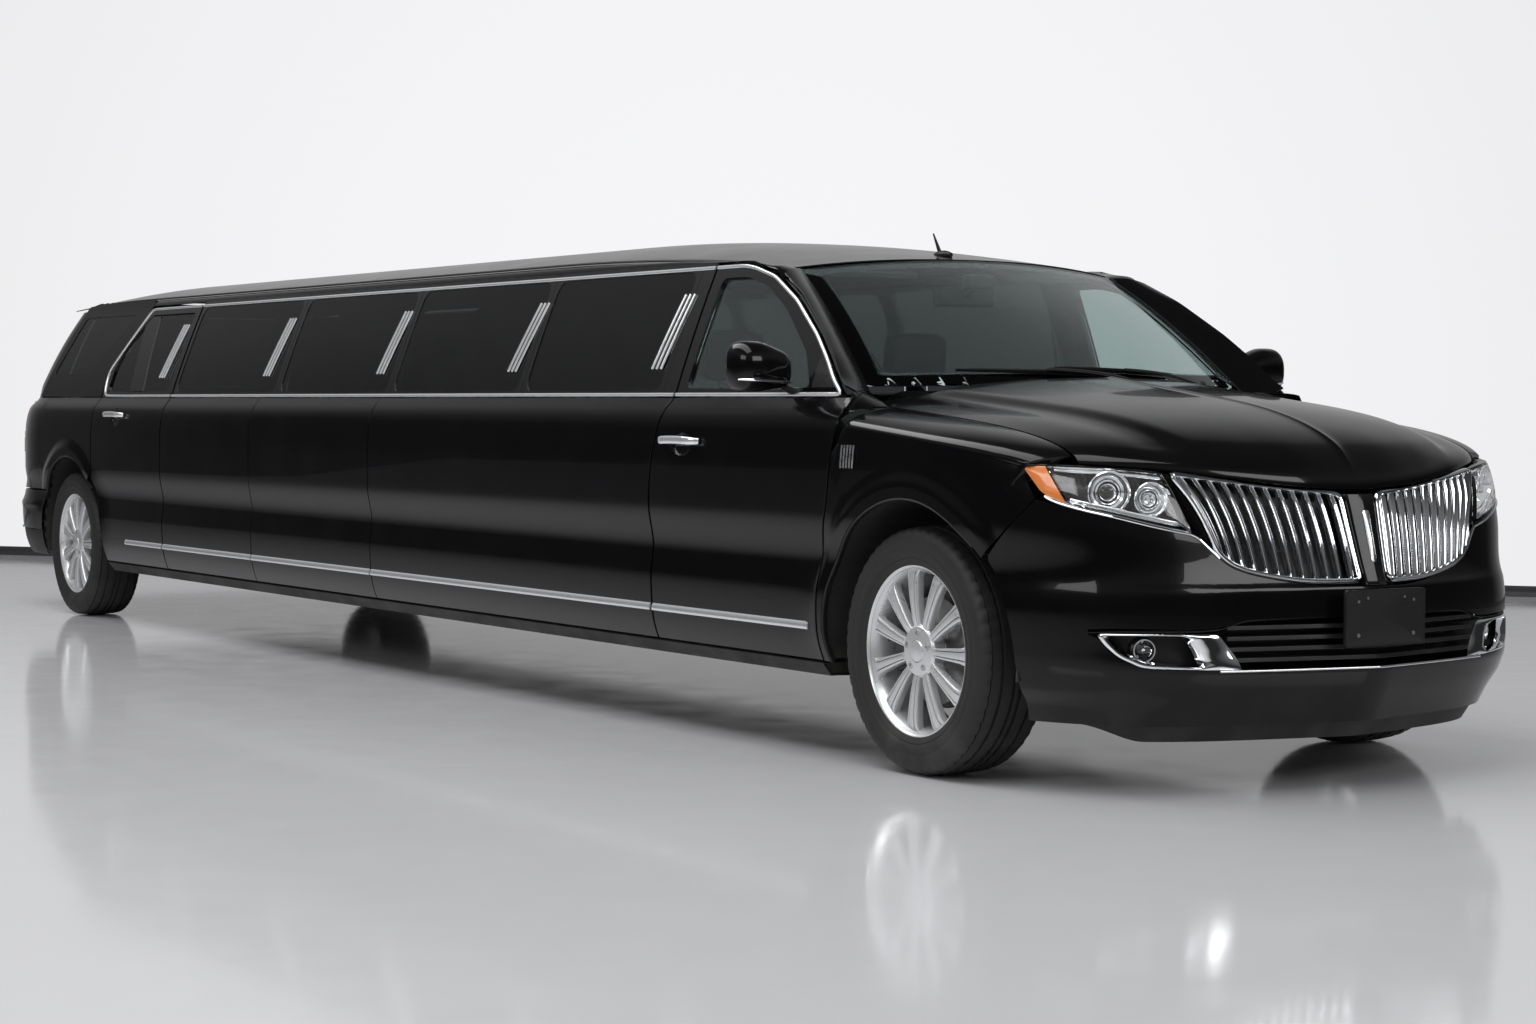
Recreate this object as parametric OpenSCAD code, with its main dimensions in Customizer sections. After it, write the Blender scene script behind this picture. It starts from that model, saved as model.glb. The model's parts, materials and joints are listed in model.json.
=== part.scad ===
// Stretch limousine built on a full-size crossover: two swing doors a side and a
// long fixed centre section between them. Millimetres, +X forward, +Y left, +Z up.
// The origin is on the ground, at the middle of the length.

/* [Overall] */
// Distance between the front and rear axles
wheelbase = 7567; // [6000:1:9200]
// From the front axle to the face of the plate bracket
front_overhang = 1005; // [900:1:1200]
// From the rear axle to the back of the rear bumper
rear_overhang = 1275; // [1150:1:1530]
// Width over the door skins
body_width = 1930; // [1600:1:2320]
// Height of the roof crown
roof_height = 1705; // [1650:1:1800]

/* [Wheels] */
// Distance between the tyre centre planes
track = 1630; // [1500:1:1700]
// Rolling radius of the tyres
tyre_radius = 370; // [308:1:444]
// Width of a tyre
tyre_width = 245; // [205:1:280]
// Radius of the rim lip
rim_radius = 266; // [220:1:280]
// Radius of the wheel spindles
spindle_radius = 35; // [25:1:42]
// Running gap between a spindle and its wheel, and at every hinge pin
pin_gap = 0.3; // [0.2:0.1:0.6]
// Space between the tyre and the wheel arch opening
arch_space = 85; // [80:1:110]

/* [Body sides] */
// Height of the lower edge of the sills
sill_bottom = 255; // [230:1:280]
// Height of the lower edge of the doors
door_bottom = 305; // [300:1:320]
// Height of the belt line, where the windows start to lean in
belt_height = 1120; // [1100:1:1140]
// Lean of the side windows
side_lean = 21; // [15:1:23]
// Thickness of the doors and the side walls
wall_thickness = 120; // [90:1:130]
// Thickness of the window frames
frame_thickness = 30; // [24:1:36]
// Thickness of the glass
glass_thickness = 6; // [4:1:8]
// Thickness of the pressed body skins
skin_thickness = 12; // [8:1:14]
// Thickness of the door skins
door_skin = 5; // [2:1:6]
// Gap around doors, hood and tailgate
panel_gap = 9; // [8:1:11]

/* [Doors] */
// From the front axle back to the rear edge of the front doors
front_door_end = 1512; // [1400:1:1600]
// From the rear axle forward to the front edge of the rear doors
rear_door_start = 1347; // [1200:1:1400]
// From the rear axle forward to the rear edge of the rear doors
rear_door_end = 372; // [340:1:400]
// How far the hinge axis lies inside the widest door skin
hinge_inset = 25; // [22:1:28]
// How far the hinge axis lies behind the front edge of a rear door
hinge_setback = 90; // [80:1:100]
// Radius of the hinge pins
hinge_pin_radius = 4; // [3:0.5:5]
// Where the window posts of the centre section stand, as shares of its length
post_shares = [0.232, 0.478, 0.728];
// Width of a window post
post_width = 90; // [60:1:120]

/* [Running gear] */
// Distance from the centre plane to each kingpin
kingpin_offset = 700; // [640:1:720]
// Radius of the kingpins
kingpin_radius = 12; // [8:1:16]
// Outer distance of the chassis rails from the centre plane
rail_offset = 455; // [400:1:470]
// Width of a chassis rail
rail_width = 80; // [60:1:100]
// Height of the underside of the chassis rails
rail_bottom = 215; // [200:1:220]
// Height of the cabin floor's underside
floor_height = 300; // [295:1:310]
// Thickness of the floor
floor_thickness = 25; // [15:1:30]
// Height of the cargo floor's underside
cargo_height = 600; // [560:1:620]
// Length, width and height of the engine
engine_size = [560, 820, 560];

/* [Cabin] */
// Width of a front seat
seat_width = 520; // [480:1:560]
// Distance of a front seat's middle from the centre plane
seat_offset = 400; // [370:1:420]
// Height of the front seat cushions
seat_height = 580; // [540:1:620]
// Radius of the steering wheel
steering_wheel_radius = 185; // [170:1:195]

/* [Hidden] */
$fn = 48;

body_length = front_overhang + wheelbase + rear_overhang;
front_x = body_length / 2 - front_overhang;
rear_x = front_x - wheelbase;
half = body_width / 2;
seat_gap = 0.3;
arch_radius = tyre_radius + arch_space;
flare_radius = arch_radius + 45;
well_thickness = 8;
well_radius = arch_radius + 5;
inner_face = half - wall_thickness;
post_depth = 75;

// Body side, as [height, how far the skin lies inside the widest point]
side_shape = [[sill_bottom, 75], [door_bottom, 40], [400, 15], [520, 9], [620, 19], [760, 0],
    [900, 0], [1000, 7], [1060, 20], [belt_height, 60], [1200, 60 + 80 * tan(side_lean)],
    [1600, 60 + 480 * tan(side_lean)], [1800, 60 + 680 * tan(side_lean)]];
belt_width = half - 60;
cant_height = 1575;
roof_half = belt_width - (1600 - belt_height) * tan(side_lean) - 12;
roof_edge = 1603;
sill_top = 450;

function side_inset(z) = lookup(z, side_shape);
function side_half(z) = half - side_inset(z);
function mix(a, b, t) = a + (b - a) * t;
function flat(rows) = [for (row = rows) for (p = row) p];
function steps(n) = [for (i = [0:n]) i / n];
// Quarter arc of a squared circle: 1 at t = 0, falling to 0 at t = 1
function squared(t, n) = pow(max(0, 1 - pow(min(1, abs(t)), n)), 1 / n);

// ---- nose ----
nose_start = 50;
nose_depth = 940;
nose_power = 2.6;
nose_shape = [[200, 0.94], [330, 1.0], [355, 1.006], [420, 0.996], [580, 0.985], [600, 0.975],
    [742, 0.93], [844, 0.90], [915, 0.86], [1000, 0.80]];
bracket_depth = 15;
nose_scale = (front_overhang - bracket_depth) / 996;
function nose_reach(z) = lookup(z, nose_shape) * nose_depth * nose_scale;
// Forward surface of the nose at share s of the half width, ahead of the front axle
function nose_x(s, z) = nose_start * nose_scale + nose_reach(z) * squared(s, nose_power)
    - 0.05 * 940 * sin(180 * min(1, abs(s) * 1.2)) * lookup(z, nose_shape);
// Half width of the body at x ahead of the front axle
function front_half(x, z) = side_half(z)
    * squared(max(0, x - nose_start) / nose_reach(z), nose_power);

// ---- tail ----
tail_power = 3;
tail_scale = rear_overhang / 1275;
tail_shape = [[250, 1190], [330, 1250], [560, 1275], [640, 1240], [700, 1190], [850, 1195],
    [1050, 1165], [1120, 1110], [1200, 1040], [1400, 860], [1600, 660], [1660, 600]];
// Rearward surface on the centre plane, behind the rear axle
function tail_reach(z) = lookup(z, tail_shape) * tail_scale;
function corner_depth(z) = lookup(z, [[1100, 760], [1200, 600], [1600, 420]]) * tail_scale;
function tail_x(s, z) = -tail_reach(z) + corner_depth(z) * (1 - squared(s, tail_power));

// Closed sheet between two grids of points that run the same way
module sheet(outer, inner) {
    n = len(outer);
    m = len(outer[0]);
    k = n * m;
    polyhedron(points = concat(flat(outer), flat(inner)), faces = concat(
        [for (i = [0:n - 2]) for (j = [0:m - 2]) [i * m + j, i * m + j + 1, (i + 1) * m + j + 1]],
        [for (i = [0:n - 2]) for (j = [0:m - 2]) [i * m + j, (i + 1) * m + j + 1, (i + 1) * m + j]],
        [for (i = [0:n - 2]) for (j = [0:m - 2])
            [k + i * m + j, k + (i + 1) * m + j + 1, k + i * m + j + 1]],
        [for (i = [0:n - 2]) for (j = [0:m - 2])
            [k + i * m + j, k + (i + 1) * m + j, k + (i + 1) * m + j + 1]],
        [for (i = [0:n - 2]) [i * m, (i + 1) * m, k + (i + 1) * m]],
        [for (i = [0:n - 2]) [i * m, k + (i + 1) * m, k + i * m]],
        [for (i = [0:n - 2]) [i * m + m - 1, k + (i + 1) * m + m - 1, (i + 1) * m + m - 1]],
        [for (i = [0:n - 2]) [i * m + m - 1, k + i * m + m - 1, k + (i + 1) * m + m - 1]],
        [for (j = [0:m - 2]) [j, k + j + 1, j + 1]],
        [for (j = [0:m - 2]) [j, k + j, k + j + 1]],
        [for (j = [0:m - 2]) [(n - 1) * m + j, (n - 1) * m + j + 1, k + (n - 1) * m + j + 1]],
        [for (j = [0:m - 2]) [(n - 1) * m + j, k + (n - 1) * m + j + 1, k + (n - 1) * m + j]]));
}

// Children on the left and, mirrored, on the right
module both_sides() {
    children();
    mirror([0, 1, 0]) children();
}

// Bar of box section along x between two x values
module box_between(x0, x1, y0, y1, z0, z1) {
    translate([min(x0, x1), min(y0, y1), min(z0, z1)])
        cube([abs(x1 - x0), abs(y1 - y0), abs(z1 - z0)]);
}

// Side view outline, as [x, z] points, pushed through y0 to y1
module side_cut(points, y0, y1) {
    translate([0, y1, 0]) rotate([90, 0, 0]) linear_extrude(y1 - y0) polygon(points);
}

// Outline of [x, height] points laid in the leaning plane of the side windows
module lean_cut(points, inside, thickness) {
    translate([0, belt_width, belt_height]) rotate([90 + side_lean, 0, 0])
        translate([0, 0, inside]) linear_extrude(thickness)
            polygon([for (p = points) [p[0], (p[1] - belt_height) / cos(side_lean)]]);
}

// Wall of the body side: skin outline down to an inner face, along x
module side_wall(x0, x1, z0, z1, inner) {
    heights = [for (p = side_shape) if (p[0] > z0 && p[0] < z1) p[0]];
    outline = concat([[inner, z0]], [[side_half(z0), z0]], [for (z = heights) [side_half(z), z]],
        [[side_half(z1), z1]], [[inner, z1]]);
    translate([min(x0, x1), 0, 0]) rotate([90, 0, 90])
        linear_extrude(abs(x1 - x0)) polygon(outline);
}

// Thin skin of the body side along x
module side_skin(x0, x1, z0, z1) {
    heights = [for (p = side_shape) if (p[0] > z0 && p[0] < z1) p[0]];
    all = concat([z0], heights, [z1]);
    outline = concat([for (z = all) [side_half(z), z]],
        [for (i = [len(all) - 1:-1:0]) [side_half(all[i]) - door_skin, all[i]]]);
    translate([min(x0, x1), 0, 0]) rotate([90, 0, 90])
        linear_extrude(abs(x1 - x0)) polygon(outline);
}

// ---------------------------------------------------------------- door outlines
// Front edge of the front doors, as [distance behind the front axle, height]
door_edge = [[490, door_bottom], [480, 460], [468, 620], [424, 800], [400, 960], [372, 1100]];
function door_edge_x(z) = front_x - lookup(z, [for (p = door_edge) [p[1], p[0]]]);
// Edge of the front door's window frame, from the belt up along the windshield pillar
frame_edge = [[420, belt_height], [480, 1160], [562, 1234], [667, 1314], [853, 1430], [1041, 1515],
    [1200, 1553]];
front_door_back = front_x - front_door_end;
front_frame_back = front_x - front_door_end + 77;
rear_door_front = rear_x + rear_door_start;
rear_door_back = rear_x + rear_door_end;
front_hinge_x = front_x - 515;
rear_hinge_x = rear_door_front - hinge_setback;
hinge_y = half - hinge_inset;
frame_gap = 13;
// The leading corners of the window frames swing towards the rail, so the gap there is wider
door_top = cant_height - 1.25 * panel_gap;
window_top = door_top - 32;
window_sill = belt_height + 30;
hinge_heights = [486, 850];
// The posts end below the reach of the doors' upper front corners, which swing inward
post_top = belt_height - 155;

// ---------------------------------------------------------------- root structure
module floor_pan() {
    color("dimgray") {
        side_cut([[front_x - 640, floor_height], [front_x - 640, floor_height + floor_thickness],
            [rear_x + 620, floor_height + floor_thickness],
            [rear_x + 580, cargo_height + floor_thickness],
            [rear_x - tail_reach(640) + 130, cargo_height + floor_thickness],
            [rear_x - tail_reach(640) + 130, cargo_height], [rear_x + 560, cargo_height],
            [rear_x + 600, floor_height]], -sill_inner + seat_gap, sill_inner - seat_gap);
    }
}
sill_inner = min(half - 290, track / 2 - tyre_width / 2 - 20);

module chassis_rails() {
    top = floor_height - seat_gap;
    color("darkslategray") {
        both_sides() side_cut([[front_x + 640, rail_bottom], [rear_x + 640, rail_bottom],
            [rear_x + 420, 480], [rear_x - 300, 480], [rear_x - 1100 * tail_scale, 420],
            [rear_x - 1100 * tail_scale, cargo_height - seat_gap],
            [rear_x + 560, cargo_height - seat_gap], [rear_x + 600, top], [front_x + 640, top]],
            rail_offset - rail_width, rail_offset);
        for (x = [front_x - 900, (front_x + rear_x) / 2, rear_x + 1050])
            box_between(x - 40, x + 40, -rail_offset + 1, rail_offset - 1, rail_bottom, rail_bottom + 20);
    }
}

module sills() {
    color("black") both_sides() {
        translate([rear_x + flare_radius, 0, 0]) rotate([90, 0, 90])
            linear_extrude(wheelbase - 2 * flare_radius)
                polygon([[sill_inner, sill_bottom], [side_half(sill_bottom), sill_bottom],
                    [side_half(door_bottom - 5), door_bottom - panel_gap],
                    [inner_face - 10, door_bottom - panel_gap], [inner_face - 10, sill_top],
                    [sill_inner, sill_top]]);
    }
}

// One upright post with its two hinge brackets and pins, left side
module hinge_post(x) {
    face = inner_face - 10;
    box_between(x - 45, x + 75, face - post_depth, face, sill_top + seat_gap, post_top);
    for (z = hinge_heights) {
        box_between(x - 20, x + 3, face - 1, hinge_y, z - 30, z - 16);
        translate([x, hinge_y, z - 30]) cylinder(r = 6, h = 14);
        translate([x, hinge_y, z - 30]) cylinder(r = hinge_pin_radius, h = 44);
    }
}

module hinge_pillars() {
    color("black") both_sides() {
        hinge_post(front_hinge_x);
        hinge_post(rear_hinge_x);
    }
}

// Rear edge of the hood and base of the windshield, behind the front axle
function glass_base_x(y) = -300 - 216 * pow(y / 770, 2);
hood_hinge_x = front_x - 420;
hood_hinge_z = 1092;
hood_hinge_y = half - 305;
// Free space between the glass and the hood's rear edge, which the open hood swings into
cowl_space = 58;

module firewall() {
    wide = inner_face - 10 - post_depth - seat_gap;
    color("black") {
        difference() {
            side_cut([[front_x - 600, floor_height + 20], [front_x - 600, 960],
                [front_x - 470, 990], [front_x - 470, 1010], [front_x - 600, 1010],
                [front_x - 620, 1010], [front_x - 620, floor_height + 20]], -wide, wide);
            both_sides() box_between(front_x - 700, front_x - 500, sill_inner - seat_gap, half,
                0, sill_top + 2);
            box_between(front_x - 700, front_x - 500, -sill_inner, sill_inner, 0,
                floor_height + floor_thickness + seat_gap);
        }
        both_sides() {
            box_between(front_x - 480, hood_hinge_x + 12, hood_hinge_y + 12, hood_hinge_y + 26,
                985, hood_hinge_z - 2);
            translate([hood_hinge_x, hood_hinge_y + 26, hood_hinge_z]) rotate([90, 0, 0])
                cylinder(r = 10, h = 14);
            translate([hood_hinge_x, hood_hinge_y + 20, hood_hinge_z]) rotate([90, 0, 0])
                cylinder(r = 6, h = 36);
        }
    }
}

// Crown of the roof: height over [x, share of half width]
roof_front = front_x - 1010;
roof_back = rear_x - 590 * tail_scale;
function roof_end_drop(x) = 118 * pow(max(0, (x - (front_x - 2650)) / 1640), 2)
    + 45 * pow(max(0, (rear_x + 400 - x) / (990 * tail_scale)), 2);
function roof_crown(x, s) = roof_height - roof_end_drop(x)
    - (roof_height - roof_edge - 0.55 * roof_end_drop(x)) * pow(abs(s), 2.4);
roof_stations = concat([for (t = steps(6)) mix(roof_front, front_x - 2650, t)],
    [for (t = [1, 2, 3]) mix(front_x - 2650, rear_x + 400, t / 4)],
    [for (t = steps(4)) mix(rear_x + 400, roof_back, t)]);
roof_shares = [for (t = steps(12)) -1 + 2 * t];
// The side edges draw in towards the windshield, and the front edge bows forward
function roof_rim(x) = roof_half - 62 * max(0, x - front_x + 1700) / 690;
function roof_point(x, s, down) = [x - 75 * s * s * max(0, x - front_x + 1700) / 690,
    s * roof_rim(x), roof_crown(x, s) - down];

module roof() {
    color("black") {
        sheet([for (s = roof_shares) [for (x = roof_stations) roof_point(x, s, 0)]],
            [for (s = roof_shares) [for (x = roof_stations) roof_point(x, s, skin_thickness)]]);
    }
    color("black") both_sides() {
        box_between(tailgate_hinge_x - 4, roof_back + 60, 300, 314, tailgate_hinge_z - 5,
            tailgate_hinge_z + 5);
        box_between(roof_back + 20, roof_back + 60, 300, 314, tailgate_hinge_z - 5,
            roof_crown(roof_back + 20, 0.43) - 3);
        translate([tailgate_hinge_x, 314, tailgate_hinge_z]) rotate([90, 0, 0])
            cylinder(r = hinge_pin_radius, h = 50);
    }
}
tailgate_hinge_z = roof_height - 77;
tailgate_hinge_x = roof_back - 8;

// Side walls of the fixed centre section, the rails over the doors and the window posts
centre_front = front_door_back - panel_gap;
centre_back = rear_door_front + panel_gap;
centre_length = centre_front - centre_back;
rail_outline = [[front_x - 1200, cant_height], [front_x - 1023.3, 1535.5], [front_x - 1008.3, 1554.5],
    [front_x - 1240, 1607], [rear_x - 200, 1607],
    [rear_x - 330, 1590], [rear_x - 560, 1230], [rear_x - 600, belt_height + 6.9],
    [rear_x + 70, belt_height + 6.9], [rear_x + rear_door_end - 20, 1250],
    [rear_x + 665, cant_height]];

function posts() = concat([0], post_shares, [1]);
module side_windows_cut(grow, inside, thickness) {
    p = posts();
    for (i = [0:3]) {
        from = centre_front - centre_length * p[i] - (i == 0 ? 25 : post_width / 2) + grow;
        to = centre_front - centre_length * p[i + 1] + (i == 3 ? 45 : post_width / 2) - grow;
        lean_cut([[from, window_sill - grow], [from, window_top + grow], [to, window_top + grow],
            [to, window_sill - grow]], inside, thickness);
    }
    lean_cut([[rear_x + 60 + grow, 1240 - grow], [rear_x + 480 + 3 * grow, 1540 + grow],
        [rear_x - 310 - grow, 1540 + grow], [rear_x - 505 - grow, 1240 - grow]], inside, thickness);
}

module side_panels() {
    color("black") both_sides() {
        difference() {
            union() {
                difference() {
                    side_wall(centre_front, centre_back, door_bottom, belt_height, inner_face);
                    box_between(centre_front + 1, centre_back - 1, 0, inner_face, 0, 500);
                }
                lean_cut([[front_frame_back - frame_gap, belt_height + 18],
                    [front_frame_back - frame_gap, cant_height + 1],
                    [centre_back, cant_height + 1], [centre_back, belt_height - 20],
                    [centre_front, belt_height - 20], [centre_front, belt_height + 18]],
                    0, frame_thickness);
                lean_cut(rail_outline, 0, frame_thickness);
            }
            side_windows_cut(0, -20, frame_thickness + 60);
            box_between(roof_front, roof_back, 0, roof_half + seat_gap, 1560, 1700);
        }
    }
}

module side_windows() {
    color([0.12, 0.13, 0.14, 0.8]) both_sides()
        side_windows_cut(-seat_gap, 6, glass_thickness);
}

// Curved pillar between the windshield and the front door's window frame
module windshield_pillars() {
    reach = [for (t = steps(8)) t];
    depths = [for (p = frame_edge) [p[1], p[0]]];
    function outer_edge(t) = let (z = mix(1178, 1500, t), d = lookup(z, depths),
        run = lookup(z + 5, depths) - lookup(z - 5, depths), away = (frame_gap + 32) / norm([run, 10]))
        [front_x - d + away * 10, side_half(z + away * run) - 12, z + away * run];
    function inner_edge(t) = glass_point(1, t) + [0, 2 * seat_gap, 0];
    color("black") both_sides() {
        sheet([for (w = steps(2)) [for (t = reach) mix(inner_edge(t), outer_edge(t), w)]],
            [for (w = steps(2)) [for (t = reach)
                mix(inner_edge(t), outer_edge(t), w) - [24, 0, 26]]]);
    }
}

// Outer face of the windshield: u across from -1 to 1, v from its base to the roof
function glass_point(u, v) = [
    front_x - mix(300, 995, v) - mix(216, 70, v) * u * u,
    u * mix(half - 200, half - 312, v),
    mix(1165, 1583, v) + 90 * v * (1 - v) - mix(8, 42, v) * u * u];

module windshield() {
    across = [for (t = steps(12)) -1 + 2 * t];
    color([0.5, 0.6, 0.6, 0.4])
        sheet([for (u = across) [for (v = steps(8)) glass_point(u, v)]],
            [for (u = across) [for (v = steps(8))
                glass_point(u, v) - [glass_thickness * 0.6, 0, glass_thickness * 0.8]]]);
}

// ---------------------------------------------------------------- front skins
hood_half = half - 195;
// Front edge of the hood: distance ahead of the front axle, and height
function hood_front_x(y) = (880 - 410 * pow(abs(y) / hood_half, 2.8)) * nose_scale;
function hood_front_z(y) = 850 + 100 * pow(abs(y) / hood_half, 1.5);
function hood_line(x, y) = let (k = pow(abs(y) / hood_half, 2.2)) mix(1144 - 0.125 * x, 1058 - 0.09 * x, k);
function hood_z(x, y) = let (x1 = mix(300, 0, pow(y / hood_half, 2)), xf = hood_front_x(y),
    drop = hood_line(xf, y) - hood_front_z(y))
    hood_line(x, y) - drop * (1 - squared(max(0, x - x1) / (xf - x1), 2.3));
hood_across = [for (t = steps(14)) -1 + 2 * t];

module hood() {
    function hood_point(u, v, down) = let (y = u * (hood_half - panel_gap / 2),
        x = mix(glass_base_x(y) + cowl_space, hood_front_x(y) - panel_gap / 2, 1 - pow(1 - v, 1.5)))
        [front_x + x - down * 0.4 * v, y, hood_z(x, y) - down];
    color("black") {
        union() {
            sheet([for (u = hood_across) [for (v = steps(12)) hood_point(u, 1 - v, 0)]],
                [for (u = hood_across) [for (v = steps(12)) hood_point(u, 1 - v, skin_thickness)]]);
            both_sides() difference() {
                union() {
                    translate([hood_hinge_x, hood_hinge_y + 8, hood_hinge_z]) rotate([90, 0, 0])
                        cylinder(r = 14, h = 14);
                    box_between(hood_hinge_x - 6, hood_hinge_x + 60, hood_hinge_y - 6,
                        hood_hinge_y + 8, hood_hinge_z + 2, hood_z(-400, hood_hinge_y) - 4);
                }
                translate([hood_hinge_x, hood_hinge_y + 20, hood_hinge_z]) rotate([90, 0, 0])
                    cylinder(r = 6 + pin_gap, h = 60);
            }
        }
    }
}

fender_front = 505;
// Fender outline around the arch: t = 0 at the foot of the door edge, 1 at the bumper joint
foot_angle = 180 + asin((tyre_radius - door_bottom) / arch_radius);
joint_angle = 40;
function arch_point(t) = let (a = mix(foot_angle, joint_angle, t))
    [arch_radius * cos(a), tyre_radius + arch_radius * sin(a)];
door_share = 0.36;
function fender_rim(t) = t < door_share
    ? let (z = mix(door_bottom, 1010, t / door_share))
        [door_edge_x(z) - front_x + panel_gap, z]
    : t > 0.9
    ? [mix(fender_front, 480, (t - 0.9) / 0.1), mix(hood_z(455, hood_half) - 62, 800, (t - 0.9) / 0.1)]
    : let (x = mix(-372 + panel_gap, fender_front, (t - door_share) / (0.9 - door_share)))
        [x, hood_z(min(x, 455), hood_half) - 62];
function fender_point(t, v, inside) =
    let (low = arch_point(t), high = fender_rim(t), side = min(1, v / 0.75), p = mix(low, high, side),
         y = front_half(p[0], p[1]), on_crest = t >= door_share,
         c = max(0, (v - 0.75) / 0.25))
    on_crest && t <= 0.9
    ? [front_x + p[0], mix(y, hood_half + panel_gap / 2, 1 - cos(90 * c)) - inside * cos(80 * c),
        p[1] + 62 * sin(90 * c) - inside * sin(80 * c)]
    : let (q = mix(low, high, v)) [front_x + q[0], front_half(q[0], q[1]) - inside, q[1]];

module front_fenders() {
    color("black") both_sides() {
        sheet([for (v = steps(8)) [for (t = steps(24)) fender_point(t, v, 0)]],
            [for (v = steps(8)) [for (t = steps(24)) fender_point(t, v, skin_thickness)]]);
        box_between(front_x - 50, front_x + 50, half - 150, half - 8,
            tyre_radius + well_radius + well_thickness + seat_gap,
            tyre_radius + well_radius + well_thickness + 30);
    }
}

// ---------------------------------------------------------------- wheel wells
well_inner = rail_offset + seat_gap;
module well(x, inner, outer) {
    difference() {
        translate([x, outer, tyre_radius]) rotate([90, 0, 0])
            cylinder(r = well_radius + well_thickness, h = outer - inner);
        translate([x, outer + 1, tyre_radius]) rotate([90, 0, 0])
            cylinder(r = well_radius, h = outer - inner - well_thickness + 1);
        box_between(x - 600, x + 600, inner - 1, outer + 1, -200, door_bottom + 10);
    }
}

module wheel_wells() {
    color("black") both_sides() {
        difference() {
            well(front_x, well_inner, half - 70);
            box_between(front_x - 70, front_x + 70, 400, well_inner + 20, 400, 640);
            box_between(front_x - 600, front_x - 400, well_inner + 60, half, 0, 1200);
        }
        difference() {
            well(rear_x, sill_inner + seat_gap, half - 50);
            box_between(rear_x - 70, rear_x + 70, 400, sill_inner + 20, 0, 470);
        }
    }
}

// ---------------------------------------------------------------- nose pieces
// Where the bumper ends at the arch and the fender joint, ahead of the axle
function bumper_end(z) = let (dz = abs(z - tyre_radius)) z < tyre_radius + 292
    ? sqrt(max(0, pow(arch_radius + 25, 2) - dz * dz))
    : lookup(z, [[tyre_radius + 292, 382], [842, 535], [930, 520]]);
function nose_angle(z, x) = acos(min(1, pow((x - nose_start) / nose_reach(z), nose_power / 2)));
function nose_point(angle, z, inside) = let (s = pow(abs(sin(angle)), 2 / nose_power) * sign(angle),
    x = nose_x(min(0.999, abs(s)), z))
    [front_x + x - inside * cos(angle), s * side_half(z) - inside * sin(angle), z];
nose_spread = [for (t = steps(40)) -1 + 2 * t];
bumper_top = [[0, 590], [0.05, 590], [0.3, 664], [0.4, 732], [1, 832]];
bumper_bottom = 200;

module front_bumper() {
    function bumper_point(w, v, inside) = let (z = mix(bumper_bottom, lookup(abs(w), bumper_top), v))
        nose_point(w * nose_angle(z, bumper_end(z)), z, inside);
    reach = front_x + nose_x(0.5, 260) - 25;
    color("black") union() {
        sheet([for (v = steps(12)) [for (w = nose_spread) bumper_point(-w, v, 0)]],
            [for (v = steps(12)) [for (w = nose_spread) bumper_point(-w, v, skin_thickness)]]);
        both_sides() box_between(front_x + 640 + seat_gap, reach + 20, rail_offset - rail_width + 5,
            rail_offset - 5, 225, 285);
    }
}

// Skin patch of the nose over the bumper, left side. from and to are [low, high] shares of
// the way to the bumper's end; tops are the heights at those two sides.
module nose_patch(from, to, tops, inside, thickness, rows = 5, columns = 8) {
    function patch_point(w, v, depth) = let (share = mix(mix(from[0], to[0], w),
            mix(from[1], to[1], w), v),
        z = mix(lookup(share, bumper_top) + seat_gap * 2, mix(tops[0], tops[1], w), v))
        nose_point(share * nose_angle(z, bumper_end(z)), z, depth);
    sheet([for (v = steps(rows)) [for (w = steps(columns)) patch_point(1 - w, v, inside)]],
        [for (v = steps(rows)) [for (w = steps(columns))
            patch_point(1 - w, v, inside + thickness)]]);
}

module grille() {
    color("silver") both_sides() {
        nose_patch([0, 0], [0.3, 0.5], [838, 900], 0, 25, 5, 6);
    }
}

module headlights() {
    color("white") both_sides()
        nose_patch([0.35, 0.515], [0.95, 0.97], [902, 925], 0, 45, 5, 12);
}

module plate_bracket() {
    face = front_x + nose_x(0, 419);
    color("black") difference() {
        box_between(face + seat_gap, front_x + front_overhang, -152, 152, 419, 580);
        for (y = [-105, 105]) for (z = [452, 547])
            translate([face, y, z]) rotate([0, 90, 0]) cylinder(r = 3.5, h = 60);
    }
}

// ---------------------------------------------------------------- tail pieces
function gate_edge(z) = lookup(z, [[600, half - 325], [1100, half - 325], [1640, half - 400]]);
function quarter_end(z) = (gate_edge(z) + panel_gap + 6) / side_half(z);
// Where the corner skins begin, behind the rear axle: below the belt, and above it
function corner_start(z) = z < belt_height + 0.5 ? mix(476, 451, (z - 640) / 480) * tail_scale
    : lookup(z, [[belt_height, 604], [1230, 564], [1590, 336]]);
// Point of the rear corner: w = 0 at the straight side, 1 at the tailgate
function corner_point(w, z, inside) = let (end = asin(pow(quarter_end(z), tail_power / 2)),
    start = acos(pow(max(0, 1 - (tail_reach(z) - corner_start(z)) / corner_depth(z)), tail_power / 2)),
    angle = mix(start, end, w), s = pow(sin(angle), 2 / tail_power))
    [rear_x - tail_reach(z) + corner_depth(z) * (1 - pow(cos(angle), 2 / tail_power))
        + inside * cos(angle), s * side_half(z) - inside * sin(angle), z];
bumper_line = 640;
lamp_bottom = 838;
lamp_top = 1096;

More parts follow.
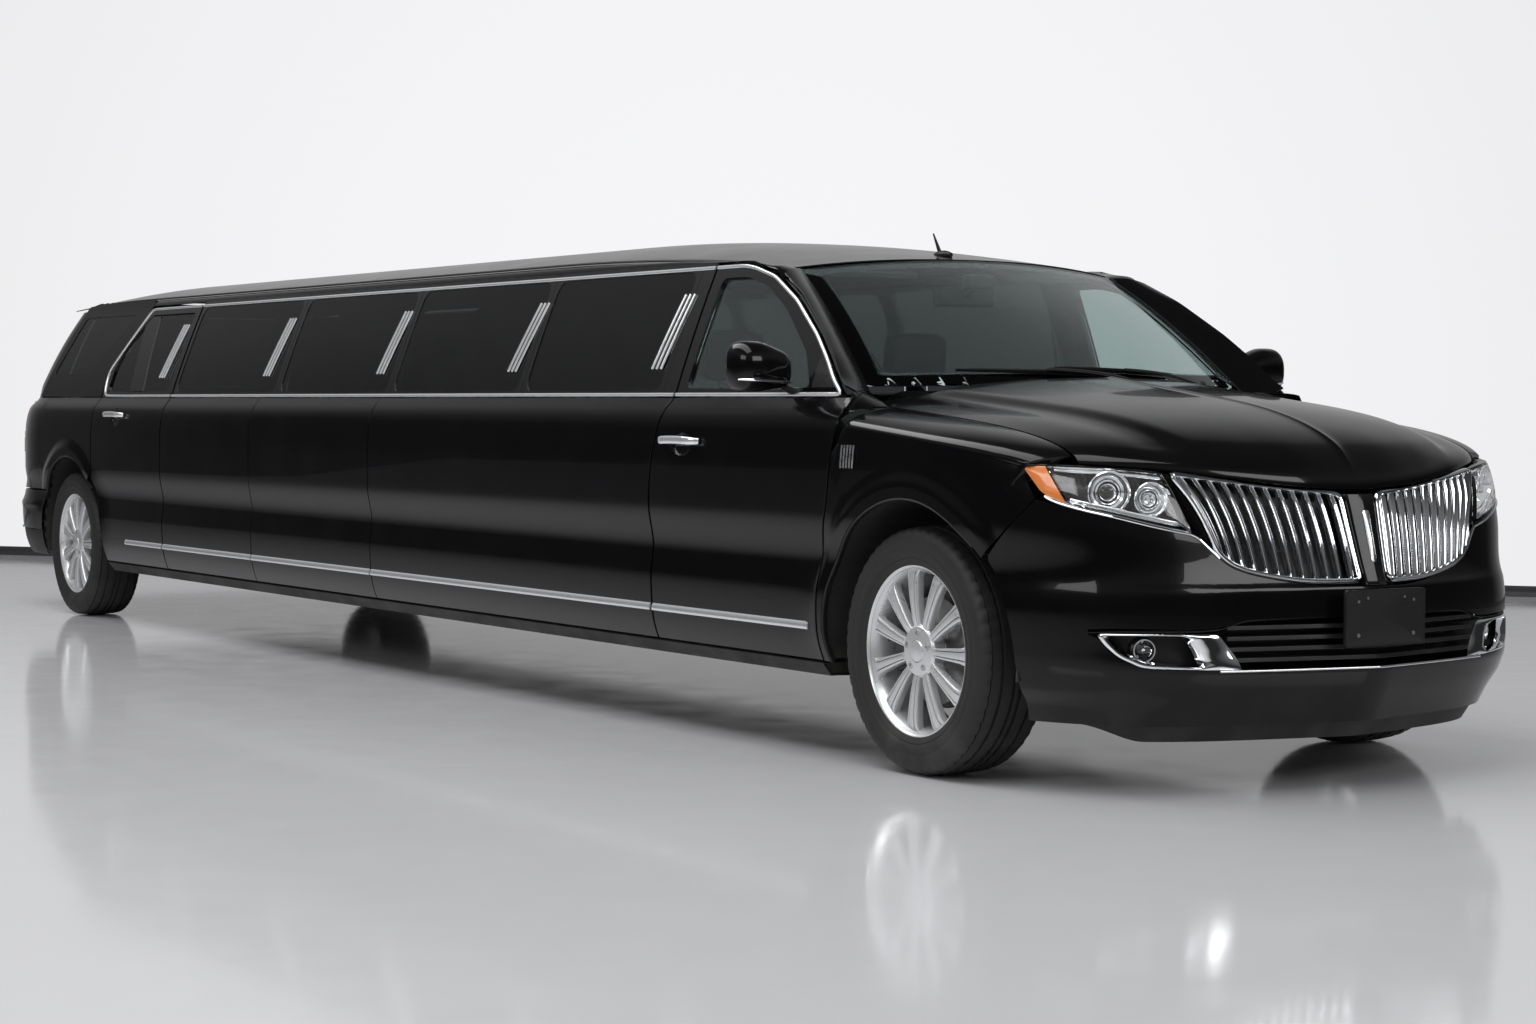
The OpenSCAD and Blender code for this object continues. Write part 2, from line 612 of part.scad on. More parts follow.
module quarter_panels() {
    side_start = rear_door_back - rear_x - panel_gap;
    arch_end = -asin((bumper_line - tyre_radius) / arch_radius) + 180;
    // Polar fan round the arch, from the door joint to the straight end of the side
    function fan_low(t) = let (a = mix(47, arch_end, t))
        [arch_radius * cos(a), tyre_radius + arch_radius * sin(a)];
    function fan_high(t) = t < 0.25 ? [side_start, mix(735, belt_height, t / 0.25)]
        : t < 0.8 ? [mix(side_start, -450 * tail_scale, (t - 0.25) / 0.55), belt_height]
        : [mix(-450, -475, (t - 0.8) / 0.2) * tail_scale, mix(belt_height, bumper_line, (t - 0.8) / 0.2)];
    function fan_point(t, v, inside) = let (p = mix(fan_low(t), fan_high(t), v))
        [rear_x + p[0], side_half(p[1]) - inside, p[1]];
    color("black") both_sides() {
        sheet([for (v = steps(5)) [for (t = steps(20)) fan_point(t, 1 - v, 0)]],
            [for (v = steps(5)) [for (t = steps(20)) fan_point(t, 1 - v, skin_thickness)]]);
        box_between(rear_x - 50, rear_x + 50, half - 150, half - 8,
            tyre_radius + well_radius + well_thickness + seat_gap,
            tyre_radius + well_radius + well_thickness + 30);
        corner_sheet(0, 0.34, bumper_line, belt_height, 6);
        corner_sheet(0.34, 1, bumper_line, lamp_bottom - 4, 6);
        corner_sheet(0.34, 1, lamp_top + 4, belt_height, 2);
        corner_sheet(0, 1, belt_height + 2 * seat_gap, roof_edge - 30, 8);
    }
}

// Patch of the rear corner, left side
module corner_sheet(from, to, low, high, rows) {
    sheet([for (v = steps(rows)) [for (w = steps(8))
            corner_point(mix(from, to, w), mix(high, low, v), 0)]],
        [for (v = steps(rows)) [for (w = steps(8))
            corner_point(mix(from, to, w), mix(high, low, v), skin_thickness)]]);
}

module tail_lamps() {
    color("red") both_sides()
        sheet([for (v = steps(5)) [for (w = steps(8))
                corner_point(mix(0.348, 1, w), mix(lamp_top, lamp_bottom, v), 0)]],
            [for (v = steps(5)) [for (w = steps(8))
                corner_point(mix(0.348, 1, w), mix(lamp_top, lamp_bottom, v), 14)]]);
}

module rear_bumper() {
    function back_point(w, v, inside) = let (z = mix(290, bumper_line - panel_gap, v), end = 88,
        angle = w * end, s = pow(abs(sin(angle)), 2 / tail_power) * sign(angle))
        [rear_x - tail_reach(z) + corner_depth(z) * (1 - pow(cos(angle), 2 / tail_power))
            + inside * cos(angle), s * side_half(z) - inside * sin(angle), z];
    color("black") union() {
        sheet([for (v = steps(8)) [for (w = nose_spread) back_point(w, v, 0)]],
            [for (v = steps(8)) [for (w = nose_spread) back_point(w, v, skin_thickness)]]);
        both_sides() box_between(rear_x - 1100 * tail_scale - seat_gap, rear_x - tail_reach(500) + 8,
            rail_offset - rail_width + 5, rail_offset - 5, 450, 540);
    }
}

gate_thickness = 40;
gate_window = [1180, 1560];

module tailgate() {
    function gate_top(u) = min(tailgate_hinge_z, roof_crown(roof_back, abs(u) * 0.8) - 22);
    function gate_point(u, v, deep) = let (z = mix(bumper_line + panel_gap, gate_top(u), v),
        y = u * gate_edge(z), s = abs(y) / side_half(z),
        inside = deep * mix(gate_thickness, 16, pow(v, 6)))
        [rear_x + tail_x(s, z) + inside, y, z];
    spread = [for (t = steps(12)) -1 + 2 * t];
    color("black") difference() {
        union() {
            sheet([for (v = steps(16)) [for (u = spread) gate_point(u, v, 0)]],
                [for (v = steps(16)) [for (u = spread) gate_point(u, v, 1)]]);
            both_sides() {
                translate([tailgate_hinge_x, 299, tailgate_hinge_z]) rotate([90, 0, 0])
                    cylinder(r = 8, h = 30);
                box_between(rear_x + tail_x(0.4, tailgate_hinge_z - 6) + 8, tailgate_hinge_x - 2,
                    269, 299, tailgate_hinge_z - 8, tailgate_hinge_z - 1);
            }
        }
        both_sides() translate([tailgate_hinge_x, 300, tailgate_hinge_z]) rotate([90, 0, 0])
            cylinder(r = hinge_pin_radius + pin_gap, h = 40);
        translate([rear_x - 1500, 0, 0]) rotate([90, 0, 90]) linear_extrude(1500)
            polygon([[-half + 425, gate_window[0]], [half - 425, gate_window[0]],
                [half - 475, gate_window[1]], [-half + 475, gate_window[1]]]);
    }
}

module tailgate_glass() {
    function pane_point(u, v) = let (z = mix(gate_window[0] + seat_gap, gate_window[1] - seat_gap, v),
        y = u * mix(half - 425 - 2 * seat_gap, half - 475 - 2 * seat_gap, v),
        s = abs(y) / side_half(z)) [rear_x + tail_x(s, z) + 8, y, z];
    spread = [for (t = steps(8)) -1 + 2 * t];
    color([0.1, 0.1, 0.1, 0.8])
        sheet([for (v = steps(6)) [for (u = spread) pane_point(u, v)]],
            [for (v = steps(6)) [for (u = spread) pane_point(u, v) + [glass_thickness, 0, 0]]]);
}

// ---------------------------------------------------------------- running gear
module engine_block() {
    wide = min(engine_size[1] / 2, rail_offset - 45);
    color("gray") box_between(front_x + 45, front_x + 45 + engine_size[0], -wide, wide,
        floor_height, floor_height + engine_size[2]);
}

module drive_shaft() {
    color("gray") translate([rear_x + 130 + seat_gap, 0, floor_height - 32])
        rotate([0, 90, 0]) cylinder(r = 28, h = wheelbase - 130 - 60 - 2 * seat_gap);
}

module exhaust() {
    pipe_z = floor_height - 32;
    color("silver") {
        translate([rear_x + 950, -230, pipe_z]) rotate([0, 90, 0])
            cylinder(r = 25, h = wheelbase - 950 - 60 - seat_gap);
        box_between(rear_x + 640, rear_x + 980, -330, -140, pipe_z - 45, floor_height - seat_gap);
    }
}

module front_subframe() {
    arm_low = tyre_radius - 155;
    arm_high = tyre_radius + 135;
    color("dimgray") {
        box_between(front_x - 60, front_x + 60, -rail_offset + rail_width + seat_gap,
            rail_offset - rail_width - seat_gap, 170, floor_height - seat_gap - 20);
        both_sides() {
            box_between(front_x - 50, front_x + 50, rail_offset - rail_width - 30, kingpin_offset + 22,
                arm_low - 22, arm_low - seat_gap * 2);
            box_between(front_x - 50, front_x + 50, rail_offset - rail_width - 20,
                rail_offset - rail_width - seat_gap, arm_low - 22, 200);
            box_between(front_x - 40, front_x + 40, rail_offset - 60, kingpin_offset + 22,
                arm_high + 1, arm_high + 22);
            box_between(front_x - 40, front_x + 40, rail_offset - 60, rail_offset,
                floor_height + seat_gap, arm_high + 22);
            translate([front_x, kingpin_offset, arm_low - 20]) cylinder(r = kingpin_radius, h = 50);
            translate([front_x, kingpin_offset, arm_high - 30]) cylinder(r = kingpin_radius, h = 50);
        }
    }
}

// Upright that turns about the kingpin and carries the wheel, left side
module knuckle() {
    low = tyre_radius - 155;
    high = tyre_radius + 135;
    difference() {
        union() {
            translate([front_x, kingpin_offset, low]) cylinder(r = 27, h = high - low);
            translate([front_x, kingpin_offset, tyre_radius]) rotate([-90, 0, 0])
                cylinder(r = spindle_radius, h = spindle_end - kingpin_offset);
        }
        for (z = [low - 1, high - 31])
            translate([front_x, kingpin_offset, z]) cylinder(r = kingpin_radius + pin_gap, h = 32);
    }
}
spindle_end = track / 2 + 40;
hub_inner = track / 2 - 40;

module rear_axle() {
    color("dimgray") {
        union() {
            translate([rear_x, -hub_inner + 12, tyre_radius]) rotate([-90, 0, 0])
                cylinder(r = 46, h = 2 * hub_inner - 24);
            translate([rear_x, -spindle_end, tyre_radius]) rotate([-90, 0, 0])
                cylinder(r = spindle_radius, h = 2 * spindle_end);
            box_between(rear_x - 110, rear_x + 130, -120, 120, tyre_radius - 120, tyre_radius + 80);
            both_sides() box_between(rear_x - 45, rear_x + 45, rail_offset - rail_width + 5,
                rail_offset - 5, tyre_radius + 20, 480 - seat_gap);
        }
    }
}

// Tyre on the left, centred on its wheel axis
module tyre(x, side) {
    w = tyre_width / 2;
    r = tyre_radius;
    color([0.05, 0.05, 0.05]) translate([x, side * track / 2, tyre_radius]) rotate([90, 0, 0])
        rotate_extrude($fn = 96) polygon([[rim_radius - 12, -w + 14], [rim_radius + 6, -w + 6],
            [rim_radius + 45, -w], [r - 40, -w + 2], [r - 14, -w + 14], [r - 4, -w + 34],
            [r, -w + 60], [r, w - 60], [r - 4, w - 34], [r - 14, w - 14], [r - 40, w - 2],
            [rim_radius + 45, w], [rim_radius + 6, w - 6], [rim_radius - 12, w - 14]]);
}

spoke_count = 11;
module rim(x, side) {
    w = tyre_width / 2 - 14;
    lip = rim_radius - 12 - seat_gap;
    color("silver") translate([x, side * track / 2, tyre_radius]) rotate([-90 * side, 0, 0])
        difference() {
            union() {
                rotate_extrude($fn = 96) polygon([[lip - 14, -w], [lip, -w], [lip, w],
                    [lip - 14, w]]);
                translate([0, 0, w - 45]) cylinder(r = lip - 5, h = 30, $fn = 96);
                translate([0, 0, -40]) cylinder(r = 75, h = w + 10);
                translate([0, 0, -40]) cylinder(r = 165, h = 26);
            }
            translate([0, 0, -100]) cylinder(r = spindle_radius + pin_gap, h = 141);
            for (i = [0:spoke_count - 1]) rotate([0, 0, i * 360 / spoke_count])
                translate([0, 0, w - 50]) linear_extrude(60)
                    polygon([[95, -9], [lip - 30, -44], [lip - 22, 0], [lip - 30, 44], [95, 9]]);
        }
}

// ---------------------------------------------------------------- cabin
module dashboard() {
    color([0.2, 0.2, 0.2]) difference() {
        side_cut([[front_x - 620 - seat_gap, 700], [front_x - 620 - seat_gap, 1050],
        [front_x - 780, 1090], [front_x - 900, 1040], [front_x - 860, 760], [front_x - 760, 700]],
            -half + 200, half - 200);
        at_steering_wheel() translate([0, 0, -column_length - 2])
            cylinder(r = column_radius + pin_gap, h = column_length);
    }
}

wheel_centre = [front_x - 1080, seat_offset, 1000];
wheel_tilt = 25;
column_radius = 20;
column_length = 270;
// Places its children with +Z along the steering axis, towards the driver
module at_steering_wheel() {
    translate(wheel_centre) rotate([0, -90 + wheel_tilt, 0]) children();
}
module steering_wheel() {
    color([0.15, 0.15, 0.15]) at_steering_wheel() {
        translate([0, 0, -column_length]) cylinder(r = column_radius, h = column_length);
        rotate_extrude() translate([steering_wheel_radius, 0]) circle(r = 15, $fn = 24);
        translate([0, 0, -25]) cylinder(r = 60, h = 40);
        for (a = [90, 210, 330]) rotate([0, 0, a]) translate([50, -14, -12])
            cube([steering_wheel_radius - 50, 28, 16]);
    }
}

module front_seats() {
    color([0.25, 0.25, 0.27]) for (side = [-1, 1]) {
        y = side * seat_offset;
        box_between(front_x - 1750, front_x - 1250, y - 150, y + 150,
            floor_height + floor_thickness + seat_gap, seat_height - 130);
        side_cut([[front_x - 1200, seat_height - 130], [front_x - 1190, seat_height - 10],
            [front_x - 1660, seat_height - 30], [front_x - 1850, 1160], [front_x - 1960, 1150],
            [front_x - 1800, seat_height - 130]], y - seat_width / 2, y + seat_width / 2);
        side_cut([[front_x - 1860, 1175], [front_x - 1845, 1360], [front_x - 1950, 1365],
            [front_x - 1955, 1175]], y - 130, y + 130);
        for (off = [-50, 50]) translate([front_x - 1905, y + off, 1100]) cylinder(r = 7, h = 120);
    }
}

module lounge_seats() {
    base = floor_height + floor_thickness + seat_gap;
    back = rear_x + 640;
    wall = sill_inner - 10;
    color([0.12, 0.12, 0.12]) {
        box_between(centre_front - 700, back + 600, wall - 560, wall, base, 700);
        box_between(centre_front - 700, back + 600, wall - 110, wall, 690, 1060);
        box_between(back + 5, back + 601, -wall, wall, base, 700);
        box_between(back + 5, back + 130, -wall, wall, 690, 1100);
    }
}

// ---------------------------------------------------------------- doors
// Eye that turns on one hinge pin, with its strap to the door body
module hinge_eye(x, z) {
    difference() {
        union() {
            translate([x, hinge_y, z - 15]) cylinder(r = 6.5, h = 28);
            box_between(x - 36, x - 4, hinge_y - 6, hinge_y + 4, z - 15, z + 13);
        }
        translate([x, hinge_y, z - 20]) cylinder(r = hinge_pin_radius + pin_gap, h = 40);
    }
}

front_skin_outline = concat([for (p = door_edge) [front_x - p[0], p[1]]],
    [[front_x - 395, belt_height + 5], [front_door_back, belt_height + 5],
     [front_door_back, door_bottom]]);
front_frame_outline = concat([for (p = frame_edge) [front_x - p[0], p[1]]],
    [[front_x - 1240, door_top], [front_frame_back, door_top], [front_frame_back, belt_height]]);
front_window_outline = [[front_x - 620, window_sill], [front_x - 700, 1262], [front_x - 900, 1404],
    [front_x - 1085, 1492], [front_x - 1215, 1520], [front_frame_back + 45, 1520],
    [front_frame_back + 25, window_sill]];

module front_door() {
    thick_front = front_hinge_x - 32;
    difference() {
        union() {
            intersection() {
                side_skin(front_door_back - 40, front_x - 360, door_bottom, belt_height);
                side_cut(front_skin_outline, 0, half + 10);
            }
            side_wall(front_door_back + 15, thick_front, door_bottom + 3, belt_height, inner_face);
            lean_cut(front_frame_outline, 0, frame_thickness);
            for (z = hinge_heights) hinge_eye(front_hinge_x, z);
        }
        lean_cut(front_window_outline, -20, frame_thickness + 60);
    }
}

module front_door_left() { color("black") front_door(); }
module front_door_right() { color("black") mirror([0, 1, 0]) front_door(); }

module front_door_glass() {
    lean_cut(front_window_outline, 8, glass_thickness);
}
module front_door_glass_left() { color([0.1, 0.1, 0.1, 0.7]) front_door_glass(); }
module front_door_glass_right() { color([0.1, 0.1, 0.1, 0.7]) mirror([0, 1, 0]) front_door_glass(); }

rear_edge_circle = flare_radius + 5;
rear_skin_outline = concat([[rear_door_front, door_bottom], [rear_door_front, belt_height + 5],
    [rear_door_back, belt_height + 5]],
    [for (a = [44:-6:-4]) [rear_x + rear_edge_circle * cos(a), tyre_radius + rear_edge_circle * sin(a)]],
    [[rear_x + rear_edge_circle, door_bottom]]);
rear_frame_outline = [[rear_door_front - 5, belt_height], [rear_door_front - 5, door_top],
    [rear_x + 672, door_top], [rear_x + rear_door_end - 10, 1250 - 15], [rear_door_back, belt_height]];
rear_window_outline = [[rear_door_front - 60, window_sill], [rear_door_front - 60, 1528],
    [rear_x + 690, 1528], [rear_x + 480, 1360], [rear_x + 430, 1260], [rear_x + 430, window_sill]];

module rear_door() {
    thick_front = rear_hinge_x - 32;
    difference() {
        union() {
            intersection() {
                side_skin(rear_door_back - 1, rear_door_front, door_bottom, belt_height);
                side_cut(rear_skin_outline, 0, half + 10);
            }
            difference() {
                side_wall(rear_door_back + 30, thick_front, door_bottom + 3, belt_height, inner_face);
                translate([rear_x, half + 50, tyre_radius]) rotate([90, 0, 0])
                    cylinder(r = flare_radius + 40, h = 400);
            }
            lean_cut(rear_frame_outline, 0, frame_thickness);
            for (z = hinge_heights) hinge_eye(rear_hinge_x, z);
        }
        lean_cut(rear_window_outline, -20, frame_thickness + 60);
    }
}

module rear_door_left() { color("black") rear_door(); }
module rear_door_right() { color("black") mirror([0, 1, 0]) rear_door(); }

module rear_door_glass() { lean_cut(rear_window_outline, 8, glass_thickness); }
module rear_door_glass_left() { color([0.1, 0.1, 0.1, 0.7]) rear_door_glass(); }
module rear_door_glass_right() { color([0.1, 0.1, 0.1, 0.7]) mirror([0, 1, 0]) rear_door_glass(); }

module door_mirror() {
    base = front_x - 680;
    foot = 1098;
    face = side_half(foot) + seat_gap;
    hull() {
        translate([base - 60, face + 60, 1150]) rotate([0, 8, 0]) cylinder(r1 = 42, r2 = 62, h = 60, $fn = 32);
        translate([base - 60, face + 175, 1160]) cylinder(r = 48, h = 110, $fn = 32);
        translate([base - 60, face + 50, 1175]) cylinder(r = 50, h = 85, $fn = 32);
    }
    box_between(base - 90, base + 10, face, face + 62, foot, foot + 24);
    box_between(base - 80, base - 30, face + 30, face + 62, foot + 20, 1160);
}
module mirror_left() { color("black") door_mirror(); }
module mirror_right() { color("black") mirror([0, 1, 0]) door_mirror(); }

module knuckle_left() { color("dimgray") knuckle(); }
module knuckle_right() { color("dimgray") mirror([0, 1, 0]) knuckle(); }
module tyre_front_left() { tyre(front_x, 1); }
module tyre_front_right() { tyre(front_x, -1); }
module tyre_rear_left() { tyre(rear_x, 1); }
module tyre_rear_right() { tyre(rear_x, -1); }
module rim_front_left() { rim(front_x, 1); }
module rim_front_right() { rim(front_x, -1); }
module rim_rear_left() { rim(rear_x, 1); }
module rim_rear_right() { rim(rear_x, -1); }

floor_pan();
chassis_rails();
sills();
hinge_pillars();
firewall();
roof();
side_panels();
windshield_pillars();
quarter_panels();
front_fenders();
wheel_wells();
front_bumper();
rear_bumper();
grille();
headlights();
tail_lamps();
windshield();
side_windows();
plate_bracket();
engine_block();
drive_shaft();
exhaust();
front_subframe();
rear_axle();
dashboard();
steering_wheel();
front_seats();
lounge_seats();
hood();
front_door_left();
front_door_right();
front_door_glass_left();
front_door_glass_right();
mirror_left();
mirror_right();
rear_door_left();
rear_door_right();
rear_door_glass_left();
rear_door_glass_right();
tailgate();
tailgate_glass();
knuckle_left();
knuckle_right();
tyre_front_left();
tyre_front_right();
tyre_rear_left();
tyre_rear_right();
rim_front_left();
rim_front_right();
rim_rear_left();
rim_rear_right();
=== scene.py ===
# Stretch limousine: the visible skins, lamps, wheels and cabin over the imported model.
import json
from math import pi, radians, tan, sin, cos

import bmesh
import bpy
import numpy as np
from mathutils import Matrix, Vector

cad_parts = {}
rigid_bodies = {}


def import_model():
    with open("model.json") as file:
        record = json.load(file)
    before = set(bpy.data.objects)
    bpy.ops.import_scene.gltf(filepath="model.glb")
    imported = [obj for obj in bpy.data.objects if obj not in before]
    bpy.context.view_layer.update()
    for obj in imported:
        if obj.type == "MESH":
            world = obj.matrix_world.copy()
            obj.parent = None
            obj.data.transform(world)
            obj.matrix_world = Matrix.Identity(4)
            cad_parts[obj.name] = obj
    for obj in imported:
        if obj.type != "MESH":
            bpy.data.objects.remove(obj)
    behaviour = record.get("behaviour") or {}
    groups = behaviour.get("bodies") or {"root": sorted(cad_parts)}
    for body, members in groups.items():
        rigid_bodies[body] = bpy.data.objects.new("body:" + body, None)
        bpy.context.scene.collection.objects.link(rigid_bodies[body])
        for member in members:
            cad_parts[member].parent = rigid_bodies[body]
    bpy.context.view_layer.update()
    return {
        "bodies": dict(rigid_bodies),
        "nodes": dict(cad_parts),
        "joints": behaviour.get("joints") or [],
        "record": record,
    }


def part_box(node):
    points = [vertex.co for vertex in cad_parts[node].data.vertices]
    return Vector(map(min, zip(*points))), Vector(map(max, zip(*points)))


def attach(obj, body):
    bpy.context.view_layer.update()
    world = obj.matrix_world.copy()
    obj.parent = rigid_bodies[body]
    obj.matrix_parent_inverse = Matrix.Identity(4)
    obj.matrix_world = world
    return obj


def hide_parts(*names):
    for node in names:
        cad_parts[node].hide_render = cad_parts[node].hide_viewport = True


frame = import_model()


# centre of a node: the mean of the two corners of its box
def middle(node):
    lo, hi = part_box(node)
    return np.array((lo + hi) / 2)


# numbers shared by all pieces
frontX = middle("tyre_front_left")[0]
rearX = middle("tyre_rear_left")[0]
axleZ = middle("tyre_front_left")[2]
body = dict(halfWidth=.965, belt=1.12, beltWidth=.905, lean=tan(radians(21)), cant=1.575,
            doorBottom=.305, archRadius=.455, gap=.0045, bulge=.006)


# curves and grids
def smoothCurve(knots):
    # Monotone cubic through rising knots: Hermite pieces whose slopes are harmonic means.
    x, y = np.array(knots, float).T
    h = np.diff(x)
    s = np.diff(y) / h
    m = np.concatenate([[s[0]], np.zeros(len(s) - 1), [s[-1]]])
    same = s[:-1] * s[1:] > 0
    w1, w2 = 2 * h[1:] + h[:-1], h[1:] + 2 * h[:-1]
    safe = np.where(same, s[:-1], 1), np.where(same, s[1:], 1)
    m[1:-1] = np.where(same, (w1 + w2) / (w1 / safe[0] + w2 / safe[1]), 0)

    def value(t):
        # Cubic Hermite sum of both end values and both end slopes of the piece that holds t.
        t = np.clip(t, x[0], x[-1])
        i = np.clip(np.searchsorted(x, t, "right") - 1, 0, len(h) - 1)
        u = (t - x[i]) / h[i]
        return ((2 * u**3 - 3 * u**2 + 1) * y[i] + (u**3 - 2 * u**2 + u) * h[i] * m[i]
                + (3 * u**2 - 2 * u**3) * y[i + 1] + (u**3 - u**2) * h[i] * m[i + 1])
    return value


# a plus t times the step from a to b
def mix(a, b, t):
    return a + (b - a) * t


# three t squared less two t cubed, with t held between 0 and 1
def smoothStep(t):
    t = np.clip(t, 0, 1)
    return t * t * (3 - 2 * t)


def squared(t, n):
    # Quarter arc of a squared circle: 1 at t = 0, falling to 0 at t = 1.
    return np.maximum(0, 1 - np.minimum(1, np.abs(t))**n)**(1 / n)


def crossed(a, b):
    # Every pair of two rows of values, as two arrays.
    return np.meshgrid(a, b, indexing="ij")


def roundAngles(n):
    # n equal steps round a full turn.
    return np.linspace(0, 2 * pi, n, endpoint=False)


def signedPower(t, n):
    # Size of t to the power n, with the sign of t.
    return np.sign(t) * np.abs(t)**n


def twiceArea(outline):
    # Sum of cross products of neighbours: twice the area, positive when it runs anticlockwise.
    x, y = outline[:, 0], outline[:, 1]
    return np.sum(x * np.roll(y, -1) - np.roll(x, -1) * y)


def grid(nu, nv):
    # Two parameters from 0 to 1 over a grid of nu by nv points.
    return crossed(np.linspace(0, 1, nu), np.linspace(0, 1, nv))


a8, a16 = roundAngles(8), roundAngles(16)


# ellipse: cosine and sine of each angle times two half widths
def oval(across, up, angles=a8):
    return np.stack([np.cos(angles) * across, np.sin(angles) * up], 1)


# coordinates of any fitting shapes as points along a last axis
def stack(*parts):
    return np.stack(np.broadcast_arrays(*parts), -1).astype(float)


def rimWalk(n, m):
    # Points round the unit square: n along its lower and upper edges, m along the others.
    return np.concatenate([stack(np.linspace(0, 1, n), 0), stack(1, np.linspace(0, 1, m))[1:],
                           stack(np.linspace(1, 0, n), 1)[1:], stack(0, np.linspace(1, 0, m))[1:-1]])


def surfaceNormals(p, wrapU=False, wrapV=False):
    # Unit normals of a grid: cross product of its two central differences.
    def along(axis, wrap):
        if wrap:
            return np.roll(p, -1, axis) - np.roll(p, 1, axis)
        return np.gradient(p, axis=axis)
    n = np.cross(along(0, wrapU), along(1, wrapV))
    return n / np.maximum(np.linalg.norm(n, axis=-1, keepdims=True), 1e-12)


def sheetShape(p, thickness=0, outward=(0, 0, 1), wrapU=False, wrapV=False, keep=None):
    # Grid of quads, given a wall by a second grid moved inward along the normals, and a rim
    # over every open edge. keep says which quads stay. Returns points and faces.
    n, m = p.shape[:2]
    normals = surfaceNormals(p, wrapU, wrapV)
    flip = np.sum(normals * np.broadcast_to(outward, p.shape)) < 0
    if flip:
        normals = -normals
    iu, iv = np.arange(n if wrapU else n - 1), np.arange(m if wrapV else m - 1)
    a, b = crossed(iu, iv)
    a2, b2 = (a + 1) % n, (b + 1) % m
    quads = np.stack([a * m + b, a2 * m + b, a2 * m + b2, a * m + b2], -1)
    quads = quads[keep] if keep is not None else quads.reshape(-1, 4)
    if flip:
        quads = quads[:, ::-1]
    points = p.reshape(-1, 3)
    if not thickness:
        return points, quads
    inner = (p - normals * np.asarray(thickness)[..., None] if np.ndim(thickness) else
             p - normals * thickness).reshape(-1, 3)
    size = len(points)
    if keep is None and not wrapU and not wrapV and n > 9 and m > 5:
        rows, columns = (np.unique(np.append(np.arange(0, k, 3), k - 1)) for k in (n, m))
        c, d = crossed(np.arange(len(rows) - 1), np.arange(len(columns) - 1))
        r0, r1, c0, c1 = rows[c], rows[c + 1], columns[d], columns[d + 1]
        back = np.stack([r0 * m + c0, r1 * m + c0, r1 * m + c1, r0 * m + c1], -1).reshape(-1, 4)
        back = back[:, ::-1] if flip else back
    else:
        back = quads
    edges = np.concatenate([quads[:, [i, (i + 1) % 4]] for i in range(4)])
    code, other = edges[:, 0] * size + edges[:, 1], edges[:, 1] * size + edges[:, 0]
    rim = edges[~np.isin(code, other)]
    walls = np.stack([rim[:, 1], rim[:, 0], rim[:, 0] + size, rim[:, 1] + size], -1)
    return (np.concatenate([points, inner]), np.concatenate([quads, back[:, ::-1] + size, walls]))


def tubeShape(path, section, closed=False, up=(0, 0, 1), scale=None):
    # Section points (across, up) carried along a path; the frame keeps up as near to the
    # given direction as the path allows. Ends are closed by a fan.
    path, section = np.asarray(path, float), np.asarray(section, float)
    t = np.roll(path, -1, 0) - np.roll(path, 1, 0) if closed else np.gradient(path, axis=0)
    t /= np.maximum(np.linalg.norm(t, axis=1, keepdims=True), 1e-12)
    up = np.broadcast_to(np.asarray(up, float), path.shape)
    across = np.cross(t, up)
    across /= np.maximum(np.linalg.norm(across, axis=1, keepdims=True), 1e-12)
    rise = np.cross(across, t)
    k = np.ones(len(path)) if scale is None else scale
    p = (path[:, None] + across[:, None] * section[None, :, :1] * k[:, None, None]
         + rise[:, None] * section[None, :, 1:] * k[:, None, None])
    n, m = p.shape[:2]
    area = twiceArea(section)
    a, b = crossed(np.arange(n if closed else n - 1), np.arange(m))
    a2, b2 = (a + 1) % n, (b + 1) % m
    quads = np.stack([a * m + b, a * m + b2, a2 * m + b2, a2 * m + b], -1).reshape(-1, 4)
    if area < 0:
        quads = quads[:, ::-1]
    points = p.reshape(-1, 3)
    if closed:
        return points, quads
    first, last = len(points), len(points) + 1
    points = np.concatenate([points, path[[0, -1]]])
    i, j = np.arange(m), (np.arange(m) + 1) % m
    ends = np.concatenate([np.stack([j, i, i * 0 + first, i * 0 + first], -1),
                           np.stack([i, j, i * 0 + last, i * 0 + last], -1)
                           + np.array([1, 1, 0, 0]) * (n - 1) * m])
    if area < 0:
        ends = ends[:, [1, 0, 2, 3]]
    return points, np.concatenate([quads, ends])


def latheShape(profile, centre, axis=(0, 1, 0), segments=96, ripple=None):
    # Profile of (radius, height) points turned about an axis. ripple(angle, index) adds to
    # the radius and height. A closed profile makes a ring; points at radius 0 close it.
    profile = np.asarray(profile, float)
    axis = np.asarray(axis, float)
    side = np.cross(axis, (0, 0, 1) if abs(axis[2]) < .9 else (1, 0, 0))
    side /= np.linalg.norm(side)
    third = np.cross(axis, side)
    a = roundAngles(segments)[:, None]
    r, h = np.broadcast_to(profile[None, :, 0], (segments, len(profile))), profile[None, :, 1]
    if ripple is not None:
        dr, dh = ripple(a, np.arange(len(profile))[None, :])
        r, h = r + dr, h + dh
    r, h = r[..., None], (h + 0 * a)[..., None]
    p = (np.asarray(centre, float) + (np.cos(a)[..., None] * side + np.sin(a)[..., None] * third) * r
         + axis * h)
    closed = np.hypot(*(profile[0] - profile[-1])) < 1e-9
    if closed:
        p = p[:, :-1]
    n, m = p.shape[:2]
    i, j = crossed(np.arange(n), np.arange(m if closed else m - 1))
    i2, j2 = (i + 1) % n, (j + 1) % m
    quads = np.stack([i * m + j, i2 * m + j, i2 * m + j2, i * m + j2], -1).reshape(-1, 4)
    return p.reshape(-1, 3), quads


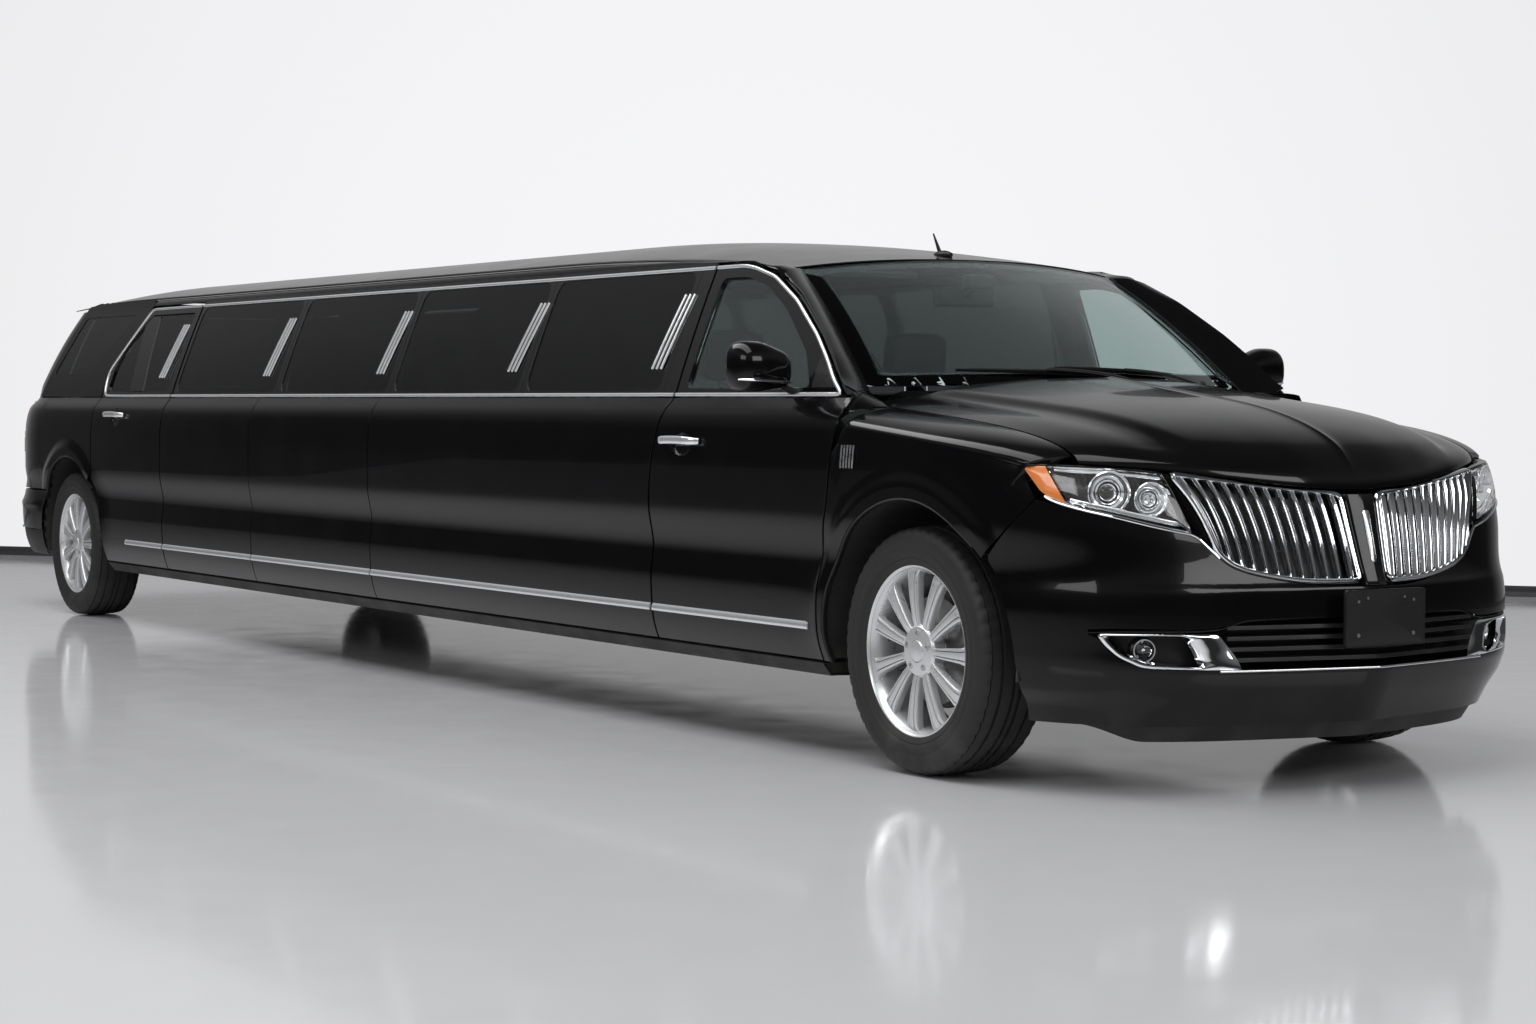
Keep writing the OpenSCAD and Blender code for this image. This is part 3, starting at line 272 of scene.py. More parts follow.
def outlineShape(outline, depth, origin, across, up, inset=.0015):
    # Flat closed outline of (across, up) points, pushed along across x up, with a small
    # rounded edge: each ring is the outline drawn in towards its centre.
    o = np.asarray(outline, float)
    origin, across, up = (np.asarray(v, float) for v in (origin, across, up))
    normal = np.cross(across, up)
    step = np.roll(o, -1, 0) - np.roll(o, 1, 0)
    inward = np.stack([-step[:, 1], step[:, 0]], 1)
    inward /= np.maximum(np.linalg.norm(inward, axis=1, keepdims=True), 1e-12)
    if twiceArea(o) < 0:
        inward = -inward
    rings = [(1, 0), (.3, .3), (0, 1), (0, depth / inset - 1), (.3, depth / inset - .3), (1, depth / inset)]
    p = np.stack([origin + (o + inward * inset * k)[:, :1] * across + (o + inward * inset * k)[:, 1:] * up
                  + normal * (h * inset) for k, h in rings])
    n, m = p.shape[:2]
    a, b = crossed(np.arange(n - 1), np.arange(m))
    quads = np.stack([a * m + b, a * m + (b + 1) % m, (a + 1) * m + (b + 1) % m, (a + 1) * m + b],
                     -1).reshape(-1, 4)
    i, j = np.arange(m), (np.arange(m) + 1) % m
    caps = [np.stack([j, i, i * 0 + n * m, i * 0 + n * m], 1),
            np.stack([i + (n - 1) * m, j + (n - 1) * m, i * 0 + n * m + 1, i * 0 + n * m + 1], 1)]
    faces = np.concatenate([quads, *caps])
    if twiceArea(o) < 0:
        faces = faces[:, ::-1]
    return np.concatenate([p.reshape(-1, 3), p[0].mean(0)[None], p[-1].mean(0)[None]]), faces


def tubeSkin(p):
    # Closed sections in a row, with the faces turned away from the middle of each section.
    points, quads = sheetShape(p, 0, (0, 0, 0), wrapV=True)
    away = np.sum(surfaceNormals(p, False, True) * (p - p.mean(1, keepdims=True)))
    return points, quads if away > 0 else quads[:, ::-1]


def endCaps(p, shares=(1, .01)):
    # The first and last sections, each drawn in to its middle, facing along Y.
    return [sheetShape(p[k].mean(0) + (p[k] - p[k].mean(0)) * np.array(shares)[:, None, None], 0,
                       (0, way, 0), wrapV=True) for k, way in ((0, -1), (-1, 1))]


def roundedBox(lo, hi, radius=.02):
    # Box whose edges and corners are quarter circles: each of the six faces is a grid pushed
    # out from an inner box by the radius.
    lo, hi = np.minimum(lo, hi), np.maximum(lo, hi)
    radius = min(radius, .499 * (hi - lo).min())
    quarter = np.linspace(0, 1, 5)
    edge = np.concatenate([quarter[:-1] - 2, [-1, 1], 1 + quarter[1:]])
    u, v = crossed(edge, edge)
    mid, inner = (lo + hi) / 2, (hi - lo) / 2 - radius
    shapes = []
    for k in range(3):
        for s in (-1, 1):
            c = np.zeros((*u.shape, 3))
            c[..., k], c[..., (k + 1) % 3], c[..., (k + 2) % 3] = s * 2, u, v
            core = np.clip(c, -1, 1)
            away = c - core
            tilt = np.tan(away * pi / 4)
            away = tilt / np.maximum(np.linalg.norm(tilt, axis=-1, keepdims=True), 1e-9)
            out = np.zeros(3)
            out[k] = s
            shapes.append(sheetShape(mid + core * inner + away * radius, 0, out))
    return joined(shapes)


def joined(shapes):
    # Several shapes as one: their points in a row and their faces renumbered.
    at = np.cumsum([0] + [len(p) for p, f in shapes])
    return (np.concatenate([p for p, f in shapes]),
            np.concatenate([np.asarray(f) + k for (p, f), k in zip(shapes, at)]))


def mirrored(shape):
    # The same shape on the other side of the centre plane.
    return shape[0] * [1, -1, 1], shape[1][:, ::-1]


def fillMesh(mesh, points, faces):
    # Quads as whole arrays; a quad that names a point twice is a triangle.
    kept = faces != np.roll(faces, -1, 1)
    used = kept.sum(1) > 2
    faces, kept = faces[used], kept[used]
    count = kept.sum(1)
    mesh.vertices.add(len(points))
    mesh.vertices.foreach_set("co", np.asarray(points, np.float32).ravel())
    mesh.loops.add(int(count.sum()))
    mesh.loops.foreach_set("vertex_index", faces[kept].astype(np.int32))
    mesh.polygons.add(len(faces))
    mesh.polygons.foreach_set("loop_start", (np.cumsum(count) - count).astype(np.int32))
    mesh.update(calc_edges=True)
    mesh.validate()


def makePiece(name, shapes, material, ridesOn="body", slot=None, replaces=(), bevel=0, smooth=38,
              subdivide=0):
    # One object from shapes, with doubled points merged, smooth faces and sharp edges by angle.
    points, faces = joined(shapes if isinstance(shapes, list) else [shapes])
    mesh = bpy.data.meshes.new(name)
    fillMesh(mesh, points, faces)
    work = bmesh.new()
    work.from_mesh(mesh)
    bmesh.ops.remove_doubles(work, verts=work.verts, dist=1e-6)
    bmesh.ops.delete(work, geom=[v for v in work.verts if not v.link_faces], context="VERTS")
    work.to_mesh(mesh)
    work.free()
    mesh.polygons.foreach_set("use_smooth", np.ones(len(mesh.polygons), bool))
    mesh.set_sharp_from_angle(angle=radians(smooth))
    mesh.materials.append(material)
    piece = bpy.data.objects.new(name, mesh)
    bpy.context.collection.objects.link(piece)
    if bevel:
        tool = piece.modifiers.new("edges", "BEVEL")
        tool.width, tool.segments, tool.limit_method = bevel, 1, "ANGLE"
        tool.angle_limit, tool.harden_normals = radians(40), True
    if subdivide:
        tool = piece.modifiers.new("rounding", "SUBSURF")
        tool.levels = tool.render_levels = subdivide
    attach(piece, ridesOn)
    if replaces:
        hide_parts(*replaces)
    return piece


sides = (("Left", 1), ("Right", -1))


def bothSides(name, build, material, ridesOn="body", replaces=(), **more):
    # The left-hand shapes and their mirror image, as two pieces. A body or node name that
    # ends in left is turned to right on the other side.
    shapes = build if isinstance(build, list) else [build]
    for word, way in sides:
        def own(text):
            # Name on the other side, for the mirrored piece.
            return text if way > 0 else text.replace("left", "right")
        makePiece(name + word, shapes if way > 0 else [mirrored(s) for s in shapes], material,
                  own(ridesOn), replaces=[own(n) for n in replaces], **more)


# body surfaces
sideInset = smoothCurve([[.20, .100], [.255, .075], [.305, .040], [.40, .015], [.52, .009], [.62, .019],
                         [.76, 0], [.90, .0], [1.00, .007], [1.06, .020], [1.12, .060]])
noseCurve = smoothCurve([[.20, .94], [.33, 1.0], [.355, 1.006], [.42, .996], [.58, .985], [.60, .975],
                         [.742, .93], [.844, .90], [.915, .86], [1.0, .80], [1.1, .74]])
nose = dict(start=.050, depth=.940 * .99398, power=2.6)
tailReach = smoothCurve([[.25, 1.190], [.33, 1.250], [.56, 1.275], [.64, 1.240], [.70, 1.195], [.85, 1.195],
                         [1.05, 1.165], [1.12, 1.110], [1.20, 1.040], [1.40, .860], [1.60, .660], [1.66, .600]])
cornerDepth = smoothCurve([[.2, .760], [1.10, .760], [1.20, .600], [1.60, .420], [1.7, .42]])


# half width of the plain side: inset curve below the belt, leaning plane with a slight crown above
def sideHalf(z):
    t = np.clip((z - body["belt"]) / (body["cant"] - body["belt"]), 0, 1)
    upper = body["beltWidth"] - (z - body["belt"]) * body["lean"] + body["bulge"] * 4 * t * (1 - t)
    return np.where(z < body["belt"], body["halfWidth"] - sideInset(z), upper)


# raised lip round both wheel openings: a smooth step that fades 90 mm out from the edge
def archFlare(x, z):
    low = smoothStep((z - .26) / .2)
    r = [np.hypot(x - a, z - axleZ) for a in (frontX, rearX)]
    return .010 * low * (smoothStep((.545 - r[0]) / .06) + smoothStep((.545 - r[1]) / .06))


# depth of the nose at z: the nose curve times its full depth
def noseReach(z):
    return noseCurve(z) * nose["depth"]


# nose start plus the reach by a squared circle over the share across, less a sine dip
def noseX(y, z):  # forward surface of the nose
    s = np.clip(np.abs(y) / sideHalf(z), 0, 1)
    return (frontX + nose["start"] + noseReach(z) * squared(s, nose["power"])
            - .047 * np.sin(pi * np.minimum(1, 1.2 * s)) * noseCurve(z))


# side section times a squared circle over the share along the nose, plus the arch flare
def bodyY(x, z):  # half width at x, drawn in round the nose
    return (sideHalf(z) * squared(np.maximum(0, x - frontX - nose["start"]) / noseReach(z), nose["power"])
            + archFlare(x, z))


# point of the side at (x, z), moved in across the car
def sidePoint(x, z, inside=0):
    return stack(x, bodyY(x, z) - inside, z)


# side section at z, moved out along the fixed normal of the glass
def leanPoint(x, z, out=0):  # on the leaning plane of the side glass
    return stack(x, sideHalf(z) + out * .934, z + out * .358)


def clustered(a, b, step, spots=()):
    # Values from a to b, step apart, and closer round each (centre, reach, fine step).
    values = [np.linspace(a, b, int(abs(b - a) / step) + 2)]
    values += [np.arange(max(c - r, min(a, b)), min(c + r, max(a, b)), f) for c, r, f in spots]
    v = np.unique(np.round(np.concatenate(values), 5))
    v = v[np.concatenate([[True], np.diff(v) > .0012])]
    return v if a < b else v[::-1]


def filleted(corners, radius, n=8):
    # Outline with each corner replaced by an arc-like curve: a quadratic through the corner.
    c = np.asarray(corners, float)
    before, after = np.roll(c, 1, 0), np.roll(c, -1, 0)
    r = np.broadcast_to(radius, len(c))[:, None]
    def toward(q):
        # From the corner towards q by the radius, at most .48 of the way.
        d = q - c
        length = np.linalg.norm(d, axis=1, keepdims=True)
        return c + d / length * np.minimum(r, .48 * length)
    a, b = toward(before), toward(after)
    t = np.linspace(0, 1, n)[None, :, None]
    return ((1 - t)**2 * a[:, None] + 2 * t * (1 - t) * c[:, None] + t**2 * b[:, None]).reshape(-1, 2)


def byAngle(outline, centre, angles):
    # Radius of a closed outline seen from a centre, at the given angles.
    o = np.asarray(outline, float)
    dense = np.concatenate([mix(o, np.roll(o, -1, 0), t)[:, None] for t in np.linspace(0, .9, 10)],
                           1).reshape(-1, 2) - centre
    a, r = np.arctan2(dense[:, 1], dense[:, 0]), np.hypot(dense[:, 0], dense[:, 1])
    order = np.argsort(a)
    r = np.interp(angles, a[order], r[order], period=2 * pi)
    return centre + np.stack([np.cos(angles), np.sin(angles)], 1) * r[:, None]


def ringPoints(outer, inner, rows=5, centre=None):
    # Grid between two closed outlines: same angle on both, rows mixed from outer to inner.
    # Angles of the outlines' own points are kept so that corners stay.
    outer, inner = np.asarray(outer, float), np.asarray(inner, float)
    centre = (inner.min(0) + inner.max(0)) / 2 if centre is None else np.asarray(centre)
    a = [np.arctan2(*(o - centre).T[::-1]) for o in (outer, inner)]
    angles = np.unique(np.round(np.concatenate([*a, np.linspace(-pi, pi, 96, endpoint=False)]), 4))
    o, i = byAngle(outer, centre, angles), byAngle(inner, centre, angles)
    t = np.linspace(0, 1, rows)[None, :, None]
    return mix(o[:, None], i[:, None], t)


def ringShape(outer, inner, thickness=.03):
    # The grid between two outlines, laid on the leaning plane of the side glass.
    p = ringPoints(outer, inner, rows=4)
    return sheetShape(leanPoint(p[..., 0], p[..., 1]), thickness, (0, 1, 0), wrapU=True)


def paneShape(outline, out=-.004, thickness=.005, rows=4):
    # Glass pane over an outline: rings shrink to the middle, all on the leaning plane.
    o = np.asarray(outline, float)
    centre = (o.min(0) + o.max(0)) / 2
    angles = np.unique(np.round(np.concatenate([np.arctan2(*(o - centre).T[::-1]),
                                                np.linspace(-pi, pi, 56, endpoint=False)]), 4))
    edge = byAngle(o, centre, angles)
    t = np.linspace(1, 0.002, rows)[None, :, None]
    p = centre + (edge[:, None] - centre) * t
    return sheetShape(leanPoint(p[..., 0], p[..., 1], out), thickness, (0, 1, 0), wrapU=True)


# half circle of angles: cosine across, a power of the sine up
def bandSection(width, height):  # low crowned strip, flat below
    a = np.linspace(0, pi, 10)
    return np.stack([np.cos(a) * width / 2, np.sin(a)**.7 * height], 1)


# strip of trim along (x, z) points on the leaning plane or the side
def trimStrip(xz, width=.014, height=.005, out=0, side=False):
    xz = np.asarray(xz, float)
    p = (sidePoint(xz[:, 0], xz[:, 1], -out) if side else leanPoint(xz[:, 0], xz[:, 1], out))
    return tubeShape(p, bandSection(width, height), up=(0, 1, .2) if side else (0, .934, .358))


def alongPath(points, step=.03):
    # Points along a polyline, evenly spaced by length.
    p = np.asarray(points, float)
    s = np.concatenate([[0], np.cumsum(np.linalg.norm(np.diff(p, axis=0), axis=1))])
    t = np.linspace(0, s[-1], max(2, int(s[-1] / step) + 1))
    return np.stack([np.interp(t, s, p[:, k]) for k in range(p.shape[1])], 1)


def softPath(points, step=.015, rounds=24):
    # The same, with its corners relaxed by averaging neighbours.
    p = alongPath(points, step)
    for _ in range(rounds):
        p[1:-1] = (p[:-2] + 2 * p[1:-1] + p[2:]) / 4
    return p


# materials: shared effects as node groups
def newGroup(name, inputs, outputs):
    group = bpy.data.node_groups.new(name, "ShaderNodeTree")
    for way, sockets in (("INPUT", inputs), ("OUTPUT", outputs)):
        for label, kind, *value in sockets:
            socket = group.interface.new_socket(name=label, in_out=way, socket_type="NodeSocket" + kind)
            if value:
                socket.default_value = value[0]
    start, end = group.nodes.new("NodeGroupInput"), group.nodes.new("NodeGroupOutput")
    return group, start, end


def addNode(tree, kind, links=None, **values):
    # A node with its settings; links maps an input's name or number to a value or a socket.
    node = tree.nodes.new("ShaderNode" + kind)
    for key, value in values.items():
        setattr(node, key, value)
    for key, value in (links or {}).items():
        if isinstance(value, bpy.types.NodeSocket):
            tree.links.new(value, node.inputs[key])
        else:
            node.inputs[key].default_value = value
    return node


def objectNoise(tree, scale, detail):
    # Noise over the object's own coordinates.
    place = addNode(tree, "TexCoord").outputs["Object"]
    return addNode(tree, "TexNoise", {"Vector": place, "Scale": scale, "Detail": detail})


# Road film: more towards the ground, broken up by noise; gives a mask
def makeFilmGroup():
    group, start, end = newGroup("roadFilm", [("Top", "Float", .5), ("Amount", "Float", .3), ("Scale", "Float",
            9.)],
                                 [("Mask", "Float")])
    place = addNode(group, "TexCoord").outputs["Object"]
    height = addNode(group, "SeparateXYZ", {0: place}).outputs["Z"]
    low = addNode(group, "MapRange", {"Value": height, "From Min": .1, "From Max": start.outputs["Top"],
                                      "To Min": 1., "To Max": 0.})
    spots = addNode(group, "TexNoise", {"Vector": place, "Scale": start.outputs["Scale"], "Detail": 6.})
    cut = addNode(group, "MapRange", {"Value": spots.outputs[0], "From Min": .35, "From Max": .75})
    both = addNode(group, "Math", {0: low.outputs[0], 1: cut.outputs[0]}, operation="MULTIPLY")
    out = addNode(group, "Math", {0: both.outputs[0], 1: start.outputs["Amount"]}, operation="MULTIPLY")
    group.links.new(out.outputs[0], end.inputs["Mask"])
    return group


# Grain: cells with creases between them, as in leather and moulded plastic; height and tone
def makeGrainGroup():
    group, start, end = newGroup("grain", [("Scale", "Float", 300.), ("Crease", "Float", .5)],
                                 [("Height", "Float"), ("Tone", "Float")])
    place = addNode(group, "TexCoord").outputs["Object"]
    cells = addNode(group, "TexVoronoi", {"Vector": place, "Scale": start.outputs["Scale"]},
                    feature="DISTANCE_TO_EDGE")
    crease = addNode(group, "MapRange", {"Value": cells.outputs[0], "From Min": 0., "From Max": .25})
    fine = addNode(group, "TexNoise", {"Vector": place, "Scale": start.outputs["Scale"], "Detail": 5.})
    height = addNode(group, "Mix", {0: start.outputs["Crease"], 2: fine.outputs[0], 3: crease.outputs[0]})
    broad = addNode(group, "TexNoise", {"Vector": place, "Scale": 5., "Detail": 3.})
    group.links.new(height.outputs[0], end.inputs["Height"])
    group.links.new(broad.outputs[0], end.inputs["Tone"])
    return group


# Brushed or cast metal: noise stretched along one axis; gives a value for roughness and height
def makeBrushGroup():
    group, start, end = newGroup("brushed", [("Scale", "Float", 60.), ("Stretch", "Vector", (1., 1., 1.))],
                                 [("Value", "Float")])
    place = addNode(group, "TexCoord").outputs["Object"]
    turned = addNode(group, "Mapping", {"Vector": place, "Scale": start.outputs["Stretch"]})
    lines = addNode(group, "TexNoise", {"Vector": turned.outputs[0], "Scale": start.outputs["Scale"],
                                        "Detail": 6.})
    group.links.new(lines.outputs[0], end.inputs["Value"])
    return group


# Woven cloth or carpet: two crossed waves broken by noise
def makeWeaveGroup():
    group, start, end = newGroup("weave", [("Scale", "Float", 400.)], [("Height", "Float"), ("Tone", "Float")])
    place = addNode(group, "TexCoord").outputs["Object"]
    waves = [addNode(group, "TexWave", {"Vector": place, "Scale": start.outputs["Scale"], "Distortion": 1.2},
                     bands_direction=axis) for axis in ("X", "Y")]
    cross = addNode(group, "Math", {0: waves[0].outputs["Fac"], 1: waves[1].outputs["Fac"]},
                    operation="MULTIPLY")
    tone = addNode(group, "TexNoise", {"Vector": place, "Scale": 14., "Detail": 5.})
    group.links.new(cross.outputs[0], end.inputs["Height"])
    group.links.new(tone.outputs[0], end.inputs["Tone"])
    return group


groups = dict(film=makeFilmGroup(), grain=makeGrainGroup(), brush=makeBrushGroup(), weave=makeWeaveGroup())


def makeFinish(name, color, second=None, rough=(.3, .4), metallic=0., group="grain", inputs=None, bump=0.,
               film=None, plain=None):
    # Principled material: colour mixed from two tones by the group's tone, roughness between
    # two values, bump from its height, and road film over it all.
    material = bpy.data.materials.new(name)
    material.use_nodes = True
    tree = material.node_tree
    shader = tree.nodes["Principled BSDF"]
    effect = tree.nodes.new("ShaderNodeGroup")
    effect.node_tree = groups[group]
    for key, value in (inputs or {}).items():
        effect.inputs[key].default_value = value
    tone = effect.outputs.get("Tone") or effect.outputs[0]
    height = effect.outputs.get("Height") or effect.outputs[0]
    second = second or [c * .75 for c in color]
    base = addNode(tree, "Mix", {0: tone, 6: (*color, 1), 7: (*second, 1)}, data_type="RGBA").outputs[2]
    roughness = addNode(tree, "MapRange", {"Value": tone, "From Min": .3, "From Max": .7,
                                           "To Min": rough[0], "To Max": rough[1]}).outputs[0]
    if film:
        dust = tree.nodes.new("ShaderNodeGroup")
        dust.node_tree = groups["film"]
        dust.inputs["Top"].default_value, dust.inputs["Amount"].default_value = film
        base = addNode(tree, "Mix", {0: dust.outputs[0], 6: base, 7: (.12, .11, .10, 1)},
                       data_type="RGBA").outputs[2]
        roughness = addNode(tree, "Mix", {0: dust.outputs[0], 2: roughness, 3: .8}).outputs[0]
    tree.links.new(base, shader.inputs["Base Color"])
    tree.links.new(roughness, shader.inputs["Roughness"])
    if bump:
        tool = addNode(tree, "Bump", {"Height": height, "Strength": min(1., bump * 1000),
                                      "Distance": max(.0002, bump)})
        tree.links.new(tool.outputs[0], shader.inputs["Normal"])
    shader.inputs["Metallic"].default_value = metallic
    for key, value in (plain or {}).items():
        shader.inputs[key].default_value = value
    return material


def makeGlass(name, tint, rough=0., ior=1.45):
    # Glass with a plain transmission; only its tint varies a little over the surface.
    material = bpy.data.materials.new(name)
    material.use_nodes = True
    tree = material.node_tree
    shader = tree.nodes["Principled BSDF"]
    cloud = objectNoise(tree, 1.5, 2)
    base = addNode(tree, "Mix", {0: cloud.outputs[0], 6: (*tint, 1), 7: (*[t * .92 for t in tint], 1)},
                   data_type="RGBA").outputs[2]
    tree.links.new(base, shader.inputs["Base Color"])
    for key, value in {"Transmission Weight": 1., "Roughness": rough, "IOR": ior}.items():
        shader.inputs[key].default_value = value
    return material


gloss = {"Coat Weight": .55, "Coat Roughness": .015, "Coat IOR": 1.4, "Specular IOR Level": .10}
finishes = dict(
    paint=makeFinish("glossBlackPaint", (.0022, .0022, .0026), (.0032, .0032, .0036), (.12, .2), 0, "grain",
                     {"Scale": 900., "Crease": .15}, 0, (.42, .10), gloss),
    pillar=makeFinish("pillarGlossBlack", (.0026, .0026, .0028), (.004, .004, .004), (.05, .1), 0, "grain",
                      {"Scale": 700., "Crease": .1}, 0, None, {"Coat Weight": .6, "Coat Roughness": .02}),
    trim=makeFinish("satinBlackTrim", (.006, .006, .006), (.010, .010, .010), (.38, .52), 0, "grain",
                    {"Scale": 800., "Crease": .6}, .00006, (.45, .25), {"Specular IOR Level": .35}),
    rubber=makeFinish("sealRubber", (.012, .012, .012), (.02, .02, .02), (.6, .75), 0, "grain",
                      {"Scale": 500., "Crease": .3}, .00005),
    chrome=makeFinish("polishedChrome", (.86, .87, .88), (.80, .81, .83), (.03, .07), 1., "brush",
                      {"Scale": 30.}, 0, (.4, .05)),
    brightTrim=makeFinish("brightTrim", (.90, .90, .91), (.84, .85, .86), (.10, .16), .72, "brush",
                          {"Scale": 30.}, 0, (.4, .05)),
    satinMetal=makeFinish("satinMetal", (.62, .63, .64), (.55, .56, .57), (.22, .34), 1., "brush",
                          {"Scale": 45.}, 0, (.4, .1)),
    wheel=makeFinish("silverWheelPaint", (.74, .75, .76), (.68, .69, .70), (.26, .34), .55, "brush",
                     {"Scale": 26.}, 0, (.3, .12),
                     {"Coat Weight": .7, "Coat Roughness": .05}),
    # dark grey for the lines laid along the floors of the spoke grooves
    wheelDark=makeFinish("wheelGrooveDark", (.16, .165, .17), (.12, .125, .13), (.4, .5), .6, "brush",
                         {"Scale": 26.}, 0, (.3, .2)),
    tyre=makeFinish("tyreRubber", (.014, .014, .0145), (.024, .023, .022), (.55, .72), 0, "grain",
                    {"Scale": 380., "Crease": .25}, .00012, (.2, .35), {"Specular IOR Level": .4}),
    steel=makeFinish("brakeSteel", (.42, .42, .43), (.30, .29, .28), (.28, .42), 1., "brush",
                     {"Scale": 120.}, .00005),
    cast=makeFinish("castMetal", (.18, .18, .185), (.12, .12, .12), (.5, .65), .8, "grain",
                    {"Scale": 160., "Crease": .2}, .0003, (.5, .4)),
    under=makeFinish("underbodyCoating", (.012, .012, .012), (.022, .020, .018), (.65, .85), 0, "grain",
                     {"Scale": 90., "Crease": .35}, .0008, (.6, .5)),
    exhaust=makeFinish("exhaustSteel", (.40, .38, .36), (.26, .22, .19), (.35, .5), 1., "brush",
                       {"Scale": 25., "Stretch": (.3, 1., 1.)}, .0001, (.6, .3)),
    leather=makeFinish("blackLeather", (.020, .019, .019), (.032, .030, .029), (.38, .52), 0, "grain",
                       {"Scale": 330., "Crease": .8}, .0003, None, {"Sheen Weight": .1}),
    greyLeather=makeFinish("greyLeather", (.085, .083, .080), (.11, .107, .103), (.42, .55), 0, "grain",
                           {"Scale": 330., "Crease": .8}, .0003),
    cabin=makeFinish("cabinPlastic", (.022, .022, .023), (.032, .032, .032), (.5, .65), 0, "grain",
                     {"Scale": 520., "Crease": .7}, .00015),
    carpet=makeFinish("cabinCarpet", (.020, .020, .022), (.034, .033, .034), (.85, .95), 0, "weave",
                      {"Scale": 260.}, .0012, None, {"Sheen Weight": .2}),
    headliner=makeFinish("headlinerCloth", (.16, .155, .148), (.20, .195, .185), (.85, .95), 0, "weave",
                         {"Scale": 330.}, .0004),
    wood=makeFinish("darkWoodTrim", (.050, .022, .011), (.018, .008, .005), (.12, .2), 0, "brush",
                    {"Scale": 30., "Stretch": (.12, 1., 1.)}, 0, None,
                    {"Coat Weight": 1., "Coat Roughness": .03}),
    amber=makeFinish("amberLens", (.75, .24, .05), (.62, .16, .03), (.12, .2), 0, "grain",
                     {"Scale": 220., "Crease": 1.}, .0004, None, {"Coat Weight": 1., "Coat Roughness": .03}),
    red=makeFinish("redLens", (.30, .004, .006), (.20, .003, .004), (.1, .18), 0, "grain",
                   {"Scale": 150., "Crease": 1.}, .0005, None, {"Coat Weight": 1., "Coat Roughness": .02}),
    clearLens=makeFinish("reversingLens", (.62, .62, .62), (.55, .55, .56), (.1, .2), 0, "grain",
                         {"Scale": 200., "Crease": 1.}, .0005, None, {"Coat Weight": 1.}),
    reflector=makeFinish("lampReflector", (.84, .85, .86), (.7, .71, .73), (.04, .12), 1., "brush",
                         {"Scale": 50.}),
    lampBlack=makeFinish("lampBezelBlack", (.012, .012, .013), (.02, .02, .02), (.2, .3), 0, "grain",
                         {"Scale": 400., "Crease": .4}, .00005),
    glass=makeGlass("clearLampGlass", (.97, .98, .98), 0, 1.47),
    screen=makeGlass("windshieldGlass", (.62, .72, .70)),
    doorGlass=makeGlass("frontDoorGlass", (.52, .62, .60)),
    darkGlass=makeGlass("darkTintedGlass", (.035, .037, .040), 0, 1.5),
)
print("materials made")

# camera, light and stage
view = dict(place=(10.9456, -5.8207, 1.1048), yaw=148.03, pitch=-2.69, roll=.10, focal=2905.70, width=1536,
            drop=26.35)


# the object's own axes as the columns of its matrix, and its place
def setAxes(thing, axes, place):
    matrix = np.eye(4)
    matrix[:3, :3] = np.stack(axes, 1)
    matrix[:3, 3] = place
    thing.matrix_world = Matrix(matrix.tolist())


# camera axes: ahead from yaw and pitch, right and up by cross products, turned by the roll
def makeCamera():
    yaw, pitch, roll = (radians(view[k]) for k in ("yaw", "pitch", "roll"))
    ahead = np.array([cos(pitch) * cos(yaw), cos(pitch) * sin(yaw), sin(pitch)])
    right = np.cross(ahead, (0, 0, 1))
    right /= np.linalg.norm(right)
    up = np.cross(right, ahead)
    right, up = cos(roll) * right + sin(roll) * up, cos(roll) * up - sin(roll) * right
    data = bpy.data.cameras.new("camera")
    data.sensor_width = 36
    data.lens = view["focal"] / view["width"] * data.sensor_width
    data.shift_y = view["drop"] / view["width"]
    data.clip_end = 200
    camera = bpy.data.objects.new("camera", data)
    bpy.context.collection.objects.link(camera)
    setAxes(camera, [right, up, -ahead], view["place"])
    bpy.context.scene.camera = camera


stageLook = dict(floor=(.63, .63, .645), floorRough=.085, wall=(.93, .93, .94),
                 wallAt=((-9.6, .54), (-.75, 6.65)))
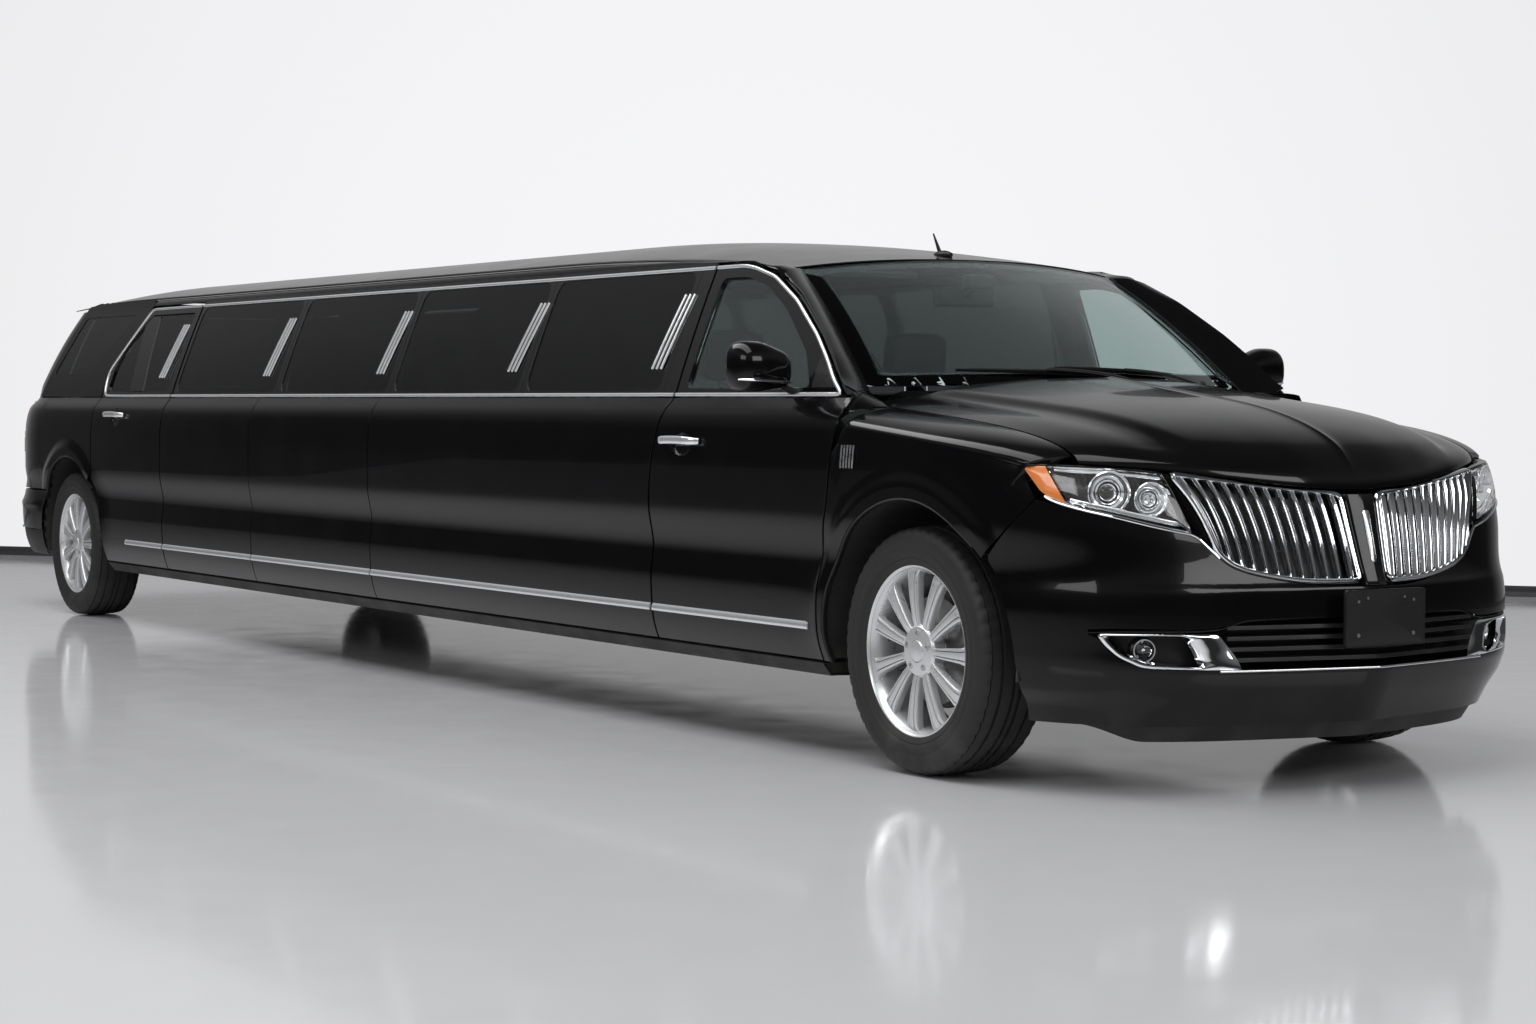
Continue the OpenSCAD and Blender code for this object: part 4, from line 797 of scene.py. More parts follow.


# floor and wall skirting with their materials; the world that gives each kind of ray its share of white is made with
# the lights
def makeStage():
    def stageMaterial(name, color, rough):
        # Two close tones mixed by broad noise, and roughness varied by fine noise.
        material = bpy.data.materials.new(name)
        material.use_nodes = True
        tree = material.node_tree
        shader = tree.nodes["Principled BSDF"]
        noise = objectNoise(tree, .35, 4)
        fine = objectNoise(tree, 5., 6)
        base = addNode(tree, "Mix", {0: noise.outputs[0], 6: (*color, 1), 7: (*[c * .92 for c in color], 1)},
                       data_type="RGBA").outputs[2]
        tree.links.new(base, shader.inputs["Base Color"])
        mapped = addNode(tree, "MapRange", {"Value": fine.outputs[0], "From Min": .3, "From Max": .7,
                                            "To Min": rough * .8, "To Max": rough * 1.5})
        tree.links.new(mapped.outputs[0], shader.inputs["Roughness"])
        return material

    a, b = (np.array(p) for p in stageLook["wallAt"])
    along = (b - a) / np.linalg.norm(b - a)
    back = np.array([-along[1], along[0]])
    back = -back if np.dot(back, -a) > 0 else back
    u, v = grid(60, 60)
    place = a + along * mix(-40, 45, u)[..., None] - back * (60 * v)[..., None]
    floor = sheetShape(stack(place[..., 0], place[..., 1], 0), 0, (0, 0, 1))
    u, v = grid(40, 4)
    line = a + along * mix(-40, 45, u)[..., None] + back * (.02 * (v > .3) * (v < .9))[..., None]
    skirt = sheetShape(stack(line[..., 0], line[..., 1], .055 * v), .01, (*-back, 0))
    for name, shape, material in (("floor", floor, stageMaterial("paleGlossFloor", stageLook["floor"],
            stageLook["floorRough"])),
                                  ("wallSkirting", skirt, stageMaterial("greySkirting", (.05, .05, .055), .5))):
        mesh = bpy.data.meshes.new(name)
        fillMesh(mesh, *shape)
        mesh.materials.append(material)
        thing = bpy.data.objects.new(name, mesh)
        bpy.context.collection.objects.link(thing)


lamps = [dict(name="ceilingBox", place=(1.5, -2.9, 6.5), size=(13, 4.2), power=600, aim=(1.5, -2.6, 0)),
         dict(name="sideBox", place=(6.0, -9.5, 4.6), size=(6, 2.2), power=160, aim=(1.5, 0, .9)),
         dict(name="frontBox", place=(12.5, 1.5, 4.5), size=(5, 2.5), power=200, aim=(3.0, 0, .9))]


skyLook = dict(wall=.45, dim=.022, top=.20, seen=.93, edge=.80, soft=.42)


# area lamps, each turned so that its own axis runs from its place to its aim
def makeLights():
    for lamp in lamps:
        data = bpy.data.lights.new(lamp["name"], "AREA")
        data.shape, data.size, data.size_y, data.energy = "RECTANGLE", *lamp["size"], lamp["power"]
        light = bpy.data.objects.new(lamp["name"], data)
        bpy.context.collection.objects.link(light)
        away = np.array(lamp["place"]) - np.array(lamp["aim"])
        away /= np.linalg.norm(away)
        right = np.cross((0, 0, 1), away)
        right = right / np.linalg.norm(right) if np.linalg.norm(right) > .05 else np.array([1., 0, 0])
        if lamp["name"] == "ceilingBox":
            right = np.array([1., 0, 0])
        up = np.cross(away, right)
        setAxes(light, [right, up / np.linalg.norm(up), away], lamp["place"])
    world = bpy.data.worlds.new("studio")
    bpy.context.scene.world = world
    world.use_nodes = True
    tree = world.node_tree
    place = addNode(tree, "TexCoord").outputs["Generated"]
    split = addNode(tree, "SeparateXYZ", {0: place})
    back = addNode(tree, "Mapping", {"Vector": place, "Rotation": (0, 0, radians(-148))})
    depth = addNode(tree, "SeparateXYZ", {0: back.outputs[0]}).outputs["X"]
    # white behind the car for eye and glass, a share of it for metal, and dim on the other sides
    behind = addNode(tree, "MapRange", {"Value": depth, "From Min": .60, "From Max": .97, "To Min": 0.,
                                        "To Max": skyLook["wall"]})
    rise = addNode(tree, "MapRange", {"Value": split.outputs["Z"], "From Min": .16, "From Max": .42,
                                      "To Min": 0., "To Max": skyLook["top"]})
    fall = addNode(tree, "MapRange", {"Value": split.outputs["Z"], "From Min": .45, "From Max": .80,
                                      "To Min": 1., "To Max": .12})
    top = addNode(tree, "Math", {0: rise.outputs[0], 1: fall.outputs[0]}, operation="MULTIPLY")
    strength = addNode(tree, "Math", {0: top.outputs[0], 1: skyLook["dim"]}, operation="ADD")
    glossy = addNode(tree, "Background", {"Color": (.97, .98, 1., 1), "Strength": strength.outputs[0]})
    seen = addNode(tree, "MapRange", {"Value": depth, "From Min": .93, "From Max": .998,
                                      "To Min": skyLook["edge"], "To Max": skyLook["seen"]})
    white = addNode(tree, "Background", {"Color": (.985, .985, 1., 1), "Strength": seen.outputs[0]})
    soft = addNode(tree, "Background", {"Color": (.97, .98, 1., 1), "Strength": skyLook["soft"]})
    path = addNode(tree, "LightPath")
    metal = addNode(tree, "Math", {0: path.outputs["Is Glossy Ray"], 1: behind.outputs[0]},
                    operation="MULTIPLY")
    glass = addNode(tree, "Math", {0: path.outputs["Is Transmission Ray"], 1: metal.outputs[0]},
                    operation="MAXIMUM")
    eye = addNode(tree, "Math", {0: path.outputs["Is Camera Ray"], 1: glass.outputs[0]}, operation="MAXIMUM")
    first = addNode(tree, "MixShader", {0: path.outputs["Is Glossy Ray"]})
    tree.links.new(soft.outputs[0], first.inputs[1])
    tree.links.new(glossy.outputs[0], first.inputs[2])
    choose = addNode(tree, "MixShader", {0: eye.outputs[0]})
    tree.links.new(first.outputs[0], choose.inputs[1])
    tree.links.new(white.outputs[0], choose.inputs[2])
    tree.links.new(choose.outputs[0], tree.nodes["World Output"].inputs[0])
    bpy.context.scene.view_settings.view_transform = "Standard"


makeCamera()
makeStage()
makeLights()
print("camera and stage made")


# side skins, doors and window frames
doorFront = smoothCurve([[.305, -.490], [.46, -.480], [.62, -.468], [.80, -.424], [.96, -.400], [1.10, -.372],
                         [1.13, -.367]])
doorRear = smoothCurve([[.30, -1.512], [.80, -1.512], [.94, -1.492], [1.12, -1.440], [1.13, -1.438]])
side = dict(skin=.005, cabinFace=.846, seams=(-3.820, -5.100), rearDoorFront=-6.220, gap=.009, doorTop=1.56375,
            sill=1.150,
            cells=(-1.530, -2.590, -3.752, -4.933, -6.205), frameRear=-1.435, frameGap=.013)
handleAt = dict(front=(-1.305, .975), rear=(-6.855, 1.035), cup=(.058, .036), depth=.026)


def rearDoorBack(z):  # upright above, then round the wheel opening
    return rearX + np.maximum(.372, np.sqrt(np.maximum(0, .505**2 - (z - axleZ)**2)))


def sideSheet(rearEdge, frontEdge, low, high, xStep=.09, cup=None):
    # Skin between two edge curves x(z): x mixed from edge to edge, y from the side section,
    # and a smooth hollow for the hand behind a handle.
    spots = [(cup[0], .075, .007)] if cup else []
    xr, xf = float(np.min(rearEdge(np.array([low, high])))), float(np.max(frontEdge(np.array([low, high]))))
    x = clustered(xr, xf, xStep, [*spots, (xr, .02, .012), (xf, .02, .012)])
    z = clustered(low, high, .016, [(cup[1], .05, .006)] if cup else [])
    u, z = crossed((x - xr) / (xf - xr), z)
    x = mix(rearEdge(z), frontEdge(z), u)
    inside = 0
    if cup:
        d = 1 - ((x - cup[0]) / handleAt["cup"][0])**2 - ((z - cup[1] + .012) / handleAt["cup"][1])**2
        inside = handleAt["depth"] * smoothStep(d / .6)
    return sheetShape(sidePoint(x, z, inside), side["skin"], (0, 1, 0))


def coreShape(x0, x1, z0, z1, inner=.847, cutArch=False):
    # Thick inside of a door: a plain grid on the section and a flat grid at the cabin side.
    u, v = grid(40, 30)
    z = mix(z0, z1, v)
    back = np.maximum(x0, rearX + np.sqrt(np.maximum(0, .545**2 - (z - axleZ)**2))) if cutArch else x0 + 0 * z
    x = mix(back, x1, u)
    outer = stack(x, sideHalf(z) - .008, z)
    a = sheetShape(outer, 0, (0, 1, 0))
    b = sheetShape(stack(x, inner, z), 0, (0, -1, 0))
    size = len(a[0])
    n, m = x.shape
    rim = np.concatenate([np.arange(m), np.arange(1, n) * m + m - 1, (n - 1) * m + np.arange(m - 2, -1, -1),
                          np.arange(n - 2, 0, -1) * m])
    nxt = np.roll(rim, -1)
    walls = np.stack([rim, nxt, nxt + size, rim + size], 1)
    return joined([a, b])[0], np.concatenate([a[1], b[1] + size, walls[:, ::-1]])


# door inner trim: panel crowned towards the cabin with an armrest and a map pocket standing out
def doorTrim(x0, x1, z0, z1):
    u, v = grid(40, 28)
    x, z = mix(x0, x1, u), mix(z0, z1, v)
    edge = np.minimum(np.minimum(u, 1 - u) * (x1 - x0), np.minimum(v, 1 - v) * (z1 - z0))
    rest = np.exp(-((z - mix(z0, z1, .66)) / .035)**4) * smoothStep((u - .1) / .1) * smoothStep((.9 - u) / .1)
    pocket = smoothStep((.28 - v) / .06) * smoothStep((u - .15) / .08) * smoothStep((.85 - u) / .08)
    out = .006 + .012 * np.sqrt(np.clip(edge / .03, 0, 1)) + .030 * rest + .018 * pocket
    return sheetShape(stack(x, side["cabinFace"] - out, z), .004, (0, -1, 0))


frontFrame = np.array([[-.420, 1.121], [-.480, 1.160], [-.562, 1.234], [-.667, 1.314], [-.853, 1.430],
                       [-1.041, 1.515],
                       [-1.200, 1.553], [-1.240, side["doorTop"]], [-1.435, side["doorTop"]], [-1.435, 1.121]])
frontWindow = np.array([[-.620, 1.150], [-.700, 1.262], [-.900, 1.404], [-1.085, 1.492], [-1.215, 1.520],
                        [-1.375, 1.520], [-1.385, 1.150]])
rearFrame = np.array([[1.342, 1.121], [1.342, side["doorTop"]], [.672, side["doorTop"]], [.362, 1.235],
                      [.372, 1.121]])
rearWindow = np.array([[1.287, 1.150], [1.287, 1.528], [.690, 1.528], [.480, 1.360], [.430, 1.260],
                       [.430, 1.150]])


# outline moved along x
def placed(outline, x):
    return outline + [x, 0]


# door skins between edge curves, inner panels, handles, trims and glass of both sides
def makeDoors():
    f, d = finishes, "front_door_left"
    cupF = (frontX + handleAt["front"][0], handleAt["front"][1])
    cupR = (frontX + handleAt["rear"][0], handleAt["rear"][1])
    skin = sideSheet(lambda z: frontX + doorRear(z), lambda z: frontX + doorFront(z), body["doorBottom"], 1.119,
                     cup=cupF)
    core = coreShape(frontX - 1.495, frontX - .548, .310, 1.118)
    bothSides("frontDoorSkin", [skin], f["paint"], d, slot="body_paint", bevel=.0022)
    frame = ringShape(filleted(placed(frontFrame, frontX), .012), filleted(placed(frontWindow, frontX), .03))
    bothSides("frontDoorShell", [core, frame], f["pillar"], d, [d], slot="trim_black", bevel=.003)
    bothSides("frontDoorTrim", [doorTrim(frontX - 1.47, frontX - .60, .34, 1.10)], f["leather"], d,
              slot="cabin_leather")
    pane = paneShape(filleted(placed(frontWindow, frontX), .03), -.009, .005)
    bothSides("frontDoorGlass", [pane], f["doorGlass"], d, ["front_door_glass_left"], slot="clear_glass")
    d = "rear_door_left"
    skin = sideSheet(rearDoorBack, lambda z: rearX + 1.347 + 0 * z, body["doorBottom"], 1.119, cup=cupR)
    core = coreShape(rearX + .405, rearX + 1.225, .310, 1.118, cutArch=True)
    frame = ringShape(filleted(placed(rearFrame, rearX), .012), filleted(placed(rearWindow, rearX), .03))
    bothSides("rearDoorSkin", [skin], f["paint"], d, slot="body_paint", bevel=.0022)
    bothSides("rearDoorShell", [core, frame], f["pillar"], d, [d], slot="trim_black", bevel=.003)
    bothSides("rearDoorTrim", [doorTrim(rearX + .60, rearX + 1.21, .34, 1.10)], f["leather"], d,
              slot="cabin_leather")
    pane = paneShape(filleted(placed(rearWindow, rearX), .03), -.009, .005)
    bothSides("rearDoorGlass", [pane], f["darkGlass"], d, ["rear_door_glass_left"], slot="dark_glass")
    # slanted post that divides the rear door's glass
    u, v = grid(8, 24)
    z = mix(1.153, 1.525, v)
    x = rearX + mix(.725, .905, u) + (z - 1.205) * -.325
    bothSides("rearDoorDivider", [sheetShape(leanPoint(x, z, -.004), .020, (0, 1, 0))], f["pillar"], d,
              slot="trim_black", bevel=.002)


def makeCentre():
    # Fixed centre section: three lower skins, four glazed cells, the rail over them and the sills.
    f = finishes
    edges = [lambda z: frontX + doorRear(z) - side["gap"],
             *[lambda z, s=s: frontX + s + 0 * z for s in side["seams"]],
             lambda z: frontX + side["rearDoorFront"] + side["gap"] + 0 * z]
    skins = []
    for k in range(3):
        a, b = edges[k], edges[k + 1]
        skins.append(sideSheet(lambda z, b=b, k=k: b(z) + (.0025 if k < 2 else 0), lambda z, a=a,
                               k=k: a(z) - (.0025 if k else 0),
                               body["doorBottom"], 1.119, xStep=.25))
    bothSides("centreSkin", skins, f["paint"], slot="body_paint", bevel=.0022)
    core = coreShape(frontX - 6.208, frontX - 1.524, .34, 1.116, inner=.848)
    bothSides("centreLining", [core], f["cabin"], slot="cabin_plastic", bevel=.004)
    top = body["cant"] + .0005
    cells, panes = [], []
    borders = side["cells"]
    for k in range(4):
        x1, x0 = frontX + borders[k] - (.0015 if k else 0), frontX + borders[k + 1] + .0015
        outer = np.array([[x1, 1.121], [x1, top], [x0, top], [x0, 1.121]])
        inner = np.array([[x1 - .030, side["sill"] - .006], [x1 - .030, 1.548], [x0 + .030, 1.548],
                          [x0 + .030, side["sill"] - .006]])
        cells.append(ringShape(filleted(outer, .004, 3), filleted(inner, .05), thickness=.028))
        panes.append(paneShape(filleted(inner, .05), -.0025, .006))
    u, v = grid(6, 30)
    z = mix(1.121, top, v)
    cells.append(sheetShape(leanPoint(frontX + mix(-1.528, -1.448, u), z), .028, (0, 1, 0)))
    bothSides("windowSurround", cells, f["pillar"], slot="trim_black", replaces=["side_panels"], bevel=.0016)
    bothSides("stretchGlass", panes, f["darkGlass"], slot="dark_glass", replaces=["side_windows"])
    # rail over the doors: a long strip that ends in a point at the windshield
    xs = clustered(rearX + .660, frontX - 1.012, .06)
    u, v = crossed(xs, np.linspace(0, 1, 8))
    low = np.interp(u - frontX, [-1.240, -1.200, -1.0233], [1.576, 1.575, 1.5365])
    lead = roofLead(u)
    foot, topLine = leanPoint(u - .03 * lead, low), roofPoint(u, np.ones_like(u), .003)
    knee = leanPoint(u - .05 * lead, np.maximum(low, mix(1.600, 1.562, np.minimum(1, lead))))
    shareUp = v[..., None]
    p = (1 - shareUp)**2 * foot + 2 * shareUp * (1 - shareUp) * knee + shareUp**2 * topLine
    end = mix(leanPoint(np.full(8, frontX - .992), np.full(8, 1.503)),
              glassPoint(np.full(8, .985), np.full(8, .985), -.001), np.linspace(0, 1, 8)[:, None])
    end += np.sin(np.linspace(0, pi, 8))[:, None] * [.004, .006, .008]
    rail = sheetShape(np.concatenate([p, mix(p[-1:], end[None], .5), end[None]]), .006, (0, 1, .5))
    quarter = placed(np.array([[.657, 1.576], [.657, 1.607], [-.200, 1.607], [-.330, 1.590], [-.560, 1.230],
                               [-.600, 1.127],
                               [.352, 1.127], [.350, 1.250]]), rearX)
    window = filleted(placed(np.array([[.075, 1.245], [.46, 1.535], [-.300, 1.535], [-.490, 1.245]]), rearX),
                      .035)
    ring = ringShape(filleted(quarter, .004, 3), window, thickness=.028)
    bothSides("roofRail", [rail, ring], f["paint"], slot="body_paint", bevel=.002)
    bothSides("quarterGlass", [paneShape(window, -.003, .006)], f["darkGlass"], slot="dark_glass")
    # sill strip under the doors, following the section and tucked under at its lower edge
    xs = clustered(rearX + .500, frontX - .500, .08)
    t = np.linspace(0, 1, 12)
    z = np.interp(t, [0, .35, 1], [.252, .256, .297])
    y = np.interp(t, [0, .35, 1], [.80, .888, .922])
    u, z2 = crossed(xs, z)
    bothSides("sillTrim", [sheetShape(stack(u, np.broadcast_to(y, u.shape), z2), .008, (0, 1, -.3))], f["trim"],
              slot="trim_black", bevel=.003)


# chrome: window line in three pieces a side, low strip, window slats and handles
def makeBrightwork():
    f = finishes
    top = side["doorTop"]
    front = placed(softPath([[-1.436, 1.128], [-.425, 1.128], [-.436, 1.135], [-.49, 1.170], [-.565, 1.238],
                             [-.667, 1.316],
                             [-.853, 1.430], [-1.041, 1.514], [-1.19, 1.549], [-1.26, top - .006],
                             [-1.434, top - .006]], .012, 5), frontX)
    front = front[(front[:, 0] < frontX - .424) | (front[:, 1] > 1.1)]
    strips = [trimStrip(front, .013, .0055, .0005)]
    bothSides("frontDoorBrightLine", strips, f["brightTrim"], "front_door_left", slot="chrome")
    c0, c1 = frontX - 1.450, frontX - 6.207
    centre = [trimStrip([[x, 1.128] for x in np.linspace(c0, c1, 80)], .013, .0055, .0005),
              trimStrip([[x, top - .006] for x in np.linspace(c0, c1, 80)], .013, .0055, .0005)]
    bothSides("centreBrightLine", centre, f["brightTrim"], slot="chrome")
    rear = placed(softPath([[1.340, top - .006], [.700, top - .006], [.668, top - .010], [.372, 1.262],
                            [.366, 1.235],
                            [.385, 1.160], [.42, 1.130], [.50, 1.128], [1.340, 1.128]], .012, 5), rearX)
    bothSides("rearDoorBrightLine", [trimStrip(rear, .013, .0055, .0005)], f["brightTrim"], "rear_door_left",
              slot="chrome")
    # slats: three thin bars a post, leaning back at the foot
    slats = []
    for x0, x1, z0, z1 in ((-1.596, -1.530, 1.215, 1.470), (-2.685, -2.596, 1.215, 1.470),
                           (-3.868, -3.790, 1.215, 1.470),
                           (-5.080, -4.995, 1.215, 1.470)):
        for k in (0, 1, 2):
            t = np.linspace(0, 1, 26)
            x = frontX + mix(x0, x1, t) - k * .030 + .008
            slats.append(trimStrip(np.stack([x, mix(z0, z1, t)], 1), .011, .007, .001))
    bothSides("windowSlats", slats, f["brightTrim"], slot="chrome")
    slats = []
    for k in (0, 1, 2):
        t = np.linspace(0, 1, 26)
        slats.append(trimStrip(np.stack([frontX + mix(-6.395, -6.303, t) - k * .030 + .008,
                                         mix(1.215, 1.470, t)], 1), .011, .007, .001))
    bothSides("rearDoorSlats", slats, f["brightTrim"], "rear_door_left", slot="chrome")
    # low strip on the doors and the centre, crowned, 26 mm high
    def low(x0, x1):
        x = np.linspace(frontX + x0, frontX + x1, max(12, int(abs(x1 - x0) / .06)))
        return trimStrip(np.stack([x, np.full_like(x, .412)], 1), .026, .007, 0, side=True)
    bothSides("frontDoorLowStrip", [low(-.535, -1.508)], f["brightTrim"], "front_door_left", slot="chrome")
    bothSides("centreLowStrip", [low(-1.524, -3.814), low(-3.826, -5.094), low(-5.106, -6.207)],
              f["brightTrim"], slot="chrome")
    bothSides("rearDoorLowStrip", [low(-6.224, -6.730)], f["brightTrim"], "rear_door_left", slot="chrome")
    # handles: a flattened bar bowed away from the skin, its ends turned in
    for word, rides in (("front", "front_door_left"), ("rear", "rear_door_left")):
        cx, cz = handleAt[word]
        t = np.linspace(-1, 1, 40)
        x = frontX + cx + t * .118
        out = .034 - .030 * np.abs(t)**7
        p = stack(x, bodyY(x, cz + 0 * x) + out, cz + .004 * (1 - t**2))
        a = roundAngles(18)
        bar = np.stack([signedPower(np.cos(a), .7) * .0135,
                        signedPower(np.sin(a), .8) * .0075], 1)
        bothSides(word + "Handle", [tubeShape(p, bar, up=(0, 1, 0), scale=1 - .25 * np.abs(t)**6)],
                  f["brightTrim"], rides, slot="chrome")


hoodHalf = .770
roofSize = dict(drawFrom=1.700, drawOver=.690, half=.905 - .480 * body["lean"] - .012, height=1.705,
                edge=1.603, front=frontX - 1.010, back=rearX - .590)


# foot of the windshield: a parabola across the car
def glassBase(y):
    return -.300 - .216 * (y / hoodHalf)**2


# front edge of the hood in plan and in height, each a curve over the distance from the centre
hoodPlan = smoothCurve([[0, .880], [.15, .873], [.30, .845], [.45, .789], [.60, .706], [.70, .634],
                        [.78, .556]])
hoodLine = smoothCurve([[0, .851], [.20, .862], [.45, .894], [.60, .913], [.78, .931]])


# plan curve read at the distance from the centre
def hoodFrontX(y):
    return hoodPlan(np.abs(y))


# height curve read at the distance from the centre
def hoodFrontZ(y):
    return hoodLine(np.abs(y))


# hood height: a slope mixed from centre to edge, and an arc of a squared circle down to the front edge
def hoodZ(x, y):
    k = np.abs(y / hoodHalf)**2.2
    def line(a):
        # Straight fall by a, mixed from the centre line to the edge by k.
        return mix(1.144 - .125 * a, 1.058 - .09 * a, k)
    x1, xf = mix(.300, 0, (y / hoodHalf)**2), hoodFrontX(y)
    drop = line(xf) - hoodFrontZ(y)
    return line(x) - drop * (1 - squared(np.maximum(0, x - x1) / (xf - x1), 2.3))


# styling on the hood: a fine spine, and a centre field that stands a little above its flanks
def hoodCrease(x, y):
    fade = smoothStep((x + .45) / .15) * smoothStep((hoodFrontX(y) - x) / .10)
    flank = mix(.600, .480, np.clip((x + .45) / 1.3, 0, 1))
    a = np.abs(y)
    return fade * (.0045 * np.exp(-(a / .011)**1.5) + .009 * smoothStep((flank + .022 - a) / .05) - .006 * np.exp(-((a - flank - .05) / .06)**2))


# grid from the foot of the glass to the front edge, closer towards the front by a power
def makeHood():
    half = np.concatenate([np.linspace(0, .02, 6), np.linspace(.02, 1, 56)[1:]])
    u, v = crossed(np.concatenate([-half[:0:-1], half]), np.linspace(0, 1, 84))
    y = u * (hoodHalf - .0045)
    x = mix(glassBase(y) + .058, hoodFrontX(y) - .0001, 1 - (1 - v)**2.4)
    z = hoodZ(x, y) + hoodCrease(x, y)
    makePiece("hoodSkin", sheetShape(stack(frontX + x, y, z), .004, (0, 0, 1)), finishes["paint"], "hood",
              "body_paint", bevel=.002)
    # lining with its cross-braced pressing
    u, v = grid(60, 46)
    y = mix(-.70, .70, u)
    x = mix(glassBase(y) + .11, hoodFrontX(y) - .09, v)
    ribs = np.maximum(np.exp(-((np.abs(y) - .25 - .35 * (v - .3)) / .035)**4), np.exp(-((v - .5) / .05)**4))
    ribs = np.maximum(ribs, smoothStep(1 - np.minimum(np.minimum(u, 1 - u) * 1.4,
                                                      np.minimum(v, 1 - v) * 1.2) / .07))
    z = hoodZ(x, y) - .026 - .012 * ribs
    makePiece("hoodLining", sheetShape(stack(frontX + x, y, z), .0025, (0, 0, -1)), finishes["under"], "hood",
              "underbody")
    bracket = [roundedBox((frontX - .428, w * .505 - .010, 1.085), (frontX - .360, w * .505 + .004, 1.100),
                          .004) for w in (-1, 1)]
    makePiece("hoodArms", bracket, finishes["under"], "hood", "underbody", replaces=["hood"])


# fender: polar fan from the wheel opening to its rim, then a quarter arc over to the hood's edge
def makeFenders():
    share = .36
    foot, joint = pi + np.arcsin((axleZ - body["doorBottom"]) / body["archRadius"]), radians(40)
    t, v = crossed(np.concatenate([np.linspace(0, share, 24)[:-1], np.linspace(share, .9, 72)[:-1],
                                       np.linspace(.9, 1, 9)]),
                       clustered(0, 1, .03, [(0, .16, .010), (.86, .14, .013)]))
    a = mix(foot, joint, t)
    low = stack(body["archRadius"] * np.cos(a), axleZ + body["archRadius"] * np.sin(a))
    z1 = mix(body["doorBottom"], 1.010, t / share)
    xm = mix(-.372 + .009, .470, (t - share) / (.9 - share))
    edge = np.full_like(xm, hoodHalf)
    zm = hoodZ(xm, edge) - .062
    rimX = np.where(t < share, doorFront(np.clip(z1, .3, 1.12)) + .009,
                    np.where(t > .9, np.interp(t, [.9, .95, 1], [.470, .518, .487]), xm))
    rimZ = np.where(t < share, z1, np.where(t > .9,
                                            np.interp(t, [.9, .95, 1], [float(zm[t <= .9].min()), .836, .800]),
                                            zm))
    edgeWay = np.minimum(1, v / .75)
    px, pz = mix(low[..., 0], rimX, edgeWay), mix(low[..., 1], rimZ, edgeWay)
    y = bodyY(frontX + px, pz)
    c = np.maximum(0, (v - .75) / .25)
    qx, qz = mix(low[..., 0], rimX, v), mix(low[..., 1], rimZ, v)
    plain = stack(frontX + qx, bodyY(frontX + qx, qz), qz)
    inX = np.minimum(px + .086 * smoothStep((rimX - .20) / .27), .552)
    rise = hoodZ(inX, edge) - pz
    arc = stack(frontX + mix(px, inX, c), mix(y, hoodHalf + .0045, 1 - np.cos(c * pi / 2)),
                pz + rise * np.sin(c * pi / 2))
    blendShare = (smoothStep((t - share + .03) / .06) * (t < .9005))[..., None]
    shape = sheetShape(mix(plain, arc, blendShare), .004, (0, 1, .2))
    bothSides("fenderSkin", shape, finishes["paint"], slot="body_paint", replaces=["front_fenders"], bevel=.002)
    # rolled lip and a dark liner edge inside the opening
    a = np.linspace(foot, joint + .1, 90)
    x, z = frontX + .452 * np.cos(a), axleZ + .452 * np.sin(a)
    bothSides("archSeal", tubeShape(stack(x, bodyY(x, z) - .010, z),
                                    np.stack([np.cos(roundAngles(8)) * .006,
              np.sin(roundAngles(8)) * .010], 1), up=(0, 1, 0)), finishes["trim"],
              slot="trim_black")
    # liners inside all four openings
    for word, x0, from_, to in (("Front", frontX, joint + .02, foot - .02),
                                ("Rear", rearX, radians(-6), radians(186))):
        u, v = grid(70, 20)
        a = mix(from_, to, u)
        r = .4580 + .0012 * np.sin(u * 150)
        x, z = x0 + r * np.cos(a), axleZ + r * np.sin(a)
        wide = (bodyY(x, z) if word == "Front" else sideHalf(z)) - .014
        bothSides("archLiner" + word, sheetShape(stack(x, mix(.690, wide, v), z), .002, (0, 0, -1)),
                  finishes["under"], slot="underbody")
    # ribbed vent behind the wheel
    ribs = []
    for k in range(5):
        z = np.linspace(.905, .975, 12)
        x = frontX - .330 + .016 * k + .05 * (z - .94) + 0 * z
        ribs.append(tubeShape(stack(x, bodyY(x, z) + .0045, z), bandSection(.007, .004), up=(0, 1, 0)))
    bothSides("fenderVent", ribs, finishes["satinMetal"], slot="chrome")


# angle on the nose's plan curve, from 0 at the centre to a quarter turn at the side
def angleAtX(x, z):
    return np.arccos(np.minimum(1, (np.maximum(0, x - nose["start"]) / noseReach(z))**(nose["power"] / 2)))


# arc sine of the share of the half width, raised to half the power of the nose
def angleAtY(y, z):
    return np.arcsin(np.minimum(1, (np.abs(y) / sideHalf(z))**(nose["power"] / 2)))


# nose surface by angle; inside moves along the plan normal
def nosePoint(angle, z, inside=0):
    s = np.abs(np.sin(angle))**(2 / nose["power"])
    y = s * sideHalf(z)
    x = noseX(y, z)
    return stack(x - inside * np.cos(angle), np.sign(np.sin(angle)) * (y - inside * np.abs(np.sin(angle))), z)


# circle of the wheel opening below, a table of distances above it
def bumperEnd(z):
    return np.where(z < .662, np.sqrt(np.maximum(.0001, .462**2 - (z - axleZ)**2)),
                    np.interp(z, [.662, .800, .836, .930], [.358, .493, .524, .520]))


